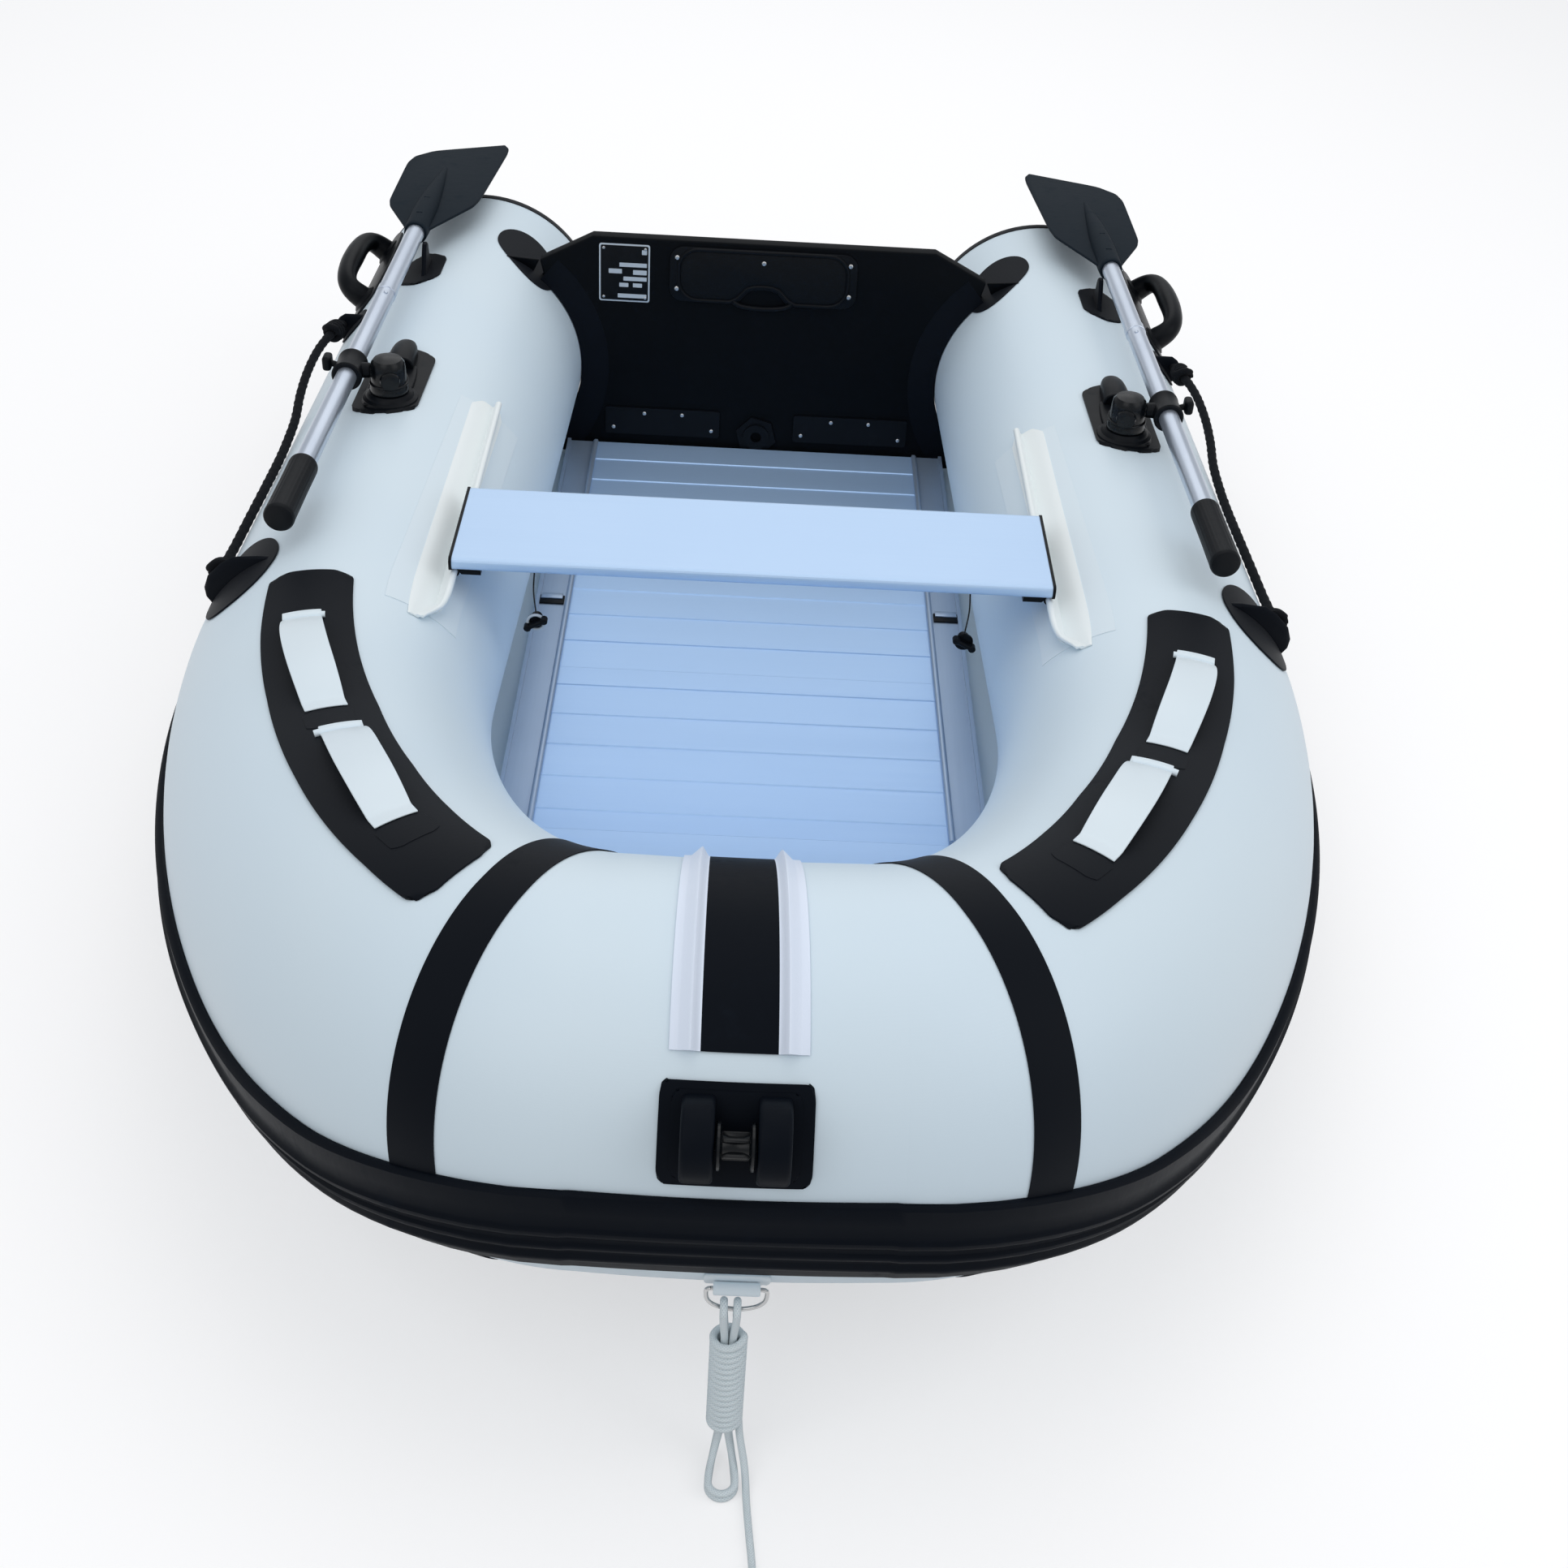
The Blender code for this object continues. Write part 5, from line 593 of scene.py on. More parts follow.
def frame_of(x: Vector, y: Vector, z: Vector, foot: Sequence[float]) -> Matrix:
    """Matrix of a frame from its three axes and its origin."""
    return Matrix.Translation(foot) @ Matrix((x, y, z)).transposed().to_4x4()


def frame_between(along: Vector, up: Vector, foot: Vector) -> Matrix:
    """Matrix whose x runs along, whose z is near up, and whose origin is foot."""
    x = along.normalized()
    y = up.cross(x).normalized()
    z = x.cross(y)
    return frame_of(x, y, z, foot)


def along_route(name: str, route: Sequence[Vector], radius: float | Callable[[float], float], sides: int = 16,
                flat: float = 1.0, up: Vector | None = None) -> Piece:
    """Tube along a route, whose map runs once round in u and in metres along v.

    Args:
        name: the piece's name.
        route: points of its centre line.
        radius: radius in metres, or a function of the share along the route.
        sides: faces round it.
        flat: height of the section as a share of its width.
        up: direction of the flattened side, when the section is flat.

    Returns:
        The new object.
    """
    points = [Vector(p) for p in route]
    run = [0.0]
    for first, second in zip(points, points[1:]):
        run.append(run[-1] + (second - first).length)
    count = len(points)
    frames = []
    normal = None
    for k, point in enumerate(points):
        tangent = (points[min(k + 1, count - 1)] - points[max(k - 1, 0)]).normalized()
        seed = normal if up is None else up
        if seed is None:
            seed = Z_AXIS if abs(tangent.z) < 0.9 else X_AXIS
        normal = (seed - tangent * seed.dot(tangent)).normalized()
        frames.append((point, normal, tangent.cross(normal)))

    def place(u: float, v: float) -> Vector:
        """Point of the tube's wall."""
        k = round(v * (count - 1))
        point, high, wide = frames[k]
        size = radius(run[k] / run[-1]) if callable(radius) else radius
        angle = 2 * math.pi * u
        return point + wide * math.cos(angle) * size + high * math.sin(angle) * size * flat

    obj = skin(name, place, sides, count - 1)
    layer = obj.data.uv_layers.active.data
    for loop in layer:
        loop.uv = (loop.uv[0], run[round(loop.uv[1] * (count - 1))])
    return smooth(outward(obj, 0.000005, True), 60)


def smooth_route(points: Iterable[Sequence[float]], count: int) -> list[Vector]:
    """Evenly spaced points of a smooth curve through a route's points."""
    route = [np.array(p, float) for p in points]
    ends = [2 * route[0] - route[1]] + route + [2 * route[-1] - route[-2]]
    dense = []
    for p0, p1, p2, p3 in zip(ends, ends[1:], ends[2:], ends[3:]):
        for t in np.linspace(0, 1, 24, endpoint=False):
            dense.append(0.5 * (2 * p1 + (p2 - p0) * t + (2 * p0 - 5 * p1 + 4 * p2 - p3) * t ** 2
                                + (3 * p1 - p0 - 3 * p2 + p3) * t ** 3))
    table = np.array(dense + [route[-1]])
    run = np.concatenate([[0], np.cumsum(np.linalg.norm(np.diff(table, axis=0), axis=1))])
    even = np.linspace(0, run[-1], count)
    return [Vector([float(np.interp(s, run, table[:, axis])) for axis in range(3)]) for s in even]


def spaced(first: float, last: float, count: int) -> list[float]:
    """Evenly spaced values with count steps between them, both ends included."""
    return [first + (last - first) * k / count for k in range(count + 1)]


def on_side(points: Iterable[Vector], side: Side) -> list[Vector]:
    """Points of the port half, turned to a side."""
    return [Vector((side.value * p.x, p.y, p.z)) for p in points]


def smooth_step(low: float, high: float, value: float) -> float:
    """0 below low, 1 above high and a smooth climb between."""
    k = min(max((value - low) / (high - low), 0), 1)
    return k * k * (3 - 2 * k)


def placed(obj: Piece, finish: Finish, *nodes: str, side: Side = Side.PORT, body: str = "hull",
           slot: str = "") -> Piece:
    """Finishes a new piece, hangs it on its body and lets it stand for CAD nodes.

    Args:
        obj: the piece, as modelled for port.
        finish: its finish.
        nodes: names of the CAD nodes that it replaces.
        side: side of the boat that it is turned to.
        body: body of the frame that it rides on.
        slot: its material slot, where it isn't the finish's own; not used.

    Returns:
        The same piece.
    """
    finish.onto(mirrored(obj, side))
    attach(obj, body)
    slot or finish.slot
    if nodes:
        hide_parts(*nodes)
    LOG.info("%s on %s", obj.name, body)
    return obj


def dressed(finish: Finish, *nodes: str) -> None:
    """Gives CAD nodes that stay their finish."""
    for name in nodes:
        finish.onto(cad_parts[name])


@dataclass
class TubeLine:
    """Centre line of the port half of the hull tube, measured from the bow."""

    radius: float = 0.205
    side_x: float = 0.555
    stern_x: float = 0.52
    shoulder_y: float = -0.1
    stern_y: float = 1.19
    shoulder_reach: float = 0.33
    bow_reach: float = 0.195
    bow_flat_half: float = 0.14
    bow_y: float = -0.939
    bow_bulge: float = 0.0065
    bow_rise: float = 0.16
    rise_start_y: float = -0.15
    rise_power: float = 1.7
    inner_ease: float = 0.07

    def __post_init__(self) -> None:
        """Works out the line's tables."""
        shoulder = np.array([self.side_x, self.shoulder_y])
        corner = np.array([self.bow_flat_half, self.bow_y])
        across = np.linspace(0, self.bow_flat_half, 61)
        bow_y = self.bow_y - self.bow_bulge * (1 - (across / self.bow_flat_half) ** 2)
        bow = np.column_stack([across, bow_y])
        t = np.linspace(0, 1, 241)[:, None]
        p0, p1, p2, p3 = corner, corner + (self.bow_reach, 0), shoulder - (0, self.shoulder_reach), shoulder
        bend = (1 - t) ** 3 * p0 + 3 * (1 - t) ** 2 * t * p1 + 3 * (1 - t) * t ** 2 * p2 + t ** 3 * p3
        side = np.linspace(shoulder, (self.stern_x, self.stern_y), 201)
        plan = np.concatenate([bow[:-1], bend[:-1], side])
        climb = (self.rise_start_y - plan[:, 1]) / (self.rise_start_y - bow_y[0])
        height = self.radius + self.bow_rise * np.clip(climb, 0, 1) ** self.rise_power
        self.points = np.column_stack([plan, height])
        steps = np.linalg.norm(np.diff(self.points, axis=0), axis=1)
        self.s = np.concatenate([[0], np.cumsum(steps)])
        self.length = float(self.s[-1])
        along = np.gradient(self.points, self.s, axis=0)
        along[0] = (1, 0, 0)
        self.along = along / np.linalg.norm(along, axis=1)[:, None]
        away = np.cross(self.along, (0, 0, 1))
        self.outward = away / np.linalg.norm(away, axis=1)[:, None]
        self.up = np.cross(self.outward, self.along)
        self.inward = self.inner_reach()

    def inner_reach(self) -> np.ndarray:
        """Vectors from the centre line to the inboard face, which turns the bow corner in a soft mitre."""
        inner = self.points[:, :2] - self.radius * self.outward[:, :2]
        front_y = self.bow_y + self.radius
        folded = np.nonzero(inner[:, 1] <= front_y)[0][-1]
        corner = inner[folded].copy()
        flat = self.s <= self.s[60]
        inner[flat, 0] = np.minimum(inner[flat, 0], corner[0])
        inner[60:folded + 1] = corner
        other_half = inner[:0:-1] * (-1, 1)
        end_step = inner[-1] - inner[-2]
        beyond = inner[-1] + np.arange(1, 61)[:, None] * end_step
        line = np.concatenate([other_half, inner, beyond])
        end_s = self.s[-1] - self.s[-2]
        reach_s = np.concatenate([-self.s[:0:-1], self.s, self.s[-1] + np.arange(1, 61) * end_s])
        eased = []
        for s in self.s:
            samples = np.linspace(s - self.inner_ease, s + self.inner_ease, 41)
            eased.append([np.interp(samples, reach_s, line[:, axis]).mean() for axis in (0, 1)])
        return np.array(eased) - self.points[:, :2]

    def sample(self, table: np.ndarray, s: float) -> np.ndarray:
        """Row of a table that follows the line, at the distance s."""
        return np.array([np.interp(s, self.s, table[:, axis]) for axis in range(table.shape[1])])

    def place(self, s: float, angle: float, lift: float = 0.0) -> Vector:
        """Point on the tube.

        Args:
            s: distance from the bow; a negative one lies on the starboard half.
            angle: degrees round the tube.
            lift: height off its skin.

        Returns:
            The point, in the frame's own place.
        """
        side = -1 if s < 0 else 1
        s = abs(s)
        centre = self.sample(self.points, s)
        radius = self.radius + lift
        turn = math.radians(angle)
        point = centre + radius * math.sin(turn) * self.sample(self.up, s)
        if math.cos(turn) >= 0:
            point = point + radius * math.cos(turn) * self.sample(self.outward, s)
        else:
            inner = np.append(self.sample(self.inward, s), 0)
            point = point - radius / self.radius * math.cos(turn) * inner
        return Vector((side * point[0], point[1] + SHIFT_Y, point[2]))

    def place_at(self, y: float, angle: float, lift: float = 0.0) -> Vector:
        """Point on the port half of the tube, where its centre line crosses y."""
        return self.place(self.s_at(y), angle, lift)

    def s_at(self, y: float) -> float:
        """Distance along the line where it crosses y, measured before the shift."""
        return float(np.interp(y, self.points[:, 1], self.s))

    def normal(self, s: float, angle: float) -> Vector:
        """Outward direction of the skin."""
        return (self.place(s, angle, 0.01) - self.place(s, angle)).normalized()

    def direction(self, s: float) -> Vector:
        """Direction of the line, away from the bow."""
        return Vector(self.sample(self.along, s)).normalized()


LINE = TubeLine()


def at(x: float, y: float, z: float) -> Vector:
    """Point whose y was measured before the frame's shift."""
    return Vector((x, y + SHIFT_Y, z))


def filled(obj: Piece, degrees: float = 50) -> Piece:
    """Closes the open rings of a piece."""
    return smooth(outward(obj, None, True), degrees)


def lofted(name: str, rings: Sequence[Sequence[Vector]], degrees: float = 50) -> Piece:
    """Closed solid through rings of points, each with as many points as the first."""
    size = len(rings[0])
    obj = skin(name, lambda u, v: rings[round(v * (len(rings) - 1))][round(u * size) % size], size, len(rings) - 1,
               closed=True)
    return filled(obj, degrees)


def arc(centre: Pair, radius: float, first: float, last: float, steps: int) -> list[Pair]:
    """Points of an arc, from one angle in degrees to another."""
    angles = map(math.radians, spaced(first, last, steps))
    return [(centre[0] + radius * math.cos(a), centre[1] + radius * math.sin(a)) for a in angles]


def rounded_box(half: float, low: float, high: float, corner: float, steps: int = 6) -> list[Pair]:
    """Outline of a rectangle with round corners, symmetrical about the first axis."""
    points = []
    for centre, start in (((half - corner, high - corner), 0), ((corner - half, high - corner), 90),
                          ((corner - half, low + corner), 180), ((half - corner, low + corner), 270)):
        points += arc(centre, corner, start, start + 90, steps)
    return points


def oval(u: float, v: float, roundness: float) -> Pair:
    """Moves a place on the unit square into an oval (roundness 1), a square (0) or a shape between."""
    x, y = 2 * u - 1, 2 * v - 1
    return (0.5 + x / 2 * math.sqrt(1 - roundness * y * y / 2), 0.5 + y / 2 * math.sqrt(1 - roundness * x * x / 2))


@dataclass
class Patch:
    """Place of a pad that is glued to the port tube."""

    y: float
    half: float
    angle: float
    half_angle: float
    thickness: float
    roundness: float = 1.0
    lift: float = 0.0006
    corner: float = 0.0

    def place(self, u: float, v: float) -> Vector:
        """Point of the pad's foot: an oval, or with corners of the radius given."""
        if self.corner:
            width = 2 * math.radians(self.half_angle) * LINE.radius
            u, v = rounded_share(packed_ends(u), packed_ends(v), self.corner / width, self.corner / 2 / self.half)
        else:
            u, v = oval(u, v, self.roundness)
        s = LINE.s_at(self.y) + (2 * v - 1) * self.half
        return LINE.place(s, self.angle + (1 - 2 * u) * self.half_angle, self.lift)

    def pad(self, name: str, across: int = 14, along: int = 18) -> Piece:
        """The pad itself."""
        return pad_on(name, self.place, across, along, self.thickness)


def screw(name: str, foot: Vector, axis: Vector, radius: float = 0.0042) -> Piece:
    """Domed screw head with a round recess in its middle."""
    shares = ((1.0, 0.0), (1.0, 0.1), (0.86, 0.28), (0.6, 0.4), (0.36, 0.44), (0.3, 0.28), (0.05, 0.24))
    return turned(name, [(radius * r, radius * h) for r, h in shares], axis, foot, 24)


def smooth_pairs(points: Sequence[Pair], count: int) -> list[Pair]:
    """Evenly spaced points of a smooth flat curve."""
    return [(p.x, p.y) for p in smooth_route([(a, b, 0) for a, b in points], count)]


@dataclass
class Hull:
    """Air chambers, their seam bands, the rubbing strake and the bottom."""

    seam_s: float = 0.204
    seam_gap: float = 0.0006
    sides: int = 96
    steps: int = 150
    band_half: float = 0.026
    band_thickness: float = 0.001
    cone_length: float = 0.06
    cone_ahead: tuple[float, ...] = (0.0, 0.25, 0.45, 0.66, 0.85, 0.95, 1.0, 1.0)
    cone_shares: tuple[float, ...] = (1.0, 0.993, 0.965, 0.93, 0.86, 0.79, 0.7, 0.02)
    cap_lift: float = 0.0011
    bottom_from: float = 0.16
    bottom_to_y: float = 0.954
    bottom_angle: float = -128.0
    bottom_lift: float = 0.0008
    keel_half: float = 0.03
    keel_z: float = 0.0063
    strake_angles: Triple = (-4.0, 9.0, 7.0)
    strake_half: float = 15.2
    strake_height: float = 0.02
    strake_bow_share: float = 0.5
    strake_full_s: float = 0.42
    strake_profile: tuple[Pair, ...] = ((-1.0, 0.06), (-1.0, 0.2), (-0.97, 0.42), (-0.93, 0.54), (-0.6, 0.56),
                                        (-0.32, 0.56), (-0.27, 0.66), (-0.23, 0.86), (-0.17, 0.9), (-0.12, 0.84),
                                        (-0.06, 0.64), (0.0, 0.6), (0.06, 0.66), (0.1, 0.88), (0.15, 0.95),
                                        (0.21, 0.9), (0.26, 0.68), (0.31, 0.62), (0.37, 0.68), (0.43, 0.94),
                                        (0.48, 1.0), (0.54, 0.95), (0.6, 0.68), (0.66, 0.6), (0.9, 0.58),
                                        (0.96, 0.46), (1.0, 0.2), (1.0, 0.06))

    def build(self) -> None:
        """Builds and dresses the hull."""
        for side in Side:
            placed(self.side_chamber(side.word), HULL_CLOTH, side.word + "_tube", side=side)
        bow = skin("bow_chamber", self.bow_place, self.sides, 60, closed=True)
        placed(filled(bow), HULL_CLOTH, "bow_tube")
        for side in Side:
            band = pad_on("seam_band_" + side.word, self.band_place, 8, 120, self.band_thickness)
            placed(band, BLACK_CLOTH, side=side)
            placed(self.stern_cap("stern_cap_" + side.word), BLACK_CLOTH, side=side)
        self.strake()
        bottom = skin("bottom_skin", self.bottom_place, 60, 110)
        modifier(bottom, "SOLIDIFY", thickness=0.003, offset=-1.0)
        placed(smooth(outward(bottom)), HULL_CLOTH, "hull_bottom")
        dressed(BLACK_RUBBER, "keel_guard")

    def side_chamber(self, word: str) -> Piece:
        """Port chamber, from the seam to its end cone."""
        values = spaced(self.seam_s + self.seam_gap, LINE.length, self.steps)
        direction = LINE.direction(LINE.length)
        rows = self.steps + len(self.cone_shares)

        def place(u: float, v: float) -> Vector:
            """Point of the skin, or of the cone at its end."""
            k = round(v * rows)
            angle = -90 + 360 * u
            if k <= self.steps:
                return LINE.place(values[k], angle, self.pucker(values[k], angle))
            share, ahead = self.cone_shares[k - self.steps - 1], self.cone_ahead[k - self.steps - 1]
            return LINE.place(LINE.length, angle, (share - 1) * LINE.radius) + ahead * self.cone_length * direction

        return filled(skin("chamber_" + word, place, self.sides, rows, closed=True))

    def pucker(self, s: float, angle: float) -> float:
        """Slight pull of the cloth beside the seam band, as a lift."""
        near = math.exp(-((s - self.seam_s) / 0.05) ** 2)
        return 0.0006 * near * math.sin(math.radians(angle * 14)) * max(0.0, -math.cos(math.radians(angle)))

    def bow_place(self, u: float, v: float) -> Vector:
        """Point of the bow chamber's skin."""
        return LINE.place((self.seam_s - self.seam_gap) * (2 * v - 1), -90 + 360 * u)

    def band_place(self, u: float, v: float) -> Vector:
        """Point of a seam band, as wide inside the bend as outside, from the strake over the top to the floor."""
        angle = -60 + 270 * v
        stretch = (LINE.place(self.seam_s + 0.01, angle) - LINE.place(self.seam_s - 0.01, angle)).length / 0.02
        return LINE.place(self.seam_s + (2 * u - 1) * self.band_half / max(stretch, 0.45), angle, 0.0005)

    def stern_cap(self, name: str) -> Piece:
        """Black cone over the port tube's end."""
        direction = LINE.direction(LINE.length)
        rows = [(1.0, -0.05), *zip(self.cone_shares, self.cone_ahead)]
        rings = [[LINE.place(LINE.length, 360 * k / self.sides, (share - 1) * LINE.radius + self.cap_lift)
                  + (ahead * self.cone_length + (self.cap_lift if share < 0.75 else 0)) * direction
                  for k in range(self.sides)] for share, ahead in rows]
        return lofted(name, rings, 45)

    def bottom_place(self, u: float, v: float) -> Vector:
        """Point of the bottom skin's upper face: a shallow V between the tubes."""
        s = self.bottom_from + (LINE.s_at(self.bottom_to_y) - self.bottom_from) * v
        edge = LINE.place(s, self.bottom_angle, self.bottom_lift)
        fade = smooth_step(0.3, 0.95, s)
        flat = LINE.radius + (LINE.radius + self.bottom_lift) * math.sin(math.radians(self.bottom_angle))
        keel = edge.z - fade * (flat - self.keel_z)
        x = (2 * u - 1) * edge.x
        share = max(0.0, (abs(x) - self.keel_half) / (edge.x - self.keel_half))
        return Vector((x, edge.y, keel + (edge.z - keel) * share))

    def strake_centre(self, s: float) -> float:
        """Angle of the middle of the strake."""
        bow, turn, dip = self.strake_angles
        return bow - turn * smooth_step(0.13, 0.3, abs(s)) - dip * math.exp(-((abs(s) - 0.45) / 0.17) ** 2)

    def strake(self) -> None:
        """Ribbed rubber strake round the outside, closed against the tube."""
        rows = len(self.strake_profile)

        def place(u: float, v: float) -> Vector:
            """Point of the strake's section, or of its back."""
            s = LINE.length * (2 * v - 1)
            k = round(u * (rows + 4))
            middle = self.strake_centre(s)
            if k < rows:
                share, height = self.strake_profile[k]
                full = smooth_step(0, self.strake_full_s, abs(s))
                proud = self.strake_height * (self.strake_bow_share + (1 - self.strake_bow_share) * full)
                return LINE.place(s, middle - share * self.strake_half, 0.0008 + height * proud)
            share = 1 - 2 * (k - rows) / 4
            return LINE.place(s, middle - share * self.strake_half, 0.0006)

        strake = outward(skin("strake", place, rows + 4, 300))
        placed(filled(strake), BLACK_RUBBER, "rub_strake")


@dataclass
class Transom:
    """Stern board with its motor pads, label plate, brackets and joint tapes."""

    foot_y: float = 0.93
    foot_z: float = 0.064
    rake: float = 0.05
    thickness: float = 0.025
    top_z: float = 0.445
    top_half: float = 0.3
    corner_half: float = 0.393
    corner_z: float = 0.397
    low_z: float = 0.045
    tube_gap: float = 0.0012
    keel: Pair = (0.03, 0.0066)
    gap: float = 0.0003
    pad_half: float = 0.165
    pad_top: float = 0.436
    pad_height: float = 0.098
    pad_corner: float = 0.024
    pad_base: float = 0.0058
    pad_rim: float = 0.0062
    pad_screws: tuple[Pair, ...] = ((-0.152, 0.417), (-0.152, 0.361), (0.0, 0.414), (0.152, 0.417),
                                    (0.152, 0.361))
    label_x: Pair = (-0.289, -0.2)
    label_z: Pair = (0.33, 0.434)
    bracket_x: Pair = (0.068, 0.277)
    bracket_z: Pair = (0.078, 0.13)
    bracket_screws: tuple[Pair, ...] = ((0.07, 0.25), (0.33, 0.8), (0.66, 0.8), (0.93, 0.25))
    tape_width: float = 0.048
    stern_patch: Patch = field(default_factory=lambda: Patch(1.0, 0.082, 122.5, 17.5, 0.0012))
    label_fields: tuple[tuple[float, float, float, float], ...] = (
        (0.84, 0.94, 0.83, 0.91), (0.4, 0.94, 0.61, 0.68), (0.19, 0.45, 0.49, 0.57), (0.67, 0.94, 0.48, 0.56),
        (0.48, 0.94, 0.37, 0.44), (0.4, 0.58, 0.26, 0.33), (0.67, 0.85, 0.26, 0.33), (0.37, 0.94, 0.07, 0.14))

    @property
    def normal(self) -> Vector:
        """Direction that the front face looks in."""
        return Vector((0, -1, self.rake)).normalized()

    def on(self, x: float, z: float, out: float = 0.0) -> Vector:
        """Point on the front face, or in front of it."""
        return at(x, self.foot_y + self.rake * (z - self.foot_z), z) + out * self.normal

    def tube_x(self) -> float:
        """Distance of the tube's centre line from the middle at the board."""
        return LINE.sample(LINE.points, LINE.s_at(self.foot_y + 0.007))[0]

    def edge_angles(self) -> Pair:
        """Angles at which the board's edge leaves the tube, above and below."""
        reach = LINE.radius + self.tube_gap
        high = math.acos((self.tube_x() - self.corner_half) / reach)
        return high, math.asin((self.low_z - LINE.radius) / reach)

    def build(self) -> None:
        """Builds and dresses the transom."""
        placed(self.board(), BOARD_FACE, "transom")
        self.inner_pad()
        dressed(BLACK_PLASTIC, "motor_pad_outer", "floor_bracket_port", "floor_bracket_starboard", "drain_fitting")
        for number, (x, z) in enumerate(self.pad_screws):
            self.head(f"pad_screw_{number}", x, z, self.pad_base + 0.0012)
        (low_x, high_x), (low_z, high_z) = self.bracket_x, self.bracket_z
        for side in Side:
            for number, (across, up) in enumerate(self.bracket_screws):
                self.head(f"bracket_screw_{side.word}_{number}", side.value * (low_x + across * (high_x - low_x)),
                          low_z + up * (high_z - low_z), 0.0043, 0.0036)
            for front in (True, False):
                name = f"board_tape_{'front' if front else 'rear'}_{side.word}"
                placed(self.tape(name, front), BLACK_CLOTH, side=side)
            pad = pad_on("stern_patch_" + side.word, self.teardrop, 14, 18, self.stern_patch.thickness)
            placed(pad, BLACK_CLOTH, side=side)
            placed(self.corner_web("board_web_" + side.word), BOARD_FACE, side=side, slot="black_fabric")
        self.label()

    def head(self, name: str, x: float, z: float, out: float, radius: float = 0.0042) -> None:
        """Screw or rivet head in front of the board."""
        placed(screw(name, self.on(x, z, out), self.normal, radius), STEEL)

    def board(self) -> Piece:
        """Board with rounded edges."""
        reach = LINE.radius + self.tube_gap
        high, low = self.edge_angles()
        edge = [(self.top_half, self.top_z), (self.corner_half, self.corner_z)]
        for angle in spaced(high, low, 24)[1:]:
            edge.append((self.tube_x() - reach * math.cos(angle), LINE.radius + reach * math.sin(angle)))
        edge.append(self.keel)
        outline = [self.on(x, z) for x, z in edge] + [self.on(-x, z) for x, z in reversed(edge)]
        return plate("transom_board", outline, Vector((0, self.thickness, 0)), 0.0028, 3)

    def pad_outline(self, inset: float, ends: float = 0.0) -> list[Pair]:
        """Outline of the inner pad, with the notch in its lower edge."""
        low = self.pad_top - self.pad_height + inset
        box = rounded_box(self.pad_half - inset - ends, low, self.pad_top - inset, self.pad_corner + ends - inset)
        half_way = len(box) * 3 // 4
        reach = 0.034 + inset * 0.8
        notch = [(share * reach, low + (rise + (inset / 0.026 if rise else 0)) * 0.026)
                 for share, rise in ((-1.6, 0), (-1.25, 0.12), (-1.0, 0.5), (-0.78, 0.84), (-0.45, 1.0), (0.0, 1.04),
                                     (0.45, 1.0), (0.78, 0.84), (1.0, 0.5), (1.25, 0.12), (1.6, 0))]
        return box[:half_way] + notch + box[half_way:]

    def inner_pad(self) -> None:
        """Clamp pad: base, raised rim, grained panel and the lip of the notch."""
        base = plate("clamp_pad_base", [self.on(x, z, self.gap) for x, z in self.pad_outline(0)],
                     self.normal * (self.pad_base - self.gap), 0.0012)
        ring = [self.on(x, z, self.pad_base) for x, z in self.pad_outline(self.pad_rim / 2, 0.013)]
        rim = along_route("clamp_pad_rim", ring + ring[:1], 0.0034, 12)
        lip_path = [self.on(x, z, 0.006) for x, z in
                    smooth_pairs(((-0.052, 0.342), (-0.036, 0.334), (0.0, 0.331), (0.036, 0.334),
                                  (0.052, 0.342)), 17)]
        lip = along_route("clamp_pad_lip", lip_path, 0.0042, 12)
        placed(joined("clamp_pad", [base, rim, lip]), BLACK_PLASTIC, "motor_pad_inner")
        panel = plate("clamp_pad_panel", [self.on(x, z, self.pad_base) for x, z in self.pad_outline(0.0075, 0.013)],
                      self.normal * 0.0007, 0.0003)
        placed(panel, KNURLED)

    def tape(self, name: str, front: bool) -> Piece:
        """Curved tape on the port edge of the board, beside the tube."""
        high, low = self.edge_angles()
        slope = (self.top_z - self.corner_z) / (self.corner_half - self.top_half)
        out = 0.0004 if front else -self.thickness * 0.9988 - 0.0005

        def place(u: float, v: float) -> Vector:
            """Point of the tape, from the tube inboard and from the top down."""
            angle = high + (low - high) * v
            reach = LINE.radius + self.tube_gap + 0.001 + (1 - u) * self.tape_width
            x = self.tube_x() - reach * math.cos(angle)
            z = LINE.radius + reach * math.sin(angle)
            z = min(z, self.corner_z + slope * (self.corner_half - x) - 0.004, self.top_z - 0.004)
            return self.on(x, max(z, 0.02), out)

        sheet = outward(skin(name, place, 8, 48))
        modifier(sheet, "SOLIDIFY", thickness=0.0014, offset=1.0 if front else -1.0)
        return smooth(outward(sheet), 40)

    def teardrop(self, u: float, v: float) -> Vector:
        """Point of the patch behind the board's corner: it narrows towards the board."""
        drop = self.stern_patch
        across, along = oval(u, v, 1.0)
        across = 0.5 + (across - 0.5) * (0.8 + 0.2 * smooth_step(0.0, 0.6, along))
        s = LINE.s_at(drop.y) + (2 * along - 1) * drop.half
        return LINE.place(s, drop.angle + 6.0 - 12.0 * along + (1 - 2 * across) * drop.half_angle, drop.lift)

    def corner_web(self, name: str) -> Piece:
        """Small web from the board's top corner down to the tube."""
        y = self.foot_y + self.rake * (self.corner_z - self.foot_z) + self.thickness / 2
        s = LINE.s_at(y)
        feet = [LINE.place(s, angle, 0.0008) for angle in (111, 114, 117, 120, 123, 126)]
        tip = at(self.corner_half + 0.002, y, self.corner_z - 0.004)
        outline = [tip] + [p + Vector((0, tip.y - p.y, 0)) for p in feet]
        return plate(name, [p - Vector((0, 0.003, 0)) for p in outline], Vector((0, 0.006, 0)), 0.0015)

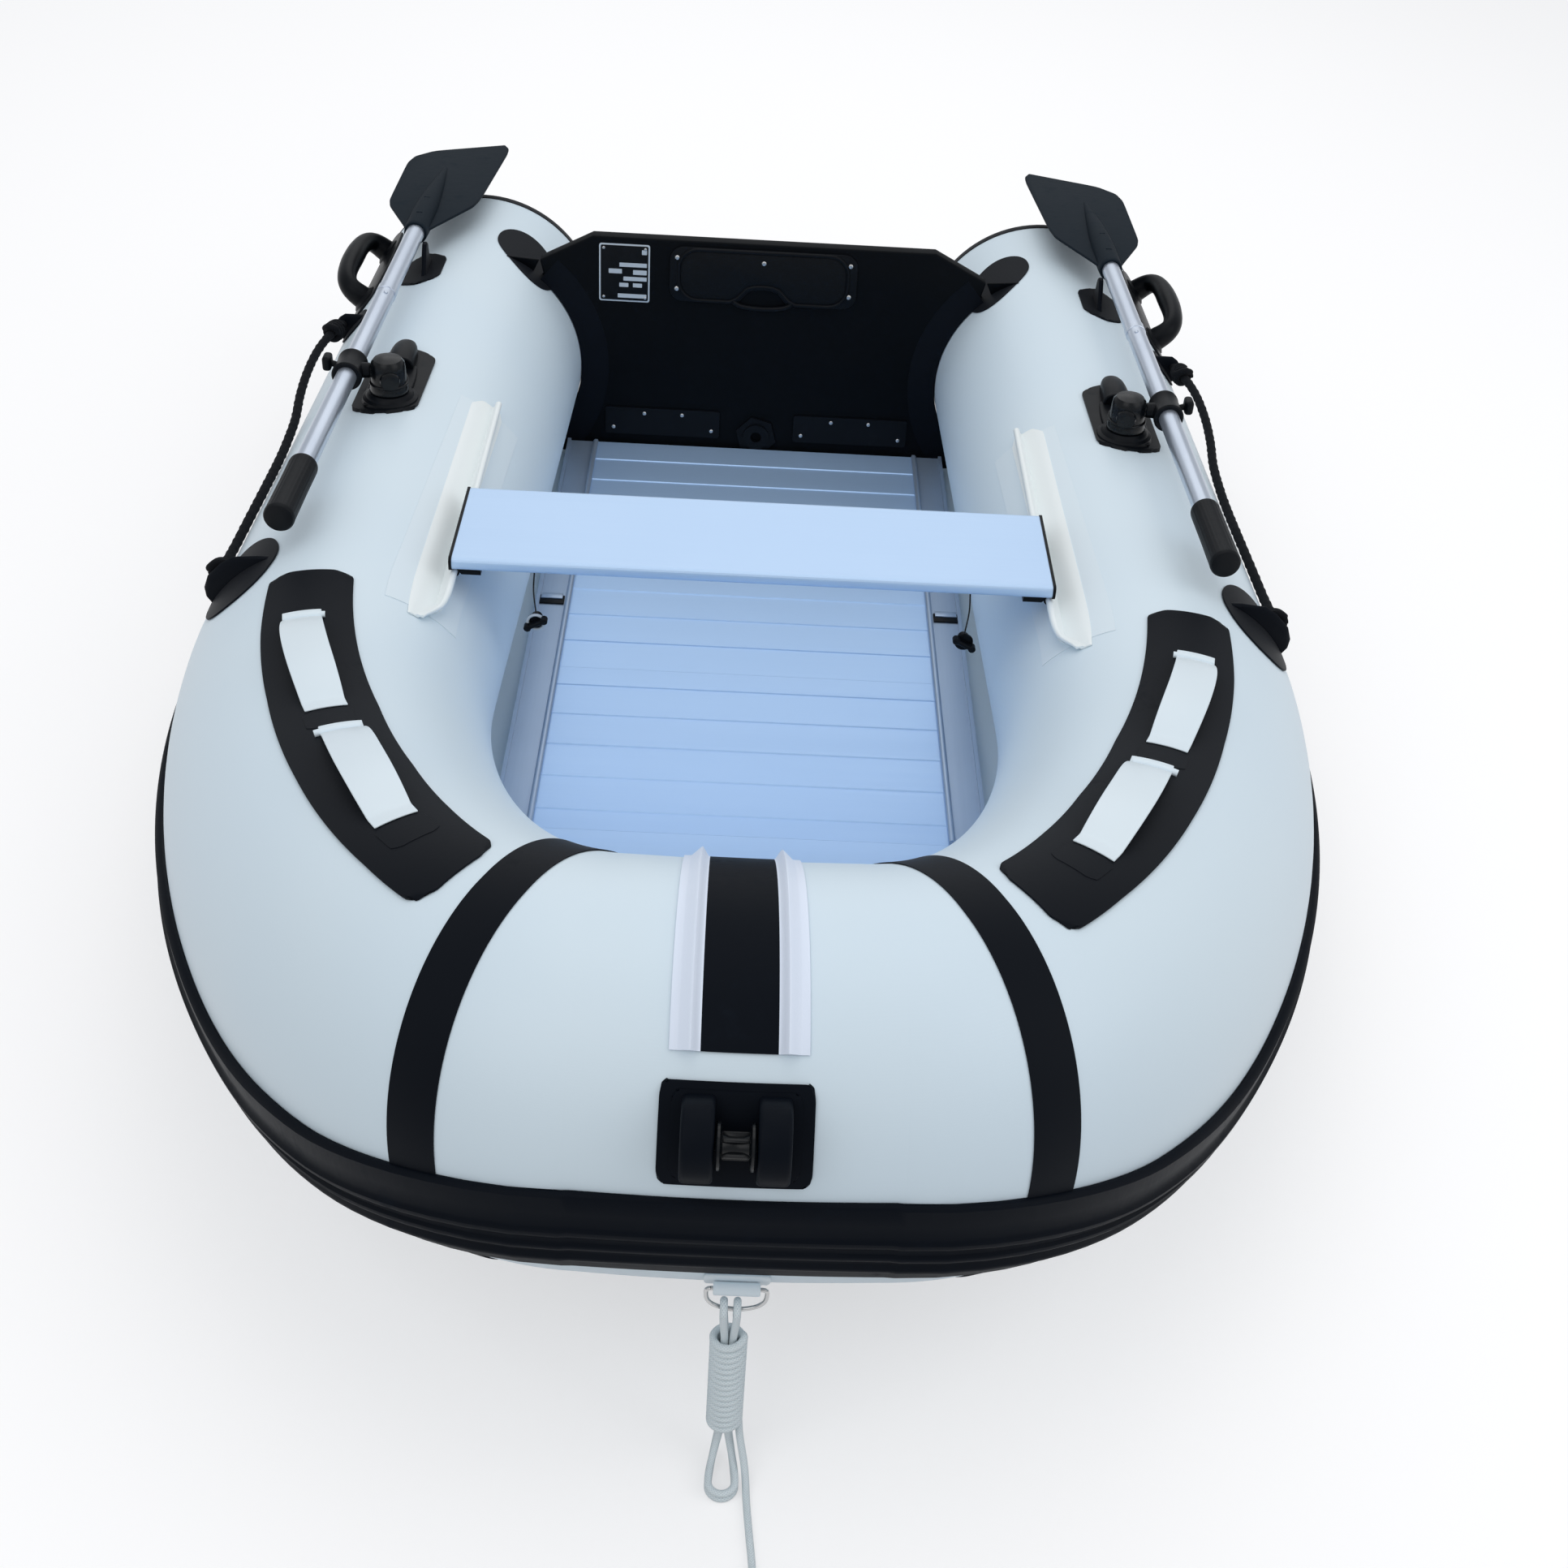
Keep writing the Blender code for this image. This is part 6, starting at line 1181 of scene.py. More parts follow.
    def label(self) -> None:
        """Bare label plate with a bright border and four rivets."""
        (low_x, high_x), (low_z, high_z) = self.label_x, self.label_z
        middle, half = (low_x + high_x) / 2, (high_x - low_x) / 2
        for name, inset, out, finish in (("label_border", 0.0, 0.0003, PALE_RUBBER),
                                         ("label_face", 0.0028, 0.001, BLACK_PLASTIC)):
            box = rounded_box(half - inset, low_z + inset, high_z - inset, 0.004 - inset / 2, 4)
            piece = plate(name, [self.on(middle + x, z, out) for x, z in box], self.normal * 0.0007, 0.0002)
            placed(piece, finish)
        bars = []
        for number, (left, right, low, high) in enumerate(self.label_fields):
            box = rounded_box((right - left) * half, low_z + low * (high_z - low_z), low_z + high * (high_z - low_z),
                              0.0008, 2)
            shift = low_x + (left + right) * half
            bars.append(plate(f"label_field_{number}", [self.on(shift + x, z, 0.0016) for x, z in box],
                              self.normal * 0.0003, 0.0001, 1))
        placed(joined("label_fields", bars), PALE_RUBBER)
        for number, (across, up) in enumerate(((-1, 0), (1, 0), (-1, 1), (1, 1))):
            self.head(f"label_rivet_{number}", middle + across * (half - 0.008),
                      low_z + 0.008 + up * (high_z - low_z - 0.016), 0.0016, 0.0026)


@dataclass
class Floor:
    """Aluminium floor boards with their side rails."""

    top_z: float = 0.0635
    half: float = 0.29
    rear_y: float = 0.915
    front_y: float = -0.215
    bead: float = 0.0046
    slot_y: Pair = (0.356, 0.38)
    slot_x: Pair = (0.3, 0.34)

    def build(self) -> None:
        """Dresses the boards and adds the rails' beads and joints."""
        dressed(FLOOR_METAL, "floor_panel_aft", "floor_panel_mid", "floor_panel_fore", "bow_board")
        dressed(RAIL_METAL, "stringer_port", "stringer_starboard")
        for side in Side:
            bead_x, bead_z = self.half + 0.0035, self.top_z + self.bead
            route = [at(bead_x, y, bead_z) for y in spaced(self.front_y + 0.002, self.rear_y - 0.004, 20)]
            bead = along_route("rail_bead_" + side.word, route, self.bead, 16, up=Z_AXIS, flat=0.8)
            placed(bead, RAIL_METAL, side=side)
            (left, right), (fore, aft), z = self.slot_x, self.slot_y, self.top_z
            slot = block("rail_joint_" + side.word, at(left, fore, z), at(right, aft, z + 0.0026), 0.0008)
            clip = block("rail_clip_" + side.word, at(left + 0.003, fore + 0.013, z + 0.002),
                         at(right - 0.002, aft + 0.004, z + 0.0046), 0.001)
            placed(slot, BLACK_PLASTIC, side=side)
            placed(clip, RAIL_METAL, side=side)


@dataclass
class Bench:
    """Sliding bench, its glued tracks and the plugs that hang under it."""

    top_z: float = 0.4
    thickness: float = 0.018
    gap: float = 0.0003
    bead: Pair = (0.403, 0.3738)
    bead_radius: float = 0.005
    front_y: float = -0.199
    bead_front_y: float = -0.101
    rear_y: float = 0.439
    outer: float = 118.0
    inner: float = 134.0
    slant: float = -45.0
    patch_y: Pair = (-0.172, 0.425)
    patch_angles: Triple = (111.5, 2.0, 31.0)
    base: float = 0.002
    fin_half: float = 0.0012
    tether_x: float = 0.295
    tether_y: float = -0.052
    tether_drop: float = 0.072
    tether_width: float = 0.0022
    plug_drop: float = 0.013

    def build(self) -> None:
        """Builds and dresses the bench and what belongs to it."""
        dressed(BENCH_METAL, "seat_bench")
        dressed(BLACK_PLASTIC, "seat_end_port", "seat_end_starboard")
        for side in Side:
            placed(self.track("track_" + side.word), TRACK_CLOTH, "seat_track_" + side.word, side=side)
            base = pad_on("track_patch_" + side.word, self.base_place, 10, 60, 0.0005)
            placed(base, WELD_CLOTH, side=side)
            rod = turned("track_rod_" + side.word, ((0.0026, -0.012), (0.0032, -0.01), (0.0032, 0.004)), Y_AXIS,
                         self.rod_place(), 20)
            placed(rod, BLACK_PLASTIC, side=side)
            self.tether(side)

    def base_place(self, u: float, v: float) -> Vector:
        """Point of the thin patch under a track."""
        (fore, aft), (edge, lean, width) = self.patch_y, self.patch_angles
        return LINE.place_at(fore + (aft - fore) * v, edge + lean * v + width * (1 - u), 0.0002)

    def rod_place(self) -> Vector:
        """Middle of the bead where it ends at the front."""
        return at(self.bead[0], self.bead_front_y, self.bead[1])

    def root_angle(self, s: float) -> float:
        """Angle on the tube at which the slanting fin meets its base."""
        low, high = self.outer, self.inner
        for _ in range(24):
            angle = (low + high) / 2
            root = LINE.place(s, angle, 0.0008 + self.base)
            slant = math.degrees(math.atan2(root.z - self.bead[1], root.x - self.bead[0]))
            low, high = (angle, high) if slant > self.slant else (low, angle)
        return (low + high) / 2

    def track(self, name: str) -> Piece:
        """Base strip, fin and bead of the port track."""
        rings = []
        for y in spaced(self.front_y, self.rear_y, 64):
            s = LINE.s_at(y)
            ahead = smooth_step(-0.15, 1.0, (y - self.front_y) / (self.bead_front_y - self.front_y))
            tail = smooth_step(0, 0.03, self.rear_y + 0.006 - y)
            outer = self.outer + 0.8 + 1.9 * (self.rear_y - y) / (self.rear_y - self.front_y)
            pointed = 0.3 + 0.7 * smooth_step(-0.01, 0.075, y - self.front_y)
            root_angle = outer + (self.root_angle(s) - outer) * pointed
            inner = outer + (self.inner - outer) * pointed
            angles = spaced(outer, root_angle, 6) + [inner]
            narrow = 1 - 0.45 * (1 - tail)
            angles = [root_angle + (a - root_angle) * narrow for a in angles]
            low = [LINE.place(s, a, 0.0007) for a in angles]
            high = [LINE.place(s, a, 0.0007 + self.base * (0.35 if i == 0 else 1)) for i, a in enumerate(angles)]
            root = high[6]
            bead = root + (Vector((self.bead[0], root.y, self.bead[1])) - root) * (0.2 + 0.8 * ahead)
            thin = self.fin_half * 1.6
            radius = thin + (self.bead_radius - thin) * ahead
            back = math.atan2(root.z - bead.z, root.x - bead.x)
            half = math.asin(self.fin_half / radius)
            square = Vector((math.sin(back), 0, -math.cos(back))) * self.fin_half
            turn = [back - half - (2 * math.pi - 2 * half) * i / 20 for i in range(21)]
            round_bead = [bead + radius * Vector((math.cos(a), 0, math.sin(a))) for a in turn]
            rings.append(low + [high[7], root + square * 1.5] + round_bead + [root - square * 2.2] + high[5::-1])
        return lofted(name, rings)

    def tether(self, side: Side) -> None:
        """Short cord under the bench with its plug."""
        plug_top = self.top_z - self.thickness - self.gap - self.tether_drop
        top = at(self.tether_x, self.tether_y, plug_top + self.tether_drop)
        foot = at(self.tether_x, self.tether_y, plug_top + self.gap)
        bow = Vector((self.tether_width, -self.tether_width, 0))
        route = on_side(smooth_route([top, (top + foot) / 2 + bow, foot], 13), side)
        cord = along_route("tether_cord_" + side.word, route, self.tether_width / 2, 12)
        placed(cord, THIN_ROPE, "tether_" + side.word, body="seat")
        middle = Vector((foot.x, foot.y, plug_top - self.plug_drop))
        plug = self.plug(side, middle)
        placed(plug, BLACK_PLASTIC, "tether_plug_" + side.word, side=side, body="seat")
        if side is Side.STARBOARD:
            washer = along_route("plug_washer", self.washer(*middle), 0.0021, 12)
            placed(washer, PALE_RUBBER, side=side, body="seat", slot="hull_fabric")

    def washer(self, x: float, y: float, z: float) -> list[Vector]:
        """Ring round the starboard plug."""
        return [Vector((x + 0.0115 * math.cos(a), y - 0.0035, z + 0.0115 * math.sin(a)))
                for a in spaced(0, 2 * math.pi, 32)]

    def plug(self, side: Side, centre: Vector) -> Piece:
        """Quarter-turn plug: flange, body, wings, and the two legs on the starboard one."""
        name = "plug_" + side.word
        body = turned(name + "_body", ((0.0124, -0.003), (0.013, -0.0022), (0.013, -0.0008), (0.0122, 0.0),
                                       (0.008, 0.0004), (0.0078, 0.012), (0.007, 0.0138)), Y_AXIS, centre, 40)
        wing = block(name + "_wings", centre + Vector((-0.0168, -0.013, -0.003)),
                     centre + Vector((0.0168, -0.002, 0.003)), 0.0022, 3)
        ends = [turned(f"{name}_lobe_{k}", ((0.0042, -0.0052), (0.0052, -0.0042), (0.0052, 0.0042), (0.0042, 0.0052)),
                       Y_AXIS, centre + Vector((k * 0.0128, -0.0075, 0)), 20) for k in (-1, 1)]
        tilt = Matrix.Rotation(math.radians(28), 4, "Y")
        for part in [wing] + ends:
            part.data.transform(Matrix.Translation(centre) @ tilt @ Matrix.Translation(-centre))
        return joined(name, [body, wing] + ends)


@dataclass
class Oar:
    """Stowed oar: blade with its socket, shaft, grip and the collar in the rowlock."""

    z: float = 0.455
    pivot_y: float = 0.365
    collar_x: float = 0.613
    toe: float = -0.0275
    shaft_radius: float = 0.015
    fore: float = 0.3
    aft: float = 0.59
    sleeve: float = 0.27
    sleeve_length: float = 0.022
    button_way: Triple = (-0.35, 0.0, 0.93)
    socket_lap: float = 0.06
    grip_length: float = 0.146
    collar_radius: float = 0.0225
    collar_half: float = 0.026
    thumb_way: Triple = (0.95, 0.2, 0.2)
    blade_from: float = 0.54
    blade_length: float = 0.435
    blade_width: float = 0.17
    blade_thickness: float = 0.005
    blade_round: float = 0.16
    blade_shares: tuple[Pair, ...] = ((0.0, 0.1), (0.06, 0.17), (0.24, 0.388), (0.3, 0.42), (0.72, 0.435),
                                      (0.8, 0.39), (0.878, 0.21), (0.99, -0.46), (1.0, -0.52), (0.96, -0.575),
                                      (0.9, -0.58), (0.38, -0.5), (0.29, -0.46), (0.06, -0.17), (0.0, -0.1))

    @property
    def along(self) -> Vector:
        """Direction of the port oar, aft along its shaft."""
        return Vector((self.toe, 1, 0)).normalized()

    @property
    def foot(self) -> Vector:
        """Point of the shaft's axis in the middle of the collar."""
        return at(self.collar_x, self.pivot_y, self.z)

    def rod(self, name: str, profile: Sequence[Pair], sides: int = 40) -> Piece:
        """Shape turned about the port oar's shaft; heights run aft from the collar."""
        return turned(name, profile, self.along, self.foot, sides)

    def build(self) -> None:
        """Builds both oars."""
        for side in Side:
            word = side.word
            for piece, node, finish in ((self.blade(word), "_oar_blade", BLADE_PLASTIC),
                                        (self.shaft(word), "_oar_shaft", SHAFT_METAL),
                                        (self.grip(word), "_oar_grip", GRIP_RUBBER),
                                        (self.collar(word), "_oar_collar", BLACK_PLASTIC)):
                placed(piece, finish, word + node, side=side, body=word + "_oar")

    def blade(self, word: str) -> Piece:
        """Blade with rounded edges, its tapered socket and two drain slots."""
        across = Vector((self.along.y, -self.along.x, 0))
        low = self.foot - Z_AXIS * self.blade_thickness / 2
        corners = [(self.blade_from + a * self.blade_length, w * self.blade_width) for a, w in self.blade_shares]
        outline = []
        for (x0, y0), (x1, y1), (x2, y2) in zip(corners[-1:] + corners, corners, corners[1:] + corners[:1]):
            a = (x1 + (x0 - x1) * self.blade_round, y1 + (y0 - y1) * self.blade_round)
            b = (x1 + (x2 - x1) * self.blade_round, y1 + (y2 - y1) * self.blade_round)
            outline += [tuple((1 - t) ** 2 * p + 2 * t * (1 - t) * q + t * t * r for p, q, r in zip(a, (x1, y1), b))
                        for t in (0.0, 0.5, 1.0)]
        flat = plate("blade_" + word, [low + self.along * a + across * w for a, w in outline],
                     Z_AXIS * self.blade_thickness, 0.0021, 3)
        start = self.aft - self.socket_lap
        steps = ((0.0165, 0.001), (0.0185, 0), (0.0197, 0.002), (0.02, 0.01), (0.0204, 0.03), (0.0206, 0.085),
                 (0.0192, 0.13), (0.015, 0.19), (0.0096, 0.25), (0.004, 0.306))
        socket = self.rod("socket_" + word, [(radius, start + run) for radius, run in steps])
        extras = []
        for way in (-1, 1):
            path = [self.foot + self.along * (start + 0.1 + 0.12 * k / 8) + across * way * (0.014 - 0.0008 * k)
                    + Z_AXIS * (0.0035 * (1 - k / 8)) for k in range(9)]
            extras.append(along_route(f"blade_rib_{word}_{way}", path, lambda t: 0.0055 - 0.003 * t, 12))
        for k, run in enumerate((0.045, 0.118)):
            foot = self.foot + self.along * (start + run) + Z_AXIS * (0.0199 - 0.0012 * k)
            extras.append(block(f"socket_slot_{word}_{k}", foot - Vector((0.005, 0.0016, 0.0012)),
                                foot + Vector((0.005, 0.0016, 0.0013)), 0.0008))
        return joined("oar_blade_" + word, [flat, socket, *extras])

    def shaft(self, word: str) -> Piece:
        """Two-part shaft with its sleeve and spring button."""
        radius, swell = self.shaft_radius, self.shaft_radius + 0.0011
        first, last = self.sleeve, self.sleeve + self.sleeve_length
        near = -self.fore - 0.07
        tube = self.rod("shaft_tube_" + word,
                        ((radius - 0.001, near), (radius, near + 0.001), (radius, first), (swell, first + 0.0008),
                         (swell, last - 0.0008), (radius, last), (radius, self.aft - 0.001),
                         (radius - 0.001, self.aft)), 48)
        way = Vector(self.button_way).normalized()
        spot = self.foot + self.along * (first - 0.02) + way * (radius - 0.0006)
        button = turned("shaft_button_" + word, ((0.0034, 0.0), (0.0034, 0.0014), (0.0024, 0.0026), (0.0006, 0.0031)),
                        way, spot, 20)
        return joined("oar_shaft_" + word, [tube, button])

    def grip(self, word: str) -> Piece:
        """Rubber grip with a flange, shallow flutes and a rounded end."""
        near, far = -self.fore, -self.fore - self.grip_length
        shares = ((0.0162, near), (0.0188, near - 0.0004), (0.02, near - 0.002), (0.0203, near - 0.006),
                  (0.02, near - 0.01), (0.0198, near - 0.06), (0.0202, far + 0.014), (0.0208, far + 0.008),
                  (0.0206, far + 0.004), (0.019, far + 0.0012), (0.016, far), (0.006, far - 0.0002))
        grip = self.rod("oar_grip_" + word, shares, 72)
        for vert in grip.data.vertices:
            away = vert.co - self.foot
            run = away.dot(self.along)
            spoke = away - self.along * run
            if far + 0.01 < run < near - 0.008 and spoke.length > 0.015:
                turn = math.atan2(spoke.z, spoke.dot(Vector((self.along.y, -self.along.x, 0))))
                vert.co += spoke.normalized() * 0.00045 * math.cos(24 * turn)
        return grip

    def collar(self, word: str) -> Piece:
        """Clamp on the shaft with its boss, rims and thumb screw."""
        half, radius, bore = self.collar_half, self.collar_radius, self.shaft_radius + 0.0004
        rim = ((radius - 0.002, half), (radius, half - 0.002), (radius, half - 0.006),
               (radius - 0.0008, half - 0.008))
        profile = [(bore, 0.001 - half), *((r, -run) for r, run in rim), *reversed(rim), (bore, half - 0.001)]
        sleeve = self.rod("collar_sleeve_" + word, profile)
        boss = turned("collar_boss_" + word, ((0.0128, 0.016), (0.0118, 0.019), (0.0112, 0.029), (0.01, 0.031),
                                              (0.0056, 0.031), (0.0054, 0.0255)), -X_AXIS, self.foot, 36)
        way = Vector(self.thumb_way)
        stem = turned("thumb_stem_" + word, ((0.0048, 0.014), (0.0048, 0.03), (0.003, 0.031)), way, self.foot, 24)
        centre, reach = self.foot + way.normalized() * 0.0355, Vector((0.0065, 0.0125, 0.011))
        knob = block("thumb_knob_" + word, centre - reach, centre + reach, 0.0048, 4)
        return joined("oar_collar_" + word, [sleeve, boss, stem, knob])


@dataclass
class Rowlock:
    """Glued pad with the socket and the swivelling turret of a rowlock."""

    x: float = 0.556
    y: float = 0.365
    oar_z: float = 0.455
    collar_x: float = 0.613
    pad: Patch = field(default_factory=lambda: Patch(0.425, 0.108, 84.5, 14.0, 0.0036, corner=0.036))
    tub: Patch = field(default_factory=lambda: Patch(0.4, 0.072, 84.5, 9.5, 0.005, 0.55, 0.0036))
    boss_reach: float = 0.031
    gap: float = 0.0003
    boss_top: float = 0.424
    turret_top: float = 0.478

    def build(self) -> None:
        """Builds both rowlocks."""
        for side in Side:
            word = side.word
            base = joined("rowlock_base_" + word, [self.pad.pad("lock_pad_" + word, 20, 28), *self.socket()])
            placed(base, BLACK_PLASTIC, word + "_rowlock_base", side=side)
            placed(joined("rowlock_turret_" + word, self.turret()), GLOSS_PLASTIC, word + "_rowlock_swivel",
                   side=side, body=word + "_rowlock")

    def socket(self) -> list[Piece]:
        """Raised plinth, socket ring and the horn behind it."""
        low = LINE.place_at(self.y, 90).z + 0.001
        foot = at(self.x, self.y, 0)
        ring = turned("lock_ring", ((0.043, low - 0.004), (0.041, low + 0.004), (0.036, low + 0.0065),
                                    (0.034, low + 0.01), (0.0325, self.boss_top - 0.002),
                                    (0.0305, self.boss_top), (0.012, self.boss_top)), Z_AXIS, foot, 56)
        tub = self.tub.pad("lock_tub", 14, 20)
        rings = []
        for t in spaced(0, 1, 12):
            rise = 0.03 - 0.012 * t ** 2 - 0.005 * (1 - t) ** 2
            half = 0.0215 - 0.002 * t - 0.005 * t ** 6
            point = LINE.place_at(0.452 + 0.078 * t, 88)
            rings.append([Vector((self.x + half * math.cos(a), point.y - 0.004 * math.sin(a) * (1 - t),
                                  point.z + 0.003 + rise * max(0.0, math.sin(a)) ** 0.5))
                          for a in spaced(0, math.pi, 14)])
        horn = lofted("lock_horn", rings, 40)
        return [ring, tub, smooth(bevelled(horn, 0.0022, 3, 50), 50)]

    def turret(self) -> list[Piece]:
        """Swivelling head: bell, hood and the arm with the oar's pin."""
        foot = at(self.x, self.y, 0)
        low, top = self.boss_top + 0.0006, self.turret_top
        bell = turned("turret_bell", ((0.0265, low), (0.0285, low + 0.001), (0.029, low + 0.004),
                                      (0.028, low + 0.0085), (0.0268, low + 0.012), (0.0264, low + 0.02),
                                      (0.026, top - 0.017), (0.0248, top - 0.0085), (0.0205, top - 0.0028),
                                      (0.011, top - 0.0006), (0.004, top)), Z_AXIS, foot, 56)
        knob = turned("turret_knob", ((0.015, 0.004), (0.015, 0.0262), (0.0138, 0.029), (0.0105, 0.0303),
                                      (0.004, 0.0306)), Vector((-0.25, -1, 0.05)), foot + Z_AXIS * (low + 0.024), 36)
        ring = [foot + Vector((0.0272 * math.cos(a), 0.0272 * math.sin(a),
                               low + 0.0135 + 0.01 * max(0, math.sin(a)))) for a in spaced(0, 2 * math.pi, 40)]
        brow = along_route("turret_brow", ring, 0.0022, 12)
        face = self.collar_x - self.boss_reach - self.gap - self.x
        arm = turned("turret_arm", ((0.0122, 0.01), (0.0122, face - 0.0045), (0.0112, face - 0.001),
                                    (0.01, face), (0.0049, face), (0.0049, face + 0.005), (0.004, face + 0.0056)),
                     X_AXIS, at(self.x, self.y, self.oar_z), 36)
        return [bell, knob, brow, arm]


@dataclass
class SideFittings:
    """Oar clips, lifting handles, rope patches, safety lines and strap pads of both sides."""

    pivot_y: float = 0.365
    collar_x: float = 0.613
    clip: Patch = field(default_factory=lambda: Patch(0.865, 0.064, 74.0, 10.5, 0.0022, corner=0.034))
    clip_top: float = 0.452
    clip_gap: float = 0.002
    carry: Patch = field(default_factory=lambda: Patch(0.995, 0.175, 37.0, 11.0, 0.0036, 0.7))
    carry_reach: float = 0.052
    carry_half: float = 0.105
    patches: tuple[tuple[str, Patch], ...] = (("fore", Patch(-0.075, 0.075, 49.0, 18.0, 0.0022)),
                                              ("rear", Patch(0.765, 0.042, 40.0, 9.0, 0.0022)))
    web_height: float = 0.026
    line_width: float = 0.014
    line_slack: float = 0.033
    pad_s: Pair = (0.246, 1.113)
    pad_outer: tuple[Pair, ...] = ((0.0, 72.0), (0.1, 73.0), (0.35, 73.0), (0.6, 72.0), (0.82, 70.0), (1.0, 69.0))
    pad_inner: tuple[Pair, ...] = ((0.0, 103.0), (0.14, 105.0), (0.3, 106.5), (0.52, 106.0), (0.82, 102.0),
                                   (1.0, 99.5))
    straps: tuple[tuple[Pair, Pair], ...] = (((0.37, 0.645), (89.0, 91.8)), ((0.696, 0.99), (89.5, 84.0)))
    knot_turns: float = 2.5
    knot_length: float = 0.019
    knot_radius: float = 0.0112
    knot_cord: float = 0.0056
    strap_width: float = 0.048
    strap_rise: float = 0.022
    landing: float = 0.022

    def build(self) -> None:
        """Builds the fittings of both sides."""
        for side in Side:
            word = side.word
            clip = joined("oar_clip_" + word, [self.clip.pad("clip_pad_" + word), self.clip_fin(word)])
            placed(clip, BLACK_CLOTH, word + "_oar_clip", side=side)
            handle = joined("carry_handle_" + word, [self.carry.pad("carry_pad_" + word, 16, 36), *self.handle(word)])
            placed(handle, BLACK_PLASTIC, word + "_carry_handle", side=side)
            for label, patch in self.patches:
                piece = joined(f"rope_patch_{label}_{word}", [patch.pad(f"patch_pad_{label}_{word}"),
                                                              self.web(patch, f"patch_web_{label}_{word}")])
                placed(piece, BLACK_CLOTH, f"{word}_rope_patch_{label}", side=side)
            self.safety_line(side)
            pad = pad_on("strap_pad_" + word, self.pad_place, 18, 90, 0.0022)
            placed(pad, BLACK_CLOTH, word + "_handle_pad", side=side)
            for number, (span, angles) in enumerate(self.straps):
                for piece, finish in ((self.strap(f"strap_{number}_{word}", span, angles, number), STRAP_CLOTH),
                                      (self.strap_patch(f"strap_weld_{number}_{word}", span, angles), BLACK_CLOTH)):
                    placed(piece, finish, side=side)

    def clip_fin(self, word: str) -> Piece:
        """Upright fin that the shaft lies against."""
        y = self.clip.y
        outer = self.collar_x + Oar.toe * (y - self.pivot_y) - Oar.shaft_radius - self.clip_gap
        low = LINE.place_at(y, self.clip.angle + 3).z - 0.002
        high = self.clip_top
        outline = [at(outer, y + share * 0.032, z) for share, z in
                   ((-1.25, low), (-0.85, low + 0.012), (-0.45, high - 0.014), (-0.15, high - 0.002), (0.12, high),
                    (0.38, high - 0.006), (0.62, low + 0.02), (0.95, low + 0.007), (1.3, low))]
        return plate("clip_fin_" + word, outline, Vector((-0.008, 0, 0)), 0.0022, 3)

    def handle(self, word: str) -> list[Piece]:
        """Stout moulded grip on two feet, with webs at its ends."""
        middle = LINE.s_at(self.carry.y)
        skin_point, normal = LINE.place(middle, self.carry.angle), LINE.normal(middle, self.carry.angle)
        along = LINE.direction(middle)
        path = []
        for angle in spaced(0, math.pi, 36):
            run = -math.copysign(abs(math.cos(angle)) ** 0.7, math.cos(angle)) * self.carry_half
            rise = 0.003 + math.sin(angle) ** 0.45 * (self.carry_reach - 0.003)
            path.append(skin_point + along * run + normal * rise)
        path = smooth_route(path, 61)
        bar = along_route("carry_bar_" + word, path, lambda t: 0.0175 + 0.0025 * math.exp(-((t - 0.5) / 0.2) ** 2)
                          + 0.003 * (1 - smooth_step(0.0, 0.16, t) + smooth_step(0.84, 1.0, t)), 28, 0.9, normal)
        flanges = []
        for way in (-1, 1):
            foot = skin_point + along * way * self.carry_half + normal * 0.0006
            flanges.append(turned(f"carry_foot_{word}_{way}", ((0.028, -0.004), (0.026, 0.004), (0.019, 0.008),
                                                               (0.015, 0.014), (0.012, 0.018)), normal, foot, 40))
        return [bar] + flanges

    def web(self, patch: Patch, name: str) -> Piece:
        """Folded web of a rope patch, rounded at its outboard end."""
        s = LINE.s_at(patch.y)
        low, top = 0.0008, 0.002 + self.web_height
        shares = ((0.88, low), (0.62, low + 0.35 * self.web_height), (0.2, top - 0.003), (-0.1, top),
                  (-0.48, top), (-0.74, top - 0.006), (-0.88, top - 0.014), (-0.94, low))
        profile = [(patch.angle + a * patch.half_angle, lift) for a, lift in shares]
        profile += [(patch.angle + a * patch.half_angle, low) for a in (-0.5, 0.0, 0.5)]
        rings = []
        for way in spaced(-1, 1, 6):
            bulge = math.sqrt(1 - 0.55 * way * way)
            rings.append([LINE.place(s + 0.0045 * way, angle, low + (lift - low) * bulge) for angle, lift in profile])
        return lofted(name, rings, 60)

    def route(self) -> list[Vector]:
        """Route of the port safety line from the rear patch's web to the fore one's."""
        rest = self.line_width / 2 + 0.0016
        raised = 0.003 + self.web_height * 0.55
        slack = self.line_slack
        rear, fore = self.patches[1][1], self.patches[0][1]
        start_y, end_y = rear.y - 0.0051, fore.y + 0.0051
        places = ((start_y, rear.angle - 2, raised), (start_y - self.line_width, rear.angle - 2, raised),
                  (0.7, 37.5, 0.85 * slack), (0.64, 36.5, slack), (0.57, 35.5, 0.95 * slack),
                  (0.5, 35.0, 0.75 * slack), (0.43, 35.0, 0.45 * slack), (0.36, 35.0, 1.2 * rest),
                  (0.3, 35.0, rest),
                  (0.22, 35.0, rest), (0.13, 33.5, rest), (0.06, 32.5, rest), (0.01, 33.5, 1.2 * rest),
                  (-0.025, 36.5, 0.7 * raised), (end_y + self.line_width, fore.angle - 8, raised),
                  (end_y, fore.angle - 8, raised))
        return [LINE.place_at(y, angle, lift) for y, angle, lift in places]

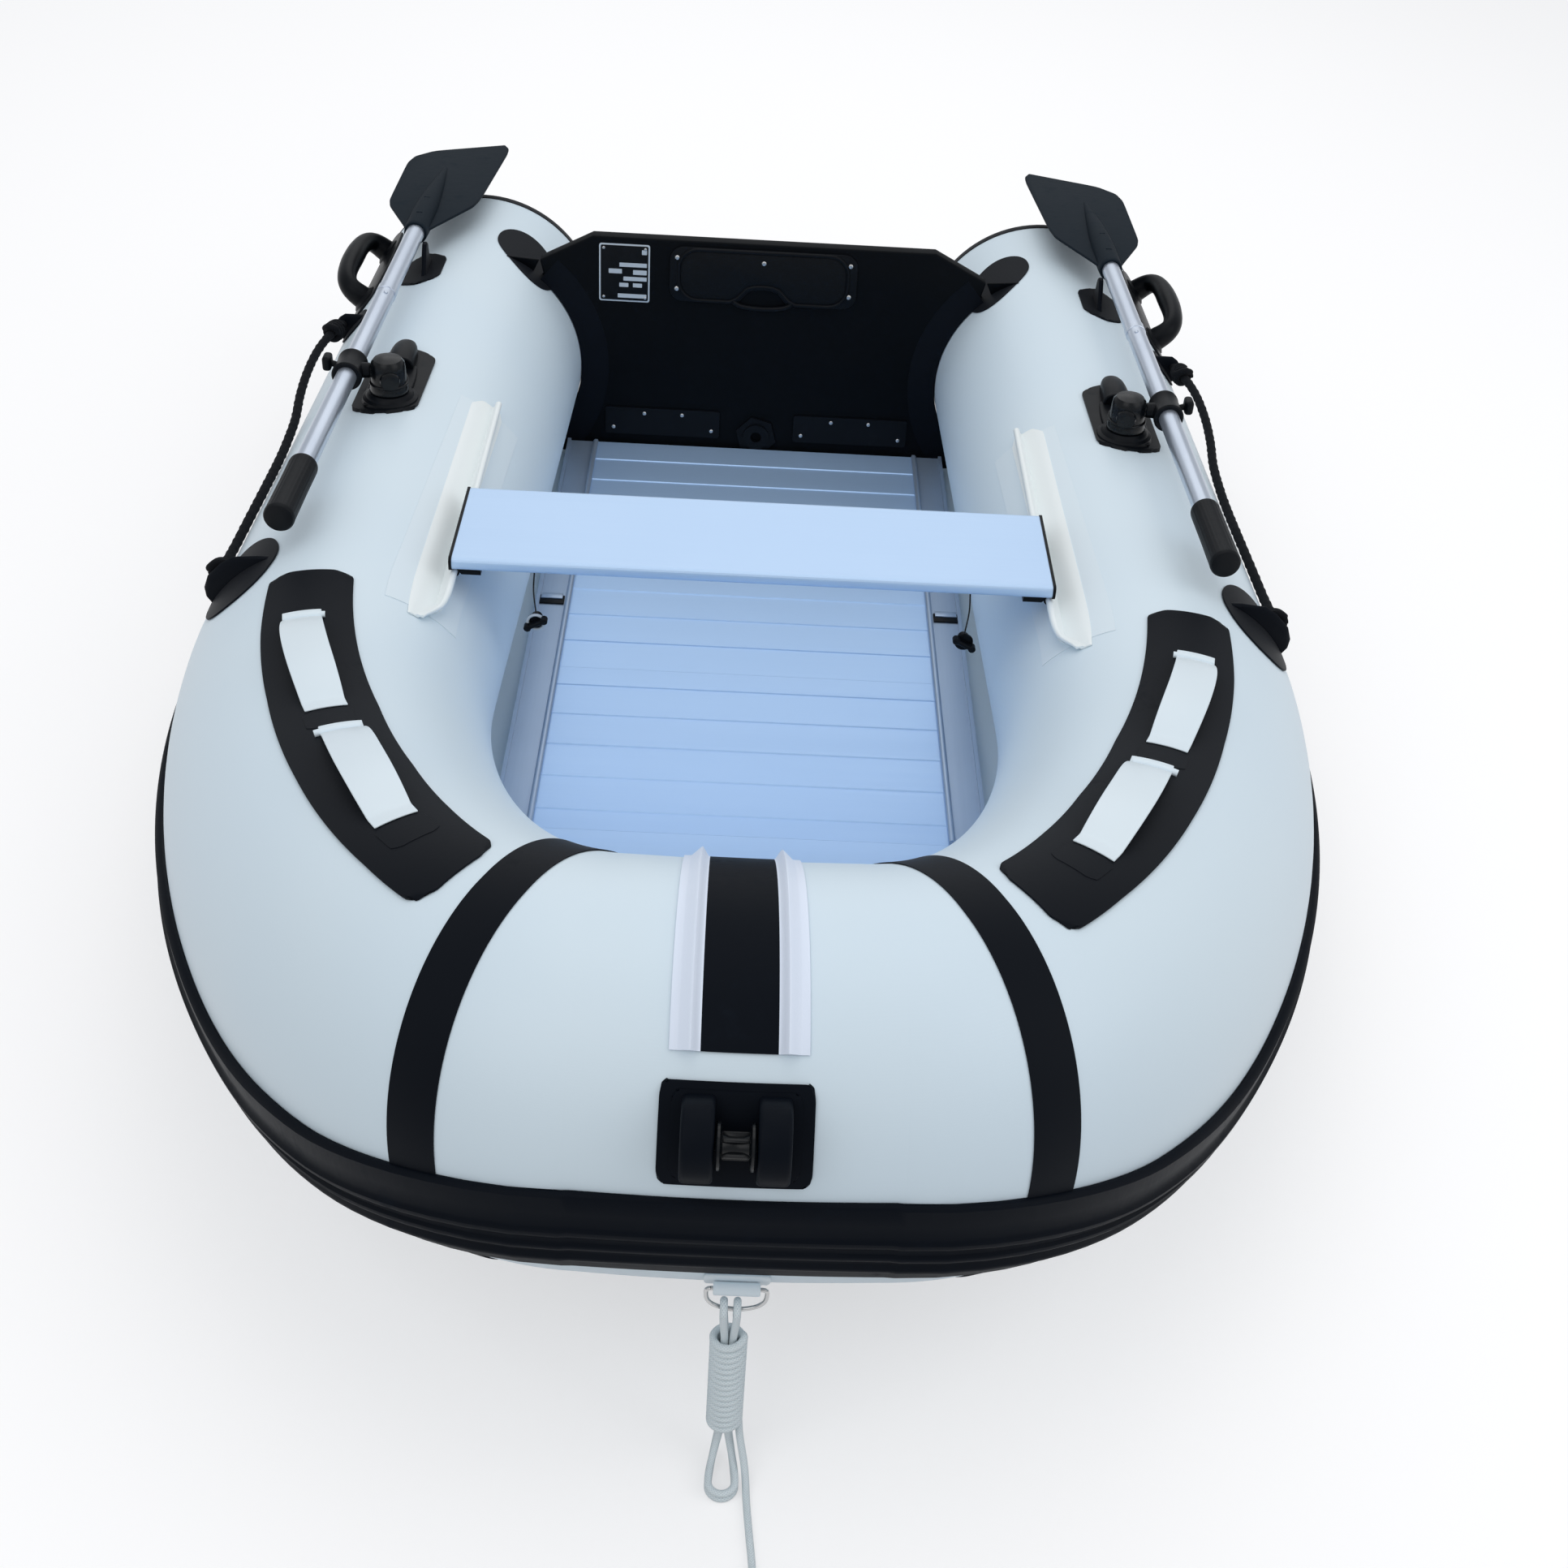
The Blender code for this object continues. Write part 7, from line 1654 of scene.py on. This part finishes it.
    def knot(self, name: str, centre: Vector, way: Vector) -> Piece:
        """Round turns of the line's own end, with one turn that crosses them."""
        way = way.normalized()
        across = way.cross(Z_AXIS).normalized()
        rise = across.cross(way)
        coil = [centre + way * (t - 0.5) * self.knot_length + self.knot_radius
                * (across * math.cos(2 * math.pi * self.knot_turns * t)
                   + rise * math.sin(2 * math.pi * self.knot_turns * t)) for t in spaced(0, 1, 60)]
        crossing = [centre + (way * 0.7 * math.cos(a) + across * 0.75 * math.sin(a)) * self.knot_length
                    + rise * (self.knot_radius * (0.75 + 0.35 * math.cos(2 * a)))
                    for a in spaced(-0.25 * math.pi, 1.25 * math.pi, 30)]
        cords = [along_route(f"{name}_{number}", smooth_route(path, 60), self.knot_cord, 14)
                 for number, path in enumerate((coil, crossing))]
        return joined(name, cords)

    def safety_line(self, side: Side) -> None:
        """Thick braided line along the side, with a bulge where it is tied to each patch."""
        points = on_side(self.route(), side)
        route = [points[0]] + smooth_route(points[1:-1], 120) + [points[-1]]
        line = along_route("safety_line_" + side.word, route, lambda t: 0.0068 + 0.0006 * math.sin(t * 300), 20)
        placed(line, BLACK_ROPE, side.word + "_safety_line")
        for word, place in (("aft", 5), ("fore", -6)):
            knot = self.knot(f"safety_knot_{word}_{side.word}", route[place], route[place + 1] - route[place - 1])
            placed(knot, BLACK_ROPE)
        length = sum((b - a).length for a, b in zip(route, route[1:]))
        tuple(route[0])
        [tuple(p) for p in route]

    def pad_place(self, u: float, v: float) -> Vector:
        """Point of the strap pad, whose corners are rounded."""
        first, last = self.pad_s
        corner = 0.02 / (last - first)
        u, v = rounded_share(packed_ends(u), 0.5 * v + 0.5 * packed_ends(v), 0.16, corner)
        outer = np.interp(v, *zip(*self.pad_outer))
        inner = np.interp(v, *zip(*self.pad_inner))
        return LINE.place(first + (last - first) * v, float(inner + (outer - inner) * u), 0.0007)

    def strap(self, name: str, span: Pair, angles: Pair, number: int) -> Piece:
        """Pale webbing strap that stands up between its welded ends, with one hemmed end folded under."""
        first, last = span
        half = math.degrees(self.strap_width / 2 / LINE.radius)
        run = last - first - 2 * self.landing

        def lift(s: float) -> float:
            """Height of the strap's underside."""
            share = min(max((s - first - self.landing) / run, 0), 1)
            return 0.0034 + self.strap_rise * (1 - abs(2 * share - 1) ** 2.6)

        def place(u: float, v: float) -> Vector:
            """Point of the strap."""
            s = first + (last - first) * v
            angle = angles[0] + (angles[1] - angles[0]) * v
            return LINE.place(s, angle + (1 - 2 * u) * half, lift(s))

        strap = pad_on(name, place, 10, 70, 0.0022, 0.45)
        fold_s = last - 0.004
        angle = angles[1] + (-1.6 if number == 0 else 1.2)

        def fold(u: float, v: float) -> Vector:
            """Point of the folded end, a flattened roll under the strap."""
            turn = math.pi * (0.5 + v)
            s = fold_s - 0.012 + 0.005 * math.cos(turn)
            return LINE.place(s, angle + (1 - 2 * u) * half * 1.04, 0.0052 + 0.0036 * math.sin(turn))

        hem = outward(skin(name + "_hem", fold, 10, 10))
        modifier(hem, "SOLIDIFY", thickness=0.0016, offset=0.0)
        return joined(name, [strap, smooth(outward(hem), 50)])

    def strap_patch(self, name: str, span: Pair, angles: Pair) -> Piece:
        """Thin weld patch at the strap's fore landing."""
        near, angle = span[0] - 0.026, angles[0]
        half = math.degrees((self.strap_width / 2 + 0.004) / LINE.radius)

        def place(u: float, v: float) -> Vector:
            """Point of the weld patch."""
            u, v = rounded_share(u, v, 0.1, 0.15)
            return LINE.place(near + (v - 0.5) * 0.048, angle + (1 - 2 * u) * half, 0.0029)

        return pad_on(name, place, 8, 8, 0.0006)


@dataclass
class Bow:
    """Strip over the bow, anchor roller, and the painter's tab and ring."""

    strip_half: float = 0.0305
    strip_fan: float = 0.1
    strip_lean: float = 0.005
    rail_width: float = 0.0255
    rail_height: float = 0.011
    strip_angles: Pair = (49.5, 150.0)
    roller_angle: float = 29.0
    roller_pad: Patch = field(default_factory=lambda: Patch(0.0, 0.061, 29.0, 13.4, 0.0034, corner=0.008))
    cheek_inner: float = 0.019
    cheek_thickness: float = 0.03
    cheek_half: float = 0.038
    cheek_proud: float = 0.05
    cheek_round: float = 0.034
    axle_proud: float = 0.0285
    tab_x: float = 0.008
    tab_half: float = 0.029
    tab_angles: Pair = (-33.5, -22.5)
    loop_angle: float = -27.5
    loop_radius: float = 0.0065
    rod_radius: float = 0.0022
    ring_half: float = 0.029
    ring_drop: float = 0.03
    ring_lift: float = 0.0105
    squareness: float = 0.65

    def build(self) -> None:
        """Builds the bow's fittings."""
        self.strip()
        self.roller()
        self.tab_and_ring()

    def strip(self) -> None:
        """Black strip with a pale ridged rail down each side."""
        low, high = self.strip_angles

        def strip_place(u: float, v: float) -> Vector:
            """Point of the strip."""
            return self.on_strip((2 * u - 1) * (self.strip_half + 0.0004), high + (low - high) * v, Side.PORT, 0.0006)

        strip = outward(skin("bow_strip", strip_place, 12, 90))
        modifier(strip, "SOLIDIFY", thickness=0.0016, offset=1.0)
        placed(smooth(outward(strip), 40), BLACK_RUBBER, "bow_protector")
        shares = ((-0.5, 0.03), (-0.49, 0.12), (-0.44, 0.16), (-0.4, 0.24), (-0.3, 0.6), (-0.21, 0.93),
                  (-0.18, 1.0), (-0.15, 0.98), (-0.1, 0.88), (0.05, 0.54), (0.2, 0.2), (0.25, 0.14),
                  (0.49, 0.12), (0.5, 0.03))
        middle = self.strip_half + self.rail_width / 2
        for side in Side:
            rings = []
            for angle in spaced(low, high, 96):
                ring = [self.on_strip(middle + a * self.rail_width, angle, side, 0.0008 + self.rail_height * h)
                        for a, h in shares]
                ring += [self.on_strip(middle + a * self.rail_width, angle, side, 0.0004) for a in (0.3, 0.0, -0.3)]
                rings.append(ring)
            placed(outward(lofted("bow_rail_" + side.word, rings, 60), 0.0), RAIL_CLOTH)

    def on_strip(self, across: float, angle: float, side: Side, lift: float) -> Vector:
        """Point beside the strip's middle line, which leans and widens a little towards its top."""
        low, high = self.strip_angles
        share = (angle - low) / (high - low)
        return LINE.place(side.value * across * (1 + self.strip_fan * share) - self.strip_lean * share, angle, lift)

    def roller_frame(self) -> tuple[Vector, Vector, Vector]:
        """Skin point, outward normal and upward direction at the roller."""
        normal = LINE.normal(0, self.roller_angle)
        up = normal.cross(X_AXIS)
        return LINE.place(0, self.roller_angle), normal, up if up.z > 0 else -up

    def roller(self) -> None:
        """Housing with two rounded cheeks, its axle and the spool."""
        foot, normal, up = self.roller_frame()
        pad = self.roller_pad

        def pad_place(u: float, v: float, share: float = 1.0) -> Vector:
            """Point of the roller's pad, or of the plinth on it."""
            width = 2 * math.radians(pad.half_angle) * LINE.radius
            u, v = rounded_share(packed_ends(u), packed_ends(v), pad.corner / width, pad.corner / 2 / pad.half)
            return LINE.place((2 * v - 1) * pad.half * share, pad.angle + (1 - 2 * u) * pad.half_angle * share,
                              pad.lift)

        pieces = [pad_on("roller_pad", pad_place, 20, 20, pad.thickness),
                  pad_on("roller_plinth", lambda u, v: pad_place(u, v, 0.84), 20, 20, 0.0052)]
        outline = [(a, math.sqrt((LINE.radius + 0.0026) ** 2 - a * a) - LINE.radius)
                   for a in spaced(-self.cheek_half, self.cheek_half, 8)]
        shoulder = self.cheek_proud - self.cheek_round
        outline += [(self.cheek_half * math.cos(a), shoulder + self.cheek_round * math.sin(a))
                    for a in spaced(0, math.pi, 24)]
        axle = foot + normal * self.axle_proud
        for side in Side:
            low = self.cheek_inner if side is Side.PORT else -self.cheek_inner - self.cheek_thickness
            points = [foot + up * a + normal * b + X_AXIS * low for a, b in outline]
            pieces.append(plate("cheek_" + side.word, points, X_AXIS * self.cheek_thickness, 0.0045, 4))
        pieces.append(turned("roller_axle", ((0.004, -0.034), (0.004, 0.034)), X_AXIS, axle, 24))
        placed(joined("roller_housing", pieces), BLACK_RUBBER, "roller_base", slot="black_plastic")
        spool = turned("roller_spool", ((0.0044, -0.0174), (0.02, -0.0175), (0.0215, -0.0163), (0.0215, -0.014),
                                        (0.0198, -0.0128), (0.0118, -0.0116), (0.0092, -0.006), (0.0086, 0.0),
                                        (0.0092, 0.006), (0.0118, 0.0116), (0.0198, 0.0128), (0.0215, 0.014),
                                        (0.0215, 0.0163), (0.02, 0.0175), (0.0044, 0.0174)), X_AXIS, axle, 56)
        ribs = [spool]
        for k in range(5):
            rib = block(f"spool_rib_{k}", (-0.0124, -0.0018, 0.006), (0.0124, 0.0018, 0.0132), 0.0012)
            turn = Matrix.Translation(axle) @ Matrix.Rotation(2 * math.pi * k / 5 + 0.3, 4, "X")
            ribs.append(moved(rib, turn))
        placed(joined("anchor_spool", ribs), GLOSS_PLASTIC, "anchor_roller", body="roller")

    def ring_pivot(self) -> Vector:
        """Middle of the ring's straight bar."""
        return LINE.place(self.tab_x, self.loop_angle, self.ring_lift)

    def tab_and_ring(self) -> None:
        """Pale tab with its sleeve, and the steel ring."""
        low, high = self.tab_angles

        def tab_place(u: float, v: float) -> Vector:
            """Point of the tab."""
            u, v = oval(u, v, 0.2)
            return LINE.place(self.tab_x + (2 * v - 1) * self.tab_half, low + (high - low) * (1 - u), 0.0006)

        tab = pad_on("painter_tab_pad", tab_place, 10, 18, 0.003)
        pivot = self.ring_pivot()
        reach = self.ring_half - 3 * self.rod_radius
        sleeve = turned("painter_sleeve", ((self.loop_radius - 0.0012, -reach), (self.loop_radius, -reach + 0.0012),
                                           (self.loop_radius, reach - 0.0012), (self.loop_radius - 0.0012, reach)),
                        X_AXIS, pivot, 32)
        placed(joined("painter_tab_pale", [tab, sleeve]), STRAP_CLOTH, "painter_tab")
        corner = self.rod_radius * 2
        path = [(corner - self.ring_half, 0), (0, 0), (self.ring_half - corner, 0)]
        path += [(self.ring_half - corner * (1 - math.sin(a)), -corner * (1 - math.cos(a))) for a in (0.5, 1.05)]
        depth = self.ring_drop - corner
        path += [(self.ring_half * math.cos(a), -corner - depth * max(0, math.sin(a)) ** self.squareness)
                 for a in spaced(0, math.pi, 36)]
        path += [(corner * (1 - math.sin(a)) - self.ring_half, -corner * (1 - math.cos(a))) for a in (1.05, 0.5)]
        points = [pivot + Vector((x, 0, z)) for x, z in path + path[:1]]
        ring = along_route("painter_ring_steel", points, self.rod_radius, 16, up=Y_AXIS)
        placed(ring, STEEL, "painter_ring", body="ring")


@dataclass
class Painter:
    """Long white rope, hitched over the ring, doubled and wrapped into a hank, with a knotted tail."""

    bow: Bow
    width: float = 0.0076
    x: float = 0.004
    spacing: float = 0.0041
    spread: float = 0.0077
    wrap_top_z: float = 0.19
    wrap_count: int = 16
    wrap_pitch: float = 0.0087
    wrap_radius: float = 0.0147
    bend: float = 0.03
    lay_z: float = 0.0087
    bight_radius: float = 0.0135
    wrap_points: int = 12
    bight_run: float = 0.012
    hitch_half: float = 0.0065
    end_run: float = 0.022
    lead: int = 200
    lead_rise: float = 0.007
    lead_proud: float = 0.0004
    knot_size: float = 0.0078
    knot_half: float = 0.0068
    knot_end: float = 0.012
    gap: float = 0.0003

    def __post_init__(self) -> None:
        """Works out the hank's height, top and straight run."""
        self.top = self.bow.ring_pivot() - Z_AXIS * self.bow.ring_drop
        self.straight = self.top.z - self.lay_z - self.bend
        self.wrap_top = self.top.z - self.wrap_top_z
        self.bight = self.straight + self.bend * math.pi / 2 + self.bight_run
        self.wraps_end = self.wrap_top + self.wrap_count * self.wrap_pitch

    def point(self, x: float, front: float, down: float) -> Vector:
        """Point of the hank from its place across, its place towards the front and the run down its axis."""
        turn = min(max((down - self.straight) / self.bend, 0), math.pi / 2)
        ahead = self.bend * (1 - math.cos(turn)) + max(0, down - self.straight - self.bend * math.pi / 2)
        fall = min(down, self.straight) + self.bend * math.sin(turn)
        return Vector((self.x + x, self.top.y - ahead - front * math.cos(turn),
                       self.top.z - fall + front * math.sin(turn)))

    def run(self, x: Pair, front: Pair, down: Pair, count: int) -> list[Vector]:
        """Points of one strand between two places along the hank."""
        points = []
        for k in range(count + 1):
            share = smooth_step(0, 1, k / count)
            points.append(self.point(x[0] + (x[1] - x[0]) * share, front[0] + (front[1] - front[0]) * share,
                                     down[0] + (down[1] - down[0]) * k / count))
        return points

    def over_ring(self, x: float, first: int) -> list[Vector]:
        """Half turn over the ring's bar, starting at the back (-1) or at the front (1)."""
        return [self.point(x, first * self.spread * math.cos(a), -self.spread * math.sin(a))
                for a in spaced(0, math.pi, 6)]

    def round_bight(self, front: float, way: int) -> list[Vector]:
        """Half turn at the free end of the hank."""
        return [self.point(way * self.bight_radius * math.cos(a), front, self.bight + self.bight_radius * math.sin(a))
                for a in spaced(0, math.pi, 8)]

    def strand(self, way: int, front: float, down_first: bool) -> list[Vector]:
        """Strand between the ring and the bight."""
        near, far = way * self.spacing, way * self.bight_radius
        points = self.run((way * self.hitch_half, near), (math.copysign(self.spread, front), front),
                          (0, self.wrap_top), 3)
        points += self.run((near, near), (front, front), (self.wrap_top, self.wraps_end), 3)[1:]
        points += self.run((near, far), (front, front), (self.wraps_end, self.bight), 8)[1:]
        return points if down_first else points[::-1]

    def route(self) -> list[Vector]:
        """Whole route, as the CAD has it."""
        half, spread, spacing = self.hitch_half, self.spread, self.spacing
        route = self.run((half, half), (-spread, -spread), (self.end_run, 0), 2)
        route += self.over_ring(half, -1)[1:]
        route += self.strand(1, spacing, True)[1:]
        route += self.round_bight(spacing, 1)[1:]
        route += self.strand(-1, spacing, False)[1:]
        route += self.over_ring(-half, 1)[1:]
        route += self.strand(-1, -spacing, True)[1:]
        route += self.round_bight(-spacing, -1)[1:]
        route += [p for p in self.strand(1, -spacing, False)[1:] if p.z < self.top.z - self.wrap_top - self.gap]
        corner = math.hypot(spacing, spacing)
        start = self.wrap_top - self.lead_rise / 3
        climb = self.wrap_top - self.lead_rise
        for degrees in spaced(-45, self.lead, 13):
            out = smooth_step(-45, 15, degrees)
            radius = corner + (self.wrap_radius + self.lead_proud - corner) * out
            down = (start + (climb - start) * out if degrees < 15 else
                    climb + self.lead_rise * (degrees - 15) / (self.lead - 15))
            angle = math.radians(degrees)
            route.append(self.point(radius * math.cos(angle), radius * math.sin(angle), down))
        for k in range(1, int(self.wrap_count * self.wrap_points - self.lead / 360 * self.wrap_points) + 1):
            angle = math.radians(self.lead) + 2 * math.pi * k / self.wrap_points
            route.append(self.point(self.wrap_radius * math.cos(angle), self.wrap_radius * math.sin(angle),
                                    self.wrap_top + self.wrap_pitch * k / self.wrap_points))
        return route + self.tail(route[-1])

    def tail(self, start: Vector) -> list[Vector]:
        """Tail along the ground, ending in an overhand knot."""
        x, y, size = self.x, self.bow.ring_pivot().y, self.knot_size
        open_turn = math.acos(-0.7723)
        knot_z = self.width / 2 + self.gap + self.knot_half
        middle = Vector((x + 0.034 + 1.327 * size, y - 0.176 - 1.161 * size, knot_z))
        knot = []
        for t in spaced(2 * math.pi - open_turn, 2 * math.pi + open_turn, 29):
            knot.append(middle - Vector((size * (math.sin(t) + 2 * math.sin(2 * t)),
                                         size * (math.cos(t) - 2 * math.cos(2 * t)),
                                         self.knot_half * math.sin(3 * t))))
        places = [start, Vector((x + 0.017, y - 0.01, 0.04)), Vector((x + 0.0215, y - 0.022, 0.023)),
                  Vector((x + 0.0245, y - 0.038, 0.0085)), Vector((x + 0.026, y - 0.06, 0.0042)),
                  Vector((x + 0.03, y - 0.1, 0.0042)), Vector((x + 0.033, y - 0.13, 0.0046)), knot[0]]
        return smooth_route(places, 14)[1:] + knot[1:] + [knot[-1] + Y_AXIS * self.knot_end]

    def build(self) -> None:
        points = self.route()
        length = sum((b - a).length for a, b in zip(points, points[1:]))
        dense = smooth_route(points, 1400)
        rope = along_route("painter_rope", dense, self.width / 2, 16)
        placed(rope, PALE_ROPE, "painter", body="ring")


@dataclass
class Valves:
    """Air valves with their caps."""

    cap: float = 0.019
    stern_y: float = 1.06
    stern_angle: float = 150.0
    bow_s: float = 0.085
    bow_angle: float = 158.0

    def build(self) -> None:
        """Builds the three valves."""
        for side in Side:
            self.valve(side.word, LINE.s_at(self.stern_y), self.stern_angle, side)
        self.valve("bow", self.bow_s, self.bow_angle, Side.PORT)

    def valve(self, name: str, s: float, angle: float, side: Side) -> None:
        """Flange, grip ring and cap of one valve."""
        foot, normal = LINE.place(s, angle), LINE.normal(s, angle)
        flange = turned("valve_flange_" + name,
                        ((0.03, -0.002), (0.03, 0.0016), (0.0288, 0.0026), (0.024, 0.0034), (0.0218, 0.0036),
                         (0.0212, 0.0028)), normal, foot, 56)
        cap = turned("valve_cap_" + name,
                     ((self.cap, 0.0016), (self.cap, 0.0052), (self.cap - 0.001, 0.0066),
                      (self.cap - 0.005, 0.0076), (0.01, 0.0074), (0.0092, 0.0064)), normal, foot, 56)
        turn = frame_between(LINE.direction(s), normal, foot)
        bar = block("valve_bar_" + name, (-0.0085, -0.0022, 0.006), (0.0085, 0.0022, 0.008), 0.0008)
        piece = joined("valve_body_" + name, [flange, cap, moved(bar, turn)])
        placed(piece, BLACK_PLASTIC, "valve_" + name, side=side)


class Light(Enum):
    """Area lights of the studio: place, target, size and power."""

    KEY = ((-2.2, -3.4, 4.2), (0.0, -0.2, 0.2), 3.6, 40.0)
    FILL = ((3.2, -1.6, 3.0), (0.0, 0.0, 0.2), 3.2, 30.0)
    BACK = ((0.0, 3.6, 3.4), (0.0, 0.3, 0.2), 3.6, 30.0)
    TOP = ((0.0, 0.2, 4.6), (0.0, 0.2, 0.0), 3.0, 26.0)


@dataclass
class Studio:
    """Floor, lights and camera."""

    eye: Triple = (-0.0206, -2.2901 + SHIFT_Y, 1.7582)
    pitch: float = 0.6526
    yaw: float = 0.0355
    roll: float = 0.0672
    focal_px: float = 2380.8
    frame_px: float = 1932.0
    centre_px: tuple[float, float] = (965.4, 957.0)
    floor_size: float = 60.0

    def build(self) -> None:
        """Makes the studio."""
        self.camera()
        self.floor()
        for light in Light:
            self.lamp(light)
        self.world()

    def linked(self, name: str, data: bpy.types.ID) -> Piece:
        """Object of a camera or light, added to the scene."""
        obj = bpy.data.objects.new(name, data)
        bpy.context.scene.collection.objects.link(obj)
        return obj

    def camera(self) -> None:
        """Camera fitted to the photograph."""
        data = bpy.data.cameras.new("camera")
        obj = self.linked("camera", data)
        ahead = Vector((math.sin(self.yaw) * math.cos(self.pitch), math.cos(self.yaw) * math.cos(self.pitch),
                        -math.sin(self.pitch)))
        right = ahead.cross(Z_AXIS).normalized()
        up = right.cross(ahead)
        right, up = (math.cos(self.roll) * right + math.sin(self.roll) * up,
                     -math.sin(self.roll) * right + math.cos(self.roll) * up)
        obj.matrix_world = frame_of(right, up, -ahead, self.eye)
        data.sensor_width = 36.0
        data.lens = 36.0 * self.focal_px / self.frame_px
        half = self.frame_px / 2
        data.shift_x = (half - self.centre_px[0]) / self.frame_px
        data.shift_y = (self.centre_px[1] - half) / self.frame_px
        data.clip_end = 200.0
        bpy.context.scene.camera = obj

    def floor(self) -> None:
        """Plain pale floor that keeps the boat's shadow."""
        deselect()
        bpy.ops.mesh.primitive_plane_add(size=self.floor_size)
        floor = newest("studio_floor")
        dye = Dye("studio_floor_finish")
        path = dye.node("ShaderNodeLightPath")
        seen = Shade(dye, path.outputs["Is Camera Ray"]).larger(Shade(dye, path.outputs["Is Glossy Ray"]))
        dye.set(Base_Color=(0.6, 0.6, 0.6), Roughness=1.0, Specular_IOR_Level=0.0)
        glow = dye.node("ShaderNodeEmission", {}, {"Color": WHITE, "Strength": seen * 0.5})
        both = dye.node("ShaderNodeAddShader", {}, {0: dye.shader.outputs[0], 1: glow.outputs[0]})
        output = next(n for n in dye.tree.nodes if n.type == "OUTPUT_MATERIAL")
        dye.feed(output.inputs["Surface"], both.outputs[0])
        floor.data.materials.append(dye.material)

    def lamp(self, light: Light) -> None:
        """Soft square light."""
        place, target, size, power = light.value
        data = bpy.data.lights.new(light.name.lower(), "AREA")
        data.size = size
        data.energy = power
        obj = self.linked(light.name.lower(), data)
        obj.location = place
        obj.rotation_euler = (Vector(target) - Vector(place)).to_track_quat("-Z", "Y").to_euler()

    def world(self) -> None:
        """Soft white surroundings, plain white where they are seen."""
        world = bpy.data.worlds.new("studio")
        bpy.context.scene.world = world
        world.use_nodes = True
        tree = world.node_tree
        background = tree.nodes["Background"]
        background.inputs["Color"].default_value = (0.93, 0.96, 1.0, 1)
        background.inputs["Strength"].default_value = 0.56
        white = tree.nodes.new("ShaderNodeBackground")
        white.inputs["Color"].default_value = (*WHITE, 1)
        path = tree.nodes.new("ShaderNodeLightPath")
        mix = tree.nodes.new("ShaderNodeMixShader")
        tree.links.new(path.outputs["Is Camera Ray"], mix.inputs[0])
        tree.links.new(background.outputs[0], mix.inputs[1])
        tree.links.new(white.outputs[0], mix.inputs[2])
        tree.links.new(mix.outputs[0], tree.nodes["World Output"].inputs["Surface"])


def main() -> None:
    """Builds every sub-assembly around the frame."""
    logging.basicConfig(level=logging.INFO, format="%(message)s")
    bpy.context.scene.view_settings.view_transform = "Standard"
    Studio().build()
    bow = Bow()
    for assembly in (Hull(), Transom(), Floor(), Bench(), Oar(), Rowlock(), SideFittings(), bow, Painter(bow),
                     Valves()):
        assembly.build()


if __name__ == "__main__":
    main()
